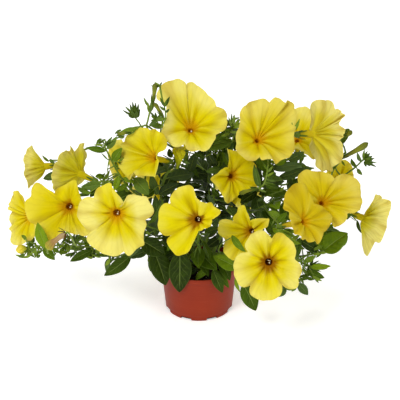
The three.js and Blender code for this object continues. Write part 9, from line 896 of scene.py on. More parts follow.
    # painted shade and highlight: from the relief, the hollows are darkened and the puffs beside them lightened,
    # standing in for the shading of the folds
    low = disp.copy()
    for _ in range(7):
        low = 0.5 * low + 0.25 * (np.roll(low, 1, 1) + np.roll(low, -1, 1))
    for _ in range(4):
        up_, dn_ = np.vstack([low[1:], low[-1:]]), np.vstack([low[:1], low[:-1]])
        low = 0.5 * low + 0.25 * (up_ + dn_)
    wide = low
    for _ in range(60):
        wide = 0.5 * wide + 0.25 * (np.roll(wide, 3, 1) + np.roll(wide, -3, 1))
    hollow = np.clip((wide - disp) * 0.42, -1, 1) * step(uu, 0.03, 0.2)
    M = M + n0 * (disp * sc * step(uu, 0.02, 0.18))[..., None]
    nrm = normals(M)
    # a corolla is thin, thinner still at its margin
    t = 0.5 * (0.55 - 0.33 * step(uu, 0.0, 1.0))[..., None]
    F, K = M + nrm * t, M - nrm * t
    last = M[-1] + unit(M[-1] - M[-2]) * 0.08
    # outside of the tube, down to its foot in the calyx
    qo = np.linspace(0.96, 0.0, 9)[:, None]
    tro = tube_radius(rt, qo) * (1 - (1 - looks.get("throat", 0.74)) * qo**2) + 0.25
    ridge = 1 + 0.05 * np.cos(2 * math.pi * v) * (1 - qo)
    tube_out = np.stack([tro * ridge * cs, tro * ridge * sn, -length * (1 - qo) * np.ones(N)], -1)
    rows = [*F, last, *K[nt:][::-1], *tube_out]
    local = np.array(rows)
    nr = len(local)
    pu = np.concatenate([U, np.ones((1, N)), U[nt:][::-1], (qo - 1) * np.ones(N)])
    back = np.concatenate([np.zeros((nt + NU + 1, N)), np.full((1, N), 0.5), np.ones((NU + 1 + 9, N))])
    lp = np.array(looks.get("pale", [0.5] * 5), float)
    around = place
    i0 = np.floor(around - 0.5).astype(int)
    w = step(around - 0.5 - i0, 0.15, 0.85)
    pale = lp[i0 % 5] * (1 - w) + lp[(i0 + 1) % 5] * w
    # the painted shade and highlight of the relief, front and back, carried to the material
    shade = np.concatenate([hollow, hollow[-1:], -hollow[nt:][::-1], np.zeros((len(qo), N))])
    world = c + local[..., 0:1] * e1 + local[..., 1:2] * e2 + local[..., 2:3] * a
    quads = grid_quads(nr, N, True)
    j = np.arange(N)
    qv = np.stack([j, j + 1, j + 1, j], 1) / PER
    qv = np.tile(qv, (nr - 1, 1))
    mid_in, mid_out = c - a * length * (1 - looks.get("floor", 0.7)) * 1.06, c - a * (length + 0.3)
    pts = np.concatenate([world.reshape(-1, 3), [mid_in], [mid_out]])
    k = (j + 1) % N
    e = (nr - 1) * N
    tris = np.concatenate([np.stack([k, j, np.full(N, nr * N)], 1), np.stack([e + j, e + k, np.full(N, nr * N + 1)], 1)])
    tv = np.concatenate([np.stack([(j + 1) / PER, j / PER, j / PER], 1), np.stack([j / PER, (j + 1) / PER, j / PER], 1)])
    # which way the faces turn
    m = (nt + NU // 2) * N
    fn = np.cross(world.reshape(-1, 3)[m + 1] - world.reshape(-1, 3)[m], world.reshape(-1, 3)[m + N] - world.reshape(-1, 3)[m])
    if np.dot(fn, a) < 0:
        quads, qv, tris, tv = quads[:, ::-1], qv[:, ::-1], tris[:, ::-1], tv[:, ::-1]
    b.add(pts, quads, tris, 0, qv=qv, tv=tv, pu=np.concatenate([pu.ravel(), [-1, -1]]), back=np.concatenate([back.ravel(), [0, 1]]), pale=np.concatenate([np.tile(pale, nr), [0, 0]]), shade=np.concatenate([shade.ravel(), [0, 0]]), rnd=(seed_of(name) % 97) / 97, tone=looks.get("deep", 0.0), grey=looks.get("dark", 0.25))
    # style with a flattened stigma, and anthers on thin filaments
    if looks.get("inner", 2):
        deepest = length * (1 - looks.get("floor", 0.7))
        rr = rt * looks.get("throat", 0.74)
        top = c - a * 1.4 + e1 * 1.0 - e2 * 1.0
        tube(b, [c - a * deepest, c - a * deepest * 0.5 + e1 * 0.3, top], 0.4, 0.45, 6, 3.0, 1, tone=0.7)
        blob(b, top + a * 0.3, 1.05, 0.9, 0.65, a, 2, tone=0.5, rnd=0.3)
        for k in range(5):
            ang = 0.6 + k * 2 * math.pi / 5 + rng.uniform(-0.3, 0.3)
            d = e1 * math.cos(ang) + e2 * math.sin(ang)
            # painted shade: anthers deep in the tube take the darker style material, only the near ones keep the pale
            # anther material
            near = k < looks.get("inner", 2) - 1
            lv = -2.0 if near else -length * (1 - looks.get("floor", 0.7)) * 0.8
            p = c + a * lv + d * (rr * (0.4 if near else 0.5))
            tube(b, [c - a * deepest + d * rr * 0.3, c - a * deepest * 0.6 + d * rr * 0.35, p], 0.2, 0.18, 5, 4.0, 1, tone=0.4)
            blob(b, p, 0.85, 0.6, 0.6, unit(a + 0.5 * d), 3 if near else 1, tone=0.5, rnd=0.1 * k)


def blob(b, centre, rx, ry, rz, up, mat, n=8, m=5, tone=0.5, rnd=0.0, lumpy=0.0, seed=1):
    up = unit(vec(up))
    s = unit(np.cross(up, [0.37, 0.21, 0.9]))
    w = np.cross(up, s)
    rng = np.random.default_rng(seed)
    pts = []
    for i in range(1, m):
        ph = math.pi * i / m
        for j in range(n):
            an = 2 * math.pi * j / n
            k = 1 + lumpy * rng.uniform(-1, 1)
            pts.append(centre + k * (s * rx * math.sin(ph) * math.cos(an) + w * ry * math.sin(ph) * math.sin(an) + up * rz * math.cos(ph)))
    q = grid_quads(m - 1, n, True, flip=True)
    pts += [centre + up * rz, centre - up * rz]
    j = np.arange(n)
    k = (j + 1) % n
    e = (m - 2) * n
    t = np.concatenate([np.stack([j, k, np.full(n, (m - 1) * n)], 1), np.stack([e + k, e + j, np.full(n, (m - 1) * n + 1)], 1)])
    b.add(np.array(pts), q, t, mat, tone=tone, rnd=rnd)


def sepals(b, foot, a, e1, e2, r_of, length, rng, tone, mat_leaf=1, mat_stem=0, count=5, width=2.3, open_by=1.6):
    """The green cup of a flower and its narrow free tips."""
    rings, n = [], 12
    for rad, zz in ((1.3, -5.2), (1.9, -4.2), (3.3, -2.6), (4.1, -0.8), (4.2, 1.2), (r_of(3.0) + 0.75, 3.2), (r_of(3.0) + 0.25, 3.0)):
        ang = np.arange(n) * 2 * math.pi / n
        rings.append(foot + a * zz + rad * (np.cos(ang)[:, None] * e1 + np.sin(ang)[:, None] * e2))
    pts = np.concatenate(rings + [[foot - a * 5.6], [foot + a * 2.0]])
    q = grid_quads(len(rings), n, True)
    j = np.arange(n)
    k = (j + 1) % n
    e = (len(rings) - 1) * n
    t = np.concatenate([np.stack([k, j, np.full(n, len(rings) * n)], 1), np.stack([e + j, e + k, np.full(n, len(rings) * n + 1)], 1)])
    b.add(pts, q, t, mat_stem, tone=tone, rnd=rng.random(), ls=0.5)
    for i in range(count):
        ang = i * 2 * math.pi / count + math.pi / 5 + rng.uniform(-0.12, 0.12)
        d = e1 * math.cos(ang) + e2 * math.sin(ang)
        base = foot + a * 0.2 + d * 3.5
        z1 = length * rng.uniform(0.9, 1.06)
        tip = foot + a * z1 + d * (r_of(z1) + open_by * rng.uniform(0.8, 1.5))
        blade(b, base, tip, -d, width * rng.uniform(0.9, 1.15), ns=7, nt=4, thick=0.5, mat=mat_leaf, tone=tone, rnd=rng.random(), fold=0.25, bow=-0.02, shape=0.6, lead=0.75, veins=False)


def spindle(b, base, tip, width, kind, rng, mat=0, tone=0.5):
    B, T = vec(base), vec(tip)
    axis = T - B
    L = np.linalg.norm(axis)
    axis = axis / L
    s0 = unit(np.cross([0.2, 0.9, 0.4], axis))
    s1 = np.cross(axis, s0)
    shapes = {
        "bud": ([0, 0.12, 0.3, 0.55, 0.78, 0.92, 0.98, 1], [0.4, 0.52, 0.6, 0.72, 1.0, 0.86, 0.5, 0.12]),
        "round": ([0, 0.15, 0.35, 0.6, 0.8, 0.93, 1], [0.35, 0.72, 0.96, 1.0, 0.82, 0.5, 0.1]),
        "half": ([0, 0.2, 0.45, 0.65, 0.82, 0.93, 1], [0.25, 0.34, 0.52, 0.78, 1.0, 0.98, 0.62]),
        "wither": ([0, 0.2, 0.4, 0.6, 0.8, 0.92, 1], [0.35, 0.62, 0.52, 0.62, 1.0, 1.04, 0.4]),
    }[kind]
    n, m = 30, 26
    s = np.linspace(0, 1, m)
    prof = np.interp(s, *shapes)
    prof = np.convolve(np.pad(prof, 1, mode="edge"), [0.25, 0.5, 0.25], "valid")
    deep = {"bud": 0.14, "round": 0.12, "half": 0.3, "wither": 0.3}[kind]
    twist = {"bud": 1.7, "round": 1.2, "half": 1.1, "wither": 2.2}[kind]
    rings = []
    for i in range(m):
        ang = np.arange(n) * 2 * math.pi / n
        fold = 1 - deep * step(s[i], 0.3, 0.8) * (0.5 + 0.5 * np.cos(5 * (ang + twist * s[i]))) ** 2
        crump = 1.0
        if kind in ("wither", "half"):
            crump = 1 + (0.1 if kind == "wither" else 0.05) * np.sin(9 * ang + 14 * s[i]) * step(s[i], 0.2, 0.6)
        r = 0.5 * width * prof[i] * fold * crump
        bend = axis * L * s[i] + s0 * (0.03 * L * math.sin(math.pi * s[i]))
        rings.append(B + bend + (r * np.cos(ang))[:, None] * s0 + (r * np.sin(ang))[:, None] * s1)
    pts = np.concatenate(rings + [[B - axis * 0.2], [T + axis * (0.0 if kind == "half" else 0.3)]])
    q = grid_quads(m, n, True)
    j = np.arange(n)
    k = (j + 1) % n
    e = (m - 1) * n
    t = np.concatenate([np.stack([k, j, np.full(n, m * n)], 1), np.stack([e + j, e + k, np.full(n, m * n + 1)], 1)])
    ls = np.concatenate([np.repeat(s, n), [0, 1]])
    qv = np.tile(np.stack([j, j + 1, j + 1, j], 1) * 5.0 / n, (m - 1, 1))
    b.add(pts, q, t, mat, qv=qv, tv=None, ls=ls, tone=tone, rnd=rng.random())


# ---------------------------------------------------------------- materials
class Graph:
    def __init__(self, name):
        self.m = bpy.data.materials.new(name)
        self.m.use_nodes = True
        self.t = self.m.node_tree
        self.t.nodes.clear()
        self.out = self.t.nodes.new("ShaderNodeOutputMaterial")

    def node(self, kind, **values):
        n = self.t.nodes.new(kind)
        for k, v in values.items():
            setattr(n, k, v)
        return n

    def put(self, sock, v):
        if isinstance(v, bpy.types.NodeSocket):
            self.t.links.new(v, sock)
        else:
            sock.default_value = v

    def attr(self, name):
        return self.node("ShaderNodeAttribute", attribute_name=name).outputs["Fac"]

    def math(self, op, a, b=None, c=None, clamp=False):
        n = self.node("ShaderNodeMath", operation=op, use_clamp=clamp)
        self.put(n.inputs[0], a)
        if b is not None:
            self.put(n.inputs[1], b)
        if c is not None:
            self.put(n.inputs[2], c)
        return n.outputs[0]

    def range(self, v, a, b, lo=0.0, hi=1.0, smooth=True):
        n = self.node("ShaderNodeMapRange", interpolation_type="SMOOTHSTEP" if smooth else "LINEAR")
        self.put(n.inputs["Value"], v)
        for k, x in (("From Min", a), ("From Max", b), ("To Min", lo), ("To Max", hi)):
            self.put(n.inputs[k], x)
        return n.outputs[0]

    def mix(self, f, a, b, mode="MIX"):
        n = self.node("ShaderNodeMix", data_type="RGBA", blend_type=mode)
        self.put(n.inputs[0], f)
        self.put(n.inputs[6], a)
        self.put(n.inputs[7], b)
        return n.outputs[2]

    def ramp(self, v, stops, mode="EASE"):
        n = self.node("ShaderNodeValToRGB")
        n.color_ramp.interpolation = mode
        el = n.color_ramp.elements
        while len(el) < len(stops):
            el.new(0.5)
        for e, (p, c) in zip(el, sorted(stops, key=lambda s: s[0])):
            e.position, e.color = p, c
        self.put(n.inputs[0], v)
        return n.outputs[0]

    def coords(self, scale=(1, 1, 1)):
        tc = self.node("ShaderNodeTexCoord")
        mp = self.node("ShaderNodeMapping")
        mp.inputs["Scale"].default_value = scale
        self.t.links.new(tc.outputs["Object"], mp.inputs["Vector"])
        return mp.outputs[0]

    def noise(self, scale, detail=3.0, rough=0.5, vector=None, distortion=0.0):
        n = self.node("ShaderNodeTexNoise")
        n.inputs["Scale"].default_value = scale
        n.inputs["Detail"].default_value = detail
        n.inputs["Roughness"].default_value = rough
        n.inputs["Distortion"].default_value = distortion
        if vector is not None:
            self.t.links.new(vector, n.inputs["Vector"])
        else:
            tc = self.node("ShaderNodeTexCoord")
            self.t.links.new(tc.outputs["Object"], n.inputs["Vector"])
        return n.outputs["Fac"]

    def combine(self, x, y, z):
        n = self.node("ShaderNodeCombineXYZ")
        for s, v in zip(n.inputs, (x, y, z)):
            self.put(s, v)
        return n.outputs[0]

    def bump(self, height, strength=0.3, distance=0.0005, normal=None):
        n = self.node("ShaderNodeBump")
        n.inputs["Strength"].default_value = strength
        n.inputs["Distance"].default_value = distance
        self.put(n.inputs["Height"], height)
        if normal is not None:
            self.put(n.inputs["Normal"], normal)
        return n.outputs[0]

    def surface(self, colour, rough, normal=None, through=None, share=0.0, **fixed):
        p = self.node("ShaderNodeBsdfPrincipled")
        self.put(p.inputs["Base Color"], colour)
        self.put(p.inputs["Roughness"], rough)
        if normal is not None:
            self.put(p.inputs["Normal"], normal)
        for k, v in fixed.items():
            p.inputs[k.replace("_", " ")].default_value = v
        shader = p.outputs[0]
        if share:
            tr = self.node("ShaderNodeBsdfTranslucent")
            self.put(tr.inputs["Color"], through)
            if normal is not None:
                self.put(tr.inputs["Normal"], normal)
            mx = self.node("ShaderNodeMixShader")
            mx.inputs[0].default_value = share
            self.t.links.new(shader, mx.inputs[1])
            self.t.links.new(tr.outputs[0], mx.inputs[2])
            shader = mx.outputs[0]
        self.t.links.new(shader, self.out.inputs["Surface"])
        return self.m


def petal_material():
    g = Graph("petal")
    pu, pv, back, pale, deep, hole, rnd, shade = (g.attr(k) for k in ("pu", "pv", "back", "pale", "tone", "grey", "rnd", "shade"))
    shift = g.math("MULTIPLY", rnd, 31.0)
    # streaks that run from throat to margin, finer outwards
    streak = g.noise(1.0, 3.0, 0.6, g.combine(g.math("ADD", g.math("MULTIPLY", pv, 7.0), shift), g.math("MULTIPLY", pu, 1.4), rnd))
    fine = g.noise(1.0, 2.0, 0.6, g.combine(g.math("ADD", g.math("MULTIPLY", pv, 34.0), shift), g.math("MULTIPLY", pu, 3.0), rnd))
    broad = g.noise(1.0, 2.0, 0.5, g.combine(g.math("ADD", g.math("MULTIPLY", pv, 1.8), shift), g.math("MULTIPLY", pu, 2.2), rnd))
    mottle = g.noise(75.0, 3.0, 0.55)
    wander = g.math("MULTIPLY", g.math("SUBTRACT", g.noise(1.0, 2.0, 0.5, g.combine(g.math("MULTIPLY", pv, 2.4), g.math("MULTIPLY", pu, 5.0), shift)), 0.5), 0.16)
    warped = g.math("ADD", pv, wander)

    def lines(count, width):
        w = g.math("PINGPONG", g.math("MULTIPLY", warped, float(count)), 1.0)  # 0 at each vein
        return g.range(w, width, 0.0)

    inner = g.math("MULTIPLY", lines(8, 0.34), g.range(pu, 0.75, 0.3))
    outer = g.math("MULTIPLY", lines(16, 0.4), g.range(pu, 0.3, 0.6))
    vein = g.math("MAXIMUM", inner, outer)
    near_mid = g.math("PINGPONG", g.math("ADD", g.math("MULTIPLY", wander, 0.25), g.math("ADD", pv, 0.5)), 0.5)
    near_sinus = g.math("PINGPONG", g.math("ADD", g.math("MULTIPLY", wander, 0.25), pv), 0.5)
    rib = g.math("MULTIPLY", g.range(near_mid, 0.05, 0.0), g.range(pu, 0.85, 0.3))
    sinus = g.math("MULTIPLY", g.range(near_sinus, 0.06, 0.0), g.range(pu, 1.0, 0.5))
    u01 = g.math("MULTIPLY_ADD", g.math("ADD", pu, g.math("MULTIPLY", g.math("SUBTRACT", streak, 0.5), 0.14)), 0.5, 0.5)
    base = g.ramp(
        u01,
        [
            (0.0, srgb(198, 116, 22)),
            (0.36, srgb(206, 126, 12)),
            (0.47, srgb(214, 150, 2)),
            (0.53, srgb(226, 182, 0)),
            (0.59, srgb(232, 200, 0)),
            (0.70, srgb(231, 214, 0)),
            (0.86, srgb(231, 218, 0)),
            (1.0, srgb(231, 219, 6)),
        ],
    )
    # margins and whole lobes fade to cream: partly the petals' own paler margins, partly painted light on the lobes
    # that face the light
    start = g.math("MULTIPLY_ADD", pale, -0.64, 0.9)
    fade = g.math("DIVIDE", g.math("SUBTRACT", g.math("ADD", pu, g.math("MULTIPLY", g.math("SUBTRACT", broad, 0.5), 0.5)), start), 0.42, clamp=True)
    fade = g.math("MULTIPLY", g.math("MULTIPLY", fade, fade), g.math("MULTIPLY_ADD", pale, 0.62, 0.3), clamp=True)
    col = g.mix(g.math("MULTIPLY", g.range(broad, 0.35, 0.7), 0.5), base, g.mix(1.0, base, srgb(240, 236, 250), "MULTIPLY"))
    col = g.mix(fade, col, srgb(244, 237, 142))
    col = g.mix(g.math("MULTIPLY", deep, g.range(pu, 0.05, 0.5)), col, srgb(212, 187, 16))
    # the dark throat with its streaks
    reach = g.math("SUBTRACT", pu, g.math("MULTIPLY", g.range(hole, 0.7, 1.0), 0.07))
    halo = g.math("MULTIPLY", g.range(g.math("ADD", reach, g.math("MULTIPLY", g.math("SUBTRACT", streak, 0.5), 0.4)), 0.42, 0.08), g.math("MULTIPLY_ADD", hole, 0.6, 0.4))
    col = g.mix(g.math("MULTIPLY", halo, 0.85), col, g.mix(g.range(hole, 0.3, 1.0), srgb(210, 150, 4), srgb(154, 92, 4)))
    col = g.mix(g.math("MULTIPLY", g.range(pu, 0.03, -0.12), g.range(hole, 0.55, 1.0)), col, srgb(104, 46, 6))
    outside = g.ramp(
        u01,
        [(0.0, srgb(190, 178, 24)), (0.35, srgb(212, 196, 16)), (0.55, srgb(220, 212, 22)), (0.8, srgb(228, 222, 44)), (1.0, srgb(238, 232, 112))],
    )
    outside = g.mix(g.math("MULTIPLY", deep, 0.6), outside, srgb(222, 190, 56))
    outside = g.mix(g.math("MULTIPLY", fade, 0.85), outside, srgb(246, 239, 152))
    col = g.mix(back, col, outside)
    dark = g.mix(back, srgb(176, 154, 0), srgb(160, 152, 16))
    amount = g.math("ADD", g.math("MULTIPLY", vein, g.math("MULTIPLY_ADD", back, 0.1, 0.07)), g.math("MULTIPLY", g.math("MAXIMUM", g.math("MULTIPLY", rib, 0.6), sinus), 0.26), clamp=True)
    amount = g.math("MULTIPLY", amount, g.range(pu, -0.1, 0.12))
    col = g.mix(amount, col, dark)
    # painted shade in the hollows of the relief, then a painted highlight on the puffs
    col = g.mix(g.math("MULTIPLY", g.range(shade, 0.05, 0.9, smooth=False), 0.46), col, g.mix(1.0, col, srgb(200, 176, 54), "MULTIPLY"))
    col = g.mix(g.math("MULTIPLY", g.range(shade, -0.1, -0.9, smooth=False), 0.16), col, srgb(250, 244, 120))
    col = g.mix(g.math("MULTIPLY", g.range(fine, 0.5, 0.8), 0.1), col, srgb(244, 232, 40))
    height = g.math("ADD", g.math("MULTIPLY", g.math("MAXIMUM", vein, g.math("MULTIPLY", rib, 1.6)), -0.5), g.math("ADD", g.math("MULTIPLY", streak, 0.9), g.math("MULTIPLY", fine, 0.4)))
    nrm = g.bump(height, 0.4, 0.00035)
    nrm = g.bump(g.math("ADD", g.noise(900.0, 2.0, 0.6), g.math("MULTIPLY", mottle, 2.0)), 0.14, 0.0003, nrm)
    rough = g.range(fine, 0.2, 0.9, 0.66, 0.5)
    return g.surface(col, rough, nrm, g.mix(1.0, col, srgb(255, 250, 30), "MULTIPLY"), 0.36, Specular_IOR_Level=0.06)


def leaf_material(name, dark, mid, light, rough_lo=0.36, rough_hi=0.55, share=0.13):
    g = Graph(name)
    s, t, tone, grey, rnd, back = (g.attr(k) for k in ("ls", "lt", "tone", "grey", "rnd", "back"))
    a = g.math("ABSOLUTE", t)
    shift = g.math("MULTIPLY", rnd, 17.0)
    wob = g.math("MULTIPLY", g.math("SUBTRACT", g.noise(1.0, 2.0, 0.5, g.combine(g.math("MULTIPLY", s, 5.0), g.math("MULTIPLY", t, 2.0), shift)), 0.5), 0.12)
    side = g.math("PINGPONG", g.math("MULTIPLY", g.math("ADD", g.math("SUBTRACT", s, g.math("MULTIPLY", a, 0.32)), wob), 6.0), 0.5)
    sidev = g.math("MULTIPLY", g.range(side, 0.09, 0.0), g.range(a, 1.0, 0.35))
    rib = g.math("MULTIPLY", g.range(a, 0.075, 0.015), g.range(s, 1.0, 0.75))
    net = g.noise(1.0, 3.0, 0.65, g.combine(g.math("MULTIPLY", s, 16.0), g.math("MULTIPLY", t, 7.0), shift))
    mottle = g.noise(140.0, 3.0, 0.6)
    col = g.ramp(g.math("ADD", tone, g.math("MULTIPLY", g.math("SUBTRACT", mottle, 0.5), 0.32)), [(0.0, dark), (0.5, mid), (1.0, light)], "LINEAR")
    col = g.mix(g.math("MULTIPLY", g.range(net, 0.35, 0.7), 0.3), col, g.mix(1.0, col, srgb(200, 210, 160), "MULTIPLY"))
    col = g.mix(grey, col, srgb(104, 128, 82))
    vein_c = g.mix(0.42, col, srgb(168, 190, 100))
    col = g.mix(g.math("MAXIMUM", g.math("MULTIPLY", rib, 0.8), g.math("MULTIPLY", sidev, 0.32)), col, vein_c)
    col = g.mix(g.math("MULTIPLY", back, 0.4), col, srgb(88, 112, 38))
    col = g.mix(g.math("MULTIPLY", g.range(a, 0.9, 1.0), 0.35), col, g.mix(0.5, col, srgb(150, 178, 84)))
    h = g.math("ADD", g.math("MULTIPLY", g.math("MAXIMUM", rib, sidev), -0.9), g.math("MULTIPLY", net, 0.7))
    nrm = g.bump(h, 0.5, 0.0004)
    nrm = g.bump(g.noise(1400.0, 2.0, 0.6), 0.15, 0.00015, nrm)
    rough = g.range(net, 0.2, 0.8, rough_hi, rough_lo)
    return g.surface(col, rough, nrm, g.mix(1.0, col, srgb(225, 245, 50), "MULTIPLY"), share, Specular_IOR_Level=0.09)


def stem_material():
    g = Graph("stem")
    tone, rnd, s = g.attr("tone"), g.attr("rnd"), g.attr("ls")
    m1, m2 = g.noise(60.0, 3.0, 0.6), g.noise(420.0, 2.0, 0.6)
    col = g.ramp(g.math("ADD", tone, g.math("MULTIPLY", g.math("SUBTRACT", m1, 0.5), 0.5)), [(0.0, srgb(48, 64, 14)), (0.5, srgb(96, 120, 30)), (1.0, srgb(148, 170, 56))], "LINEAR")
    col = g.mix(g.math("MULTIPLY", g.range(m2, 0.5, 0.75), 0.25), col, srgb(172, 192, 118))
    nrm = g.bump(m2, 0.4, 0.0003)
    return g.surface(col, g.range(m1, 0.3, 0.7, 0.62, 0.46), nrm, g.mix(0.5, col, srgb(180, 210, 70)), 0.12, Specular_IOR_Level=0.2)


def bud_material(name, low, high, tip):
    g = Graph(name)
    s, pv, rnd = g.attr("ls"), g.attr("pv"), g.attr("rnd")
    twist = g.math("ADD", pv, g.math("MULTIPLY", s, 1.3))
    line = g.range(g.math("PINGPONG", g.math("MULTIPLY", twist, 3.0), 1.0), 0.34, 0.0)
    m1 = g.noise(160.0, 3.0, 0.6)
    col = g.ramp(g.math("ADD", s, g.math("MULTIPLY", g.math("SUBTRACT", m1, 0.5), 0.25)), [(0.0, low), (0.6, high), (1.0, tip)], "LINEAR")
    col = g.mix(g.math("MULTIPLY", line, 0.42), col, g.mix(1.0, col, srgb(170, 170, 120), "MULTIPLY"))
    nrm = g.bump(g.math("ADD", g.math("MULTIPLY", line, -1.0), g.noise(500.0, 2.0, 0.6)), 0.4, 0.0003)
    return g.surface(col, g.range(m1, 0.3, 0.7, 0.62, 0.48), nrm, col, 0.16, Specular_IOR_Level=0.2)


def plain(name, a, b, scale, rough=0.6, bump=0.3, dist=0.0003, share=0.0, spec=0.4):
    g = Graph(name)
    n1, n2 = g.noise(scale, 4.0, 0.6), g.noise(scale * 6, 3.0, 0.6)
    col = g.mix(g.range(n1, 0.3, 0.7), a, b)
    nrm = g.bump(n2, bump, dist)
    return g.surface(col, g.range(n2, 0.3, 0.7, min(1, rough + 0.08), rough - 0.08), nrm, col, share, Specular_IOR_Level=spec)


def pot_material():
    g = Graph("terracotta_plastic")
    tc = g.node("ShaderNodeTexCoord")
    sep = g.node("ShaderNodeSeparateXYZ")
    g.t.links.new(tc.outputs["Object"], sep.inputs[0])
    z = sep.outputs[2]
    broad = g.noise(14.0, 3.0, 0.55)
    fine = g.noise(900.0, 3.0, 0.6)
    rings = g.noise(1.0, 2.0, 0.5, g.combine(0.0, 0.0, g.math("MULTIPLY", z, 420.0)))
    col = g.mix(g.range(broad, 0.3, 0.7), srgb(130, 39, 15), srgb(141, 45, 19))
    col = g.mix(g.math("MULTIPLY", g.range(rings, 0.4, 0.75), 0.25), col, srgb(154, 58, 30))
    col = g.mix(g.math("MULTIPLY", g.range(z, 0.022, 0.0), 0.4), col, srgb(122, 35, 15))
    # dried splashes of soil, in scattered patches over the pot
    spots = g.math("MULTIPLY", g.range(g.noise(240.0, 4.0, 0.7), 0.66, 0.74), g.range(g.noise(20.0, 2.0, 0.5), 0.5, 0.75))
    col = g.mix(g.math("MULTIPLY", spots, 0.45), col, srgb(104, 66, 46))
    scuff = g.range(g.noise(1.0, 3.0, 0.6, g.coords((70, 70, 900))), 0.62, 0.8)
    col = g.mix(g.math("MULTIPLY", scuff, 0.16), col, srgb(214, 140, 112))
    nrm = g.bump(g.math("ADD", fine, g.math("MULTIPLY", rings, 0.7)), 0.22, 0.00025)
    rough = g.range(g.math("ADD", broad, g.math("MULTIPLY", scuff, 0.3)), 0.3, 0.9, 0.44, 0.62)
    return g.surface(col, rough, nrm, Specular_IOR_Level=0.14)


def soil_material():
    g = Graph("potting_soil")
    n1, n2, n3 = g.noise(90.0, 5.0, 0.65), g.noise(420.0, 4.0, 0.7), g.noise(30.0, 2.0, 0.5)
    col = g.mix(g.range(n1, 0.35, 0.68), srgb(24, 17, 11), srgb(62, 44, 29))
    col = g.mix(g.math("MULTIPLY", g.range(n2, 0.58, 0.72), 0.6), col, srgb(96, 72, 48))
    col = g.mix(g.math("MULTIPLY", g.range(n3, 0.4, 0.7), 0.35), col, srgb(18, 13, 9))
    nrm = g.bump(g.math("ADD", g.math("MULTIPLY", n1, 1.4), n2), 0.9, 0.0012)
    return g.surface(col, g.range(n2, 0.3, 0.7, 0.98, 0.82), nrm, Specular_IOR_Level=0.25)


PETAL = petal_material()
LEAF = leaf_material("leaf", srgb(24, 36, 2), srgb(78, 106, 6), srgb(146, 174, 20))
BRACT = leaf_material("young_leaf", srgb(30, 44, 3), srgb(76, 102, 14), srgb(146, 168, 50), 0.42, 0.6, 0.12)
DRY = leaf_material("dry_sepal", srgb(48, 26, 10), srgb(94, 56, 22), srgb(150, 110, 50), 0.6, 0.8, 0.05)
STEM = stem_material()
STYLE = plain("style", srgb(196, 160, 60), srgb(220, 190, 90), 300.0, 0.6, 0.2, 0.0002, 0.1, 0.1)
STIGMA = plain("stigma", srgb(222, 214, 170), srgb(250, 244, 222), 500.0, 0.6, 0.2, 0.0002, 0.1, 0.15)
ANTHER = plain("anther", srgb(232, 204, 150), srgb(252, 238, 206), 700.0, 0.8, 0.5, 0.0003, 0.0, 0.1)
BUD = bud_material("bud", srgb(96, 84, 30), srgb(132, 138, 30), srgb(92, 100, 22))
BUD_YELLOW = bud_material("bud_yellow", srgb(146, 166, 40), srgb(222, 204, 52), srgb(236, 214, 80))
HALF = bud_material("half_open", srgb(150, 172, 20), srgb(218, 216, 8), srgb(206, 196, 16))
WITHER = bud_material("withered", srgb(184, 160, 118), srgb(164, 126, 74), srgb(172, 172, 18))
POT = pot_material()
SOIL = soil_material()
PERLITE = plain("perlite", srgb(222, 220, 212), srgb(250, 249, 245), 600.0, 0.85, 0.8, 0.0006)
BARK = plain("bark_chip", srgb(46, 30, 18), srgb(96, 66, 40), 200.0, 0.85, 0.8, 0.0006)

# ---------------------------------------------------------------- how single leaves and flowers look
# tone and greyness of the named leaves: partly their own colour, partly painted light and shade, dark where they hang
# low by the pot or sit inside the foliage
TONES = {
    "leaf_left_hanging": (0.22, 0.0), "leaf_pot_left": (0.16, 0.0), "leaf_pot_front": (0.1, 0.0), "leaf_dark_left": (0.14, 0.0),
    "leaf_pot_right": (0.2, 0.0), "leaf_front_right": (0.62, 0.0), "leaf_low_right": (0.3, 0.0), "leaf_bright_right": (0.62, 0.0),
    "leaf_dark_right": (0.1, 0.0), "leaf_mid_right": (0.4, 0.0), "leaf_grey_right": (0.4, 0.6), "leaf_upper_right": (0.22, 0.2),
    "leaf_centre_right": (0.25, 0.1), "leaf_bright_left": (0.75, 0.0), "leaf_upper_left": (0.6, 0.25), "leaf_centre_left": (0.3, 0.2),
    "leaf_centre": (0.35, 0.3),
}
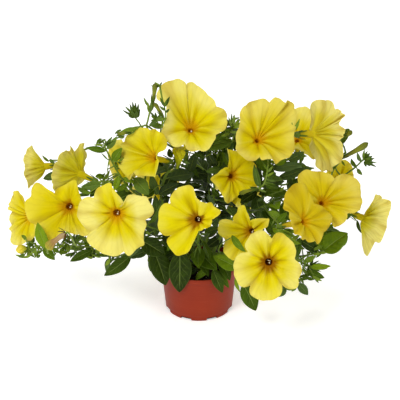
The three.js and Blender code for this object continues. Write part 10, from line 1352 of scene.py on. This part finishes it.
# pale: how pale each lobe's outer part is, from the first lobe on; partly the petals' own colour, partly painted light
FLOWER_LOOKS = {
    "corolla_top": dict(pale=[0.7, 0.5, 0.4, 0.65, 0.75], folds=[(4.02, 0.08, 1.4, 0.08, 0.9)], laps=[(4.3, -0.3, 2.2, 0.1, 1.0), (3.55, 0.3, 1.8, 0.15, 1.0), (0.55, 0.3, 1.5, 0.2, 1.0), (1.05, -0.25, 1.5, 0.15, 1.0), (2.1, 0.35, 1.6, 0.25, 1.0)], inner=2, throat=0.62, dark=0.35, pleat=0.7),
    "corolla_front_left": dict(pale=[0.75, 0.6, 0.95, 0.35, 0.85], folds=[(4.5, 0.08, 1.2, 0.1, 0.9)], laps=[(0.1, 0.4, 1.8, 0.1, 1.0), (1.9, -0.35, 1.6, 0.15, 1.0), (3.1, 0.3, 1.4, 0.2, 1.0)], inner=2, throat=0.8, dark=0.4, pleat=0.6),
    "corolla_left_front": dict(pale=[0.3, 0.4, 0.45, 0.55, 0.15], deep=0.12, laps=[(1.0, 0.35, 1.8, 0.1, 1.0), (4.6, -0.3, 1.6, 0.15, 1.0), (0.45, 0.3, 1.2, 0.3, 1.0)], inner=2, throat=0.8, dark=0.6, pleat=0.6),
    "corolla_front_middle": dict(pale=[0.3, 0.15, 0.1, 0.2, 0.35], laps=[(1.1, 0.3, 1.6, 0.15, 1.0), (3.9, -0.3, 1.5, 0.15, 1.0), (0.2, 0.3, 1.3, 0.2, 1.0)], inner=3, throat=0.74, floor=0.55, dark=0.95, pleat=0.75),
    "corolla_front_low": dict(pale=[0.62, 0.5, 0.6, 0.45, 0.55], notch=2.8, laps=[(4.1, 0.35, 1.8, 0.15, 1.0), (2.55, -0.3, 1.6, 0.2, 1.0), (1.3, 0.25, 1.2, 0.2, 1.0)], pleat=1.0, inner=3, throat=0.8, floor=0.55, dark=1.0),
    "corolla_middle": dict(pale=[0.3, 0.3, 0.15, 0.2, 0.2], deep=0.15, laps=[(0.15, 0.35, 2.4, 0.1, 1.0), (1.5, -0.3, 2.0, 0.1, 1.0), (3.2, 0.35, 2.2, 0.15, 1.0)], inner=0, throat=0.6, dark=0.6, pleat=0.8),
    "corolla_upper_right": dict(pale=[0.55, 0.5, 0.55, 0.5, 0.6], deep=0.3, laps=[(0.3, 0.3, 1.6, 0.15, 1.0), (1.45, -0.35, 1.5, 0.15, 1.0), (2.55, 0.3, 1.5, 0.15, 1.0), (3.4, 0.25, 1.3, 0.25, 1.0), (4.4, -0.3, 1.5, 0.2, 1.0)], inner=0, throat=0.5, dark=0.35, pleat=0.75),
    "corolla_front_right": dict(pale=[0.4, 0.4, 0.4, 0.25, 0.45], laps=[(0.2, 0.3, 1.8, 0.1, 1.0), (2.3, -0.3, 1.6, 0.15, 1.0)], inner=2, throat=0.6, dark=0.75, pleat=0.9),
    "corolla_right_front": dict(pale=[0.45, 0.5, 0.5, 0.4, 0.35], deep=0.75, laps=[(0.4, 0.35, 2.4, 0.1, 1.0), (1.7, -0.35, 2.2, 0.1, 1.0), (3.3, 0.35, 2.2, 0.15, 1.0), (4.2, -0.25, 1.6, 0.2, 1.0)], inner=0, throat=0.5, dark=0.2, pleat=0.7),
    "corolla_right": dict(pale=[0.35, 0.45, 0.6, 0.7, 0.45], deep=0.5, laps=[(0.8, 0.35, 2.4, 0.1, 1.0), (2.1, -0.35, 2.2, 0.15, 1.0), (3.2, 0.3, 2.0, 0.15, 1.0), (4.35, 0.35, 2.0, 0.1, 1.0)], inner=0, throat=0.55, dark=0.35, pleat=0.75),
    "corolla_upper_left": dict(pale=[0.35, 0.25, 0.3, 0.45, 0.4], laps=[(0.9, 0.35, 1.8, 0.15, 1.0), (3.4, -0.3, 1.8, 0.15, 1.0)], inner=0, throat=0.5, dark=0.3, pleat=0.6),
    "corolla_upper_left_behind": dict(pale=[0.55, 0.6, 0.6, 0.6, 0.5], inner=2, pleat=0.7),
    "corolla_right_behind": dict(pale=[0.5, 0.55, 0.65, 0.75, 0.6], inner=0, throat=0.5, dark=0.1, pleat=0.7),
    "corolla_right_turned": dict(pale=[0.65, 0.7, 0.65, 0.7, 0.65], deep=0.35, laps=[(0.4, 0.3, 2.0, 0.3, 1.0), (1.6, -0.3, 2.0, 0.3, 1.0), (2.7, 0.3, 1.8, 0.3, 1.0)], ruffle=1.5),
    # painted light: every lobe fully pale, to lift this corolla, which faces away from the key lamp
    "corolla_right_edge": dict(pale=[1.0, 1.0, 1.0, 1.0, 1.0], ruffle=1.3, pleat=0.8),
    "corolla_left_edge": dict(pale=[0.5, 0.6, 0.6, 0.45, 0.4], laps=[(0.5, 0.3, 2.2, 0.2, 1.0), (2.4, -0.3, 2.0, 0.2, 1.0)], ruffle=1.3, pleat=0.8),
    "corolla_left_side": dict(pale=[0.8, 0.85, 0.8, 0.8, 0.8], ruffle=1.2, pleat=0.7),
    "corolla_left_back": dict(pale=[0.5, 0.55, 0.5, 0.5, 0.5], ruffle=1.2, pleat=0.8),
    "corolla_right_small": dict(pale=[0.35, 0.4, 0.35, 0.4, 0.35], inner=0, dark=0.1),
}


# ---------------------------------------------------------------- pieces
def keep(ob, node):
    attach(ob, "root")
    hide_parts(node)
    return ob


by_name = {f[0]: f for f in FLOWERS}

for f in FLOWERS:
    b = Build(f[0] + "_petals")
    corolla(b, f, FLOWER_LOOKS.get(f[0], {}))
    keep(b.object([PETAL, STYLE, STIGMA, ANTHER]), f[0])


def leaf_tone(row, rng):
    own, shoot, base, tip, normal, width, twig = row
    if own in TONES:
        return TONES[own]
    y = 0.5 * (base[1] + tip[1])
    z = 0.5 * (base[2] + tip[2])
    # painted shade: leaves near the middle of the plant are darkened for the shade inside the foliage, and leaves are
    # darker the lower and further back they sit
    x = 0.5 * (base[0] + tip[0])
    inner = max(0.0, 1 - math.hypot(x, y, z - 150) / 120)
    tone = 0.36 - 0.0022 * y + 0.0008 * (z - 150) + rng.uniform(-0.22, 0.34) + (0.1 if width < 8 else 0) - 0.5 * inner + (0.16 if x < -120 and z < 125 and width < 9 else 0)
    return float(np.clip(tone, 0.04, 0.8)), float(np.clip(rng.uniform(-0.5, 0.45), 0, 0.45))


for i, row in enumerate(LEAVES):
    own, shoot, base, tip, normal, width, twig = row
    if not own:
        continue
    rng = np.random.default_rng(seed_of(own))
    tone, grey = leaf_tone(row, rng)
    b = Build(own + "_blade")
    blade(b, base, tip, normal, width, ns=26, nt=14, thick=0.55, mat=0, tone=tone, grey=grey, rnd=rng.random(), wave=0.012, curl=0.03)
    keep(b.object([LEAF]), own)

for row in BUDS:
    name, shoot, base, tip, width, kind, twig = row
    if name in FUSED:
        continue
    rng = np.random.default_rng(seed_of(name))
    b = Build(name + "_head")
    spindle(b, base, tip, width, kind, rng)
    mat = {"half": HALF, "wither": WITHER, "round": BUD_YELLOW}.get(kind, BUD)
    keep(b.object([mat]), name)

for name, line, (r0, r1) in SHOOTS:
    rng = np.random.default_rng(seed_of(name))
    b = Build(name + "_growth")
    tone = rng.uniform(0.42, 0.58)
    _, s = curve_points(line, 3.0)
    joints = [(x, 0.16, 2.2) for x in np.arange(22, s[-1], rng.uniform(24, 30))]
    tube(b, line, r0 * 1.05, r1, 12, 2.6, 0, swell=joints, rnd=rng.random(), tone=tone, wobble=0.03)
    for flower, shoot, path in STALKS:
        if shoot != name:
            continue
        f = by_name[flower]
        a, e1, e2 = flower_axes(f[3])
        foot = vec(f[2]) - a * f[4]
        tube(b, [foot - a * 4.6, foot - a * 9.0, *path[1:]] if np.linalg.norm(vec(path[1]) - foot) > 12 else [foot - a * 4.6, *path[1:]], 1.45, 1.2, 10, 2.6, 0, swell=[(0, 0.25, 2.5)], rnd=rng.random(), tone=tone + 0.1)
        r_of = lambda zz, L=f[4], rr=f[5]: float(tube_radius(rr, min(1.0, max(0.0, zz / L)))) + 0.35
        sepals(b, foot, a, e1, e2, r_of, 13.0, rng, 0.45 + rng.uniform(-0.1, 0.15), mat_leaf=2)
    for row in LEAVES:
        own, shoot, base, tip, normal, width, twig = row
        if shoot != name:
            continue
        B, T = vec(base), vec(tip)
        d = unit(T - B)
        ltone, lgrey = leaf_tone(row, rng)
        long = np.linalg.norm(T - B)
        if own:
            tube(b, [B + d * 1.2, *twig[1:]], 0.8, 1.05, 8, 2.5, 0, rnd=rng.random(), tone=min(0.8, tone + 0.05))
            continue
        tube(b, [B + d * min(3.0, 0.15 * long), *twig[1:]], 0.62, 0.95, 7, 3.0, 0, rnd=rng.random(), tone=min(0.8, tone + 0.05))
        fine = width > 9
        blade(b, base, tip, normal, width, ns=18 if fine else 12, nt=10 if fine else 6, thick=0.5, mat=1 if width > 6.5 else 2, tone=ltone, grey=lgrey, rnd=rng.random(), wave=rng.uniform(0.006, 0.018), curl=rng.uniform(0.0, 0.06))
    for row in BUDS:
        bname, shoot, base, tip, width, kind, twig = row
        if shoot != name:
            continue
        B, T = vec(base), vec(tip)
        a, e1, e2 = flower_axes(T - B)
        tube(b, [B - a * 0.4, *twig[1:]], 1.2, 1.0, 9, 2.6, 0, rnd=rng.random(), tone=tone + 0.08)
        if bname in FUSED:
            spindle(b, base, tip, width, kind, rng, mat=3, tone=0.5)
        L = np.linalg.norm(T - B)
        big = kind in ("half", "wither")
        cup = min(12.0, L * (0.42 if big else 0.5))
        prof = lambda zz, w=width, LL=L: 0.5 * w * float(np.interp(zz / LL, [0, 0.3, 0.6, 1], [0.45, 0.62, 0.78, 1.0]))
        for i in range(5):
            ang = i * 2 * math.pi / 5 + rng.uniform(-0.15, 0.15)
            dd = e1 * math.cos(ang) + e2 * math.sin(ang)
            spread = rng.uniform(1.2, 2.6) if kind != "bud" else rng.uniform(0.5, 1.4)
            if kind == "wither":  # dry and spread wide
                side = B + dd * 1.2 - a * 0.8
                blade(b, side, B + a * rng.uniform(1.0, 5.0) + dd * rng.uniform(9.0, 12.5), -a, rng.uniform(2.2, 2.8), ns=7, nt=4, thick=0.45, mat=4, tone=rng.uniform(0.15, 0.5), rnd=rng.random(), fold=0.25, bow=0.1, shape=0.6, lead=0.75, veins=False)
                continue
            blade(b, B + dd * prof(0) * 0.9 - a * 0.8, B + a * cup * rng.uniform(0.85, 1.1) + dd * (prof(cup) + spread), -dd, rng.uniform(1.9, 2.5) * (1.0 if width > 6 else 0.8), ns=7, nt=4, thick=0.45, mat=2, tone=0.4 + rng.uniform(-0.15, 0.15), rnd=rng.random(), fold=0.25, bow=-0.02, shape=0.6, lead=0.75, veins=False)
    for shoot, base, direction, twig, bracts in CLUSTERS:
        if shoot != name:
            continue
        B, d = vec(base), unit(vec(direction))
        tube(b, [B + d * 5.0, base, *twig[1:]], 0.8, 1.0, 8, 2.5, 0, rnd=rng.random(), tone=tone)
        for bb, tt, nn, w in bracts:
            blade(b, bb, tt, nn, w * 1.12, ns=9, nt=6, thick=0.45, mat=2, tone=0.42 + rng.uniform(-0.2, 0.2), grey=rng.uniform(0, 0.25), rnd=rng.random(), fold=0.3, bow=0.06, shape=0.7, lead=0.8, wave=0.01, curl=rng.uniform(-0.04, 0.06))
    keep(b.object([STEM, LEAF, BRACT, BUD, DRY]), name)


# pot: turned wall with a rim band, eight drainage slots round the foot
def pot():
    b = Build("pot_shell")
    R0, RW, RR, H, BAND, WALL = 46.0, 51.4, 52.5, 67.0, 6.5, 1.5
    foot = H - BAND
    wall = lambda z: R0 + (RW - R0) * (z - 1.0) / (foot - 1.6)
    prof = [(0.01, 0.0), (30, 0.0), (R0 - 2.2, 0.0), (R0 - 0.9, 0.12), (R0 - 0.25, 0.5), (R0, 1.0)]
    prof += [(wall(z), z) for z in (2.0, 4.0, 5.0)]
    prof += [(wall(5.4) - 0.25, 5.4), (wall(5.9) - 0.25, 5.9), (wall(6.4), 6.4)]
    prof += [(wall(z), z) for z in (9, 14, 20, 27, 34, 41, 48, 54, 58)]
    prof += [(RW, foot - 0.6), (RW + 0.25, foot - 0.25), (RR - 0.2, foot - 0.05), (RR, foot + 0.25), (RR, foot + 1.0), (RR, H - 1.2), (RR - 0.12, H - 0.45), (RR - 0.45, H - 0.08), (RR - 0.8, H)]
    ri = RR - WALL
    prof += [(ri + 0.5, H), (ri + 0.15, H - 0.2), (ri, H - 0.6), (ri, foot + 0.2), (ri - 0.3, foot - 0.4), (RW - WALL, foot - 1.0)]
    prof += [(wall(z) - WALL, z) for z in (48, 34, 20, 8)]
    prof += [(R0 - WALL + 0.1, 2.6), (R0 - WALL - 0.5, 1.6), (R0 - WALL - 1.2, WALL), (20, WALL), (0.01, WALL)]
    n = 192
    ang = np.arange(n) * 2 * math.pi / n
    rings = [np.stack([r * np.cos(ang), r * np.sin(ang), np.full(n, z)], 1) for r, z in prof]
    q = grid_quads(len(rings), n, True)
    j = np.arange(n)
    k = (j + 1) % n
    e = (len(rings) - 1) * n
    c0, c1 = len(rings) * n, len(rings) * n + 1
    tris = np.concatenate([np.stack([k, j, np.full(n, c0)], 1), np.stack([e + j, e + k, np.full(n, c1)], 1)])
    b.add(np.concatenate(rings + [[[0, 0, 0.0]], [[0, 0, WALL]]]), q, tris, 0)
    ob = b.object([POT])
    cut = Build("cutter")
    for i in range(8):
        an = math.radians(22.5 + 45 * i)
        x, y = vec([math.cos(an), math.sin(an), 0]), vec([-math.sin(an), math.cos(an), 0])
        # a slot with rounded upper corners, seen from outside
        sec = [(-7.5, -2.0), (7.5, -2.0), (7.5, 2.9), (7.1, 3.9), (6.2, 4.5), (-6.2, 4.5), (-7.1, 3.9), (-7.5, 2.9)]
        a0 = [y * s + vec([0, 0, z]) + x * 40.0 for s, z in sec]
        a1 = [y * s + vec([0, 0, z]) + x * 50.0 for s, z in sec]
        m = len(sec)
        jj = np.arange(m)
        qq = np.stack([jj, (jj + 1) % m, (jj + 1) % m + m, jj + m], 1)
        tt = [[0, t + 1, t] for t in range(1, m - 1)] + [[m, m + t, m + t + 1] for t in range(1, m - 1)]
        cut.add(a0 + a1, qq, tt, 0)
    co = cut.object([POT], smooth=False)
    import bmesh

    for o in (ob, co):
        bm = bmesh.new()
        bm.from_mesh(o.data)
        bmesh.ops.recalc_face_normals(bm, faces=bm.faces)
        bm.to_mesh(o.data)
        bm.free()
    mod = ob.modifiers.new("slots", "BOOLEAN")
    mod.operation, mod.solver, mod.object = "DIFFERENCE", "EXACT", co
    bpy.context.view_layer.update()
    me = bpy.data.meshes.new_from_object(ob.evaluated_get(bpy.context.evaluated_depsgraph_get()))
    ob.modifiers.clear()
    old = ob.data
    ob.data = me
    me.name = "pot_shell"
    bpy.data.meshes.remove(old)
    cm = co.data
    bpy.data.objects.remove(co)
    bpy.data.meshes.remove(cm)
    # smooth over gentle turns, sharp at the slots' edges
    me.polygons.foreach_set("use_smooth", np.ones(len(me.polygons), bool))
    bm = bmesh.new()
    bm.from_mesh(me)
    for ed in bm.edges:
        if len(ed.link_faces) == 2:
            ed.smooth = ed.calc_face_angle(0) < math.radians(38)
    bm.to_mesh(me)
    bm.free()
    return ob


keep(pot(), "pot")


def soil():
    b = Build("potting_soil_heap")
    rng = np.random.default_rng(5)
    n = 120
    ang = np.arange(n) * 2 * math.pi / n
    inner = lambda z: 46.0 - 1.5 + 5.4 * (z - 1.5) / 59 - 0.35
    waves = [(rng.integers(2, 26), rng.uniform(0.05, 0.5), rng.uniform(0, 6.28), rng.uniform(0.12, 0.45)) for _ in range(26)]

    def rough(r):
        out = np.zeros(n)
        for k, f, ph, am in waves:
            out += am * np.sin(k * ang + ph) * np.sin(f * r + ph * 1.7)
        return out

    rings = [np.stack([inner(2) * np.cos(ang), inner(2) * np.sin(ang), np.full(n, 1.85)], 1)]
    for z in (20, 40, 54.5):
        rings.append(np.stack([inner(z) * np.cos(ang), inner(z) * np.sin(ang), np.full(n, float(z))], 1))
    for r in np.linspace(inner(56), 2.0, 34):
        lump = rough(r) * min(1, (inner(56) - r) / 3 + 0.2)
        rings.append(np.stack([r * np.cos(ang), r * np.sin(ang), 57.2 + lump * 0.9 + (0.4 if r < 30 else 0)], 1))
    q = grid_quads(len(rings), n, True)
    j = np.arange(n)
    k = (j + 1) % n
    e = (len(rings) - 1) * n
    t = np.concatenate([np.stack([k, j, np.full(n, len(rings) * n)], 1), np.stack([e + j, e + k, np.full(n, len(rings) * n + 1)], 1)])
    b.add(np.concatenate(rings + [[[0, 0, 1.85]], [[0, 0, 57.6]]]), q, t, 0)
    for i in range(150):  # crumbs, bark chips and white perlite on top
        r, an = 47 * math.sqrt(rng.uniform(0, 1)), rng.uniform(0, 6.28)
        kind = rng.random()
        sz = rng.uniform(0.7, 1.6) if kind < 0.3 else rng.uniform(0.8, 2.4)
        mat = 1 if kind < 0.3 else (2 if kind < 0.55 else 0)
        up = unit(vec([rng.uniform(-1, 1), rng.uniform(-1, 1), 1.2]))
        blob(b, vec([r * math.cos(an), r * math.sin(an), 57.9 + sz * 0.2]), sz, sz * rng.uniform(0.6, 1), sz * (0.35 if mat == 2 else 0.8), up, mat, 7, 5, lumpy=0.22, seed=i)
    return b.object([SOIL, PERLITE, BARK])


keep(soil(), "potting_soil")

# ---------------------------------------------------------------- floor, light and camera
bpy.ops.mesh.primitive_plane_add(size=16, location=(0, 0, 0))
floor = bpy.context.object
floor.name = "floor"
gf = Graph("pale_floor")
gn = gf.noise(3.0, 2.0, 0.5)
gf.surface(gf.mix(gn, srgb(252, 252, 252), srgb(254, 254, 254)), 0.8, Specular_IOR_Level=0.1, Emission_Color=(1.0, 1.0, 1.0, 1.0), Emission_Strength=0.32)
floor.data.materials.append(gf.m)

world = bpy.data.worlds.new("soft_white")
bpy.context.scene.world = world
world.use_nodes = True
bg = world.node_tree.nodes["Background"]
bg.inputs["Color"].default_value = (1.0, 1.0, 1.0, 1.0)
bg.inputs["Strength"].default_value = 0.62


def lamp(name, where, target, size, watts, colour=(1, 1, 1)):
    light = bpy.data.lights.new(name, "AREA")
    light.shape, light.size, light.energy, light.color = "DISK", size, watts, colour
    ob = bpy.data.objects.new(name, light)
    ob.location = where
    ob.rotation_euler = (Vector(target) - Vector(where)).to_track_quat("-Z", "Y").to_euler()
    bpy.context.scene.collection.objects.link(ob)
    return ob


lamp("key", (-0.9, -1.5, 1.9), (0, 0, 0.15), 0.9, 32)
lamp("fill", (1.7, -1.3, 1.2), (0, 0, 0.15), 1.6, 6.5)
lamp("back", (0.4, 1.6, 1.8), (0, 0, 0.2), 1.2, 8)

camera = bpy.data.cameras.new("camera")
camera.sensor_width, camera.lens = 36, 85
camera.clip_start, camera.clip_end = 0.05, 40
cam = bpy.data.objects.new("camera", camera)
cam.location = (0.001388, -1.114877, 0.702644)
cam.rotation_euler = (math.radians(64), 0, 0)
bpy.context.scene.collection.objects.link(cam)
bpy.context.scene.camera = cam
bpy.context.scene.view_settings.view_transform = "Standard"
bpy.context.scene.view_settings.look = "None"

bpy.context.view_layer.update()
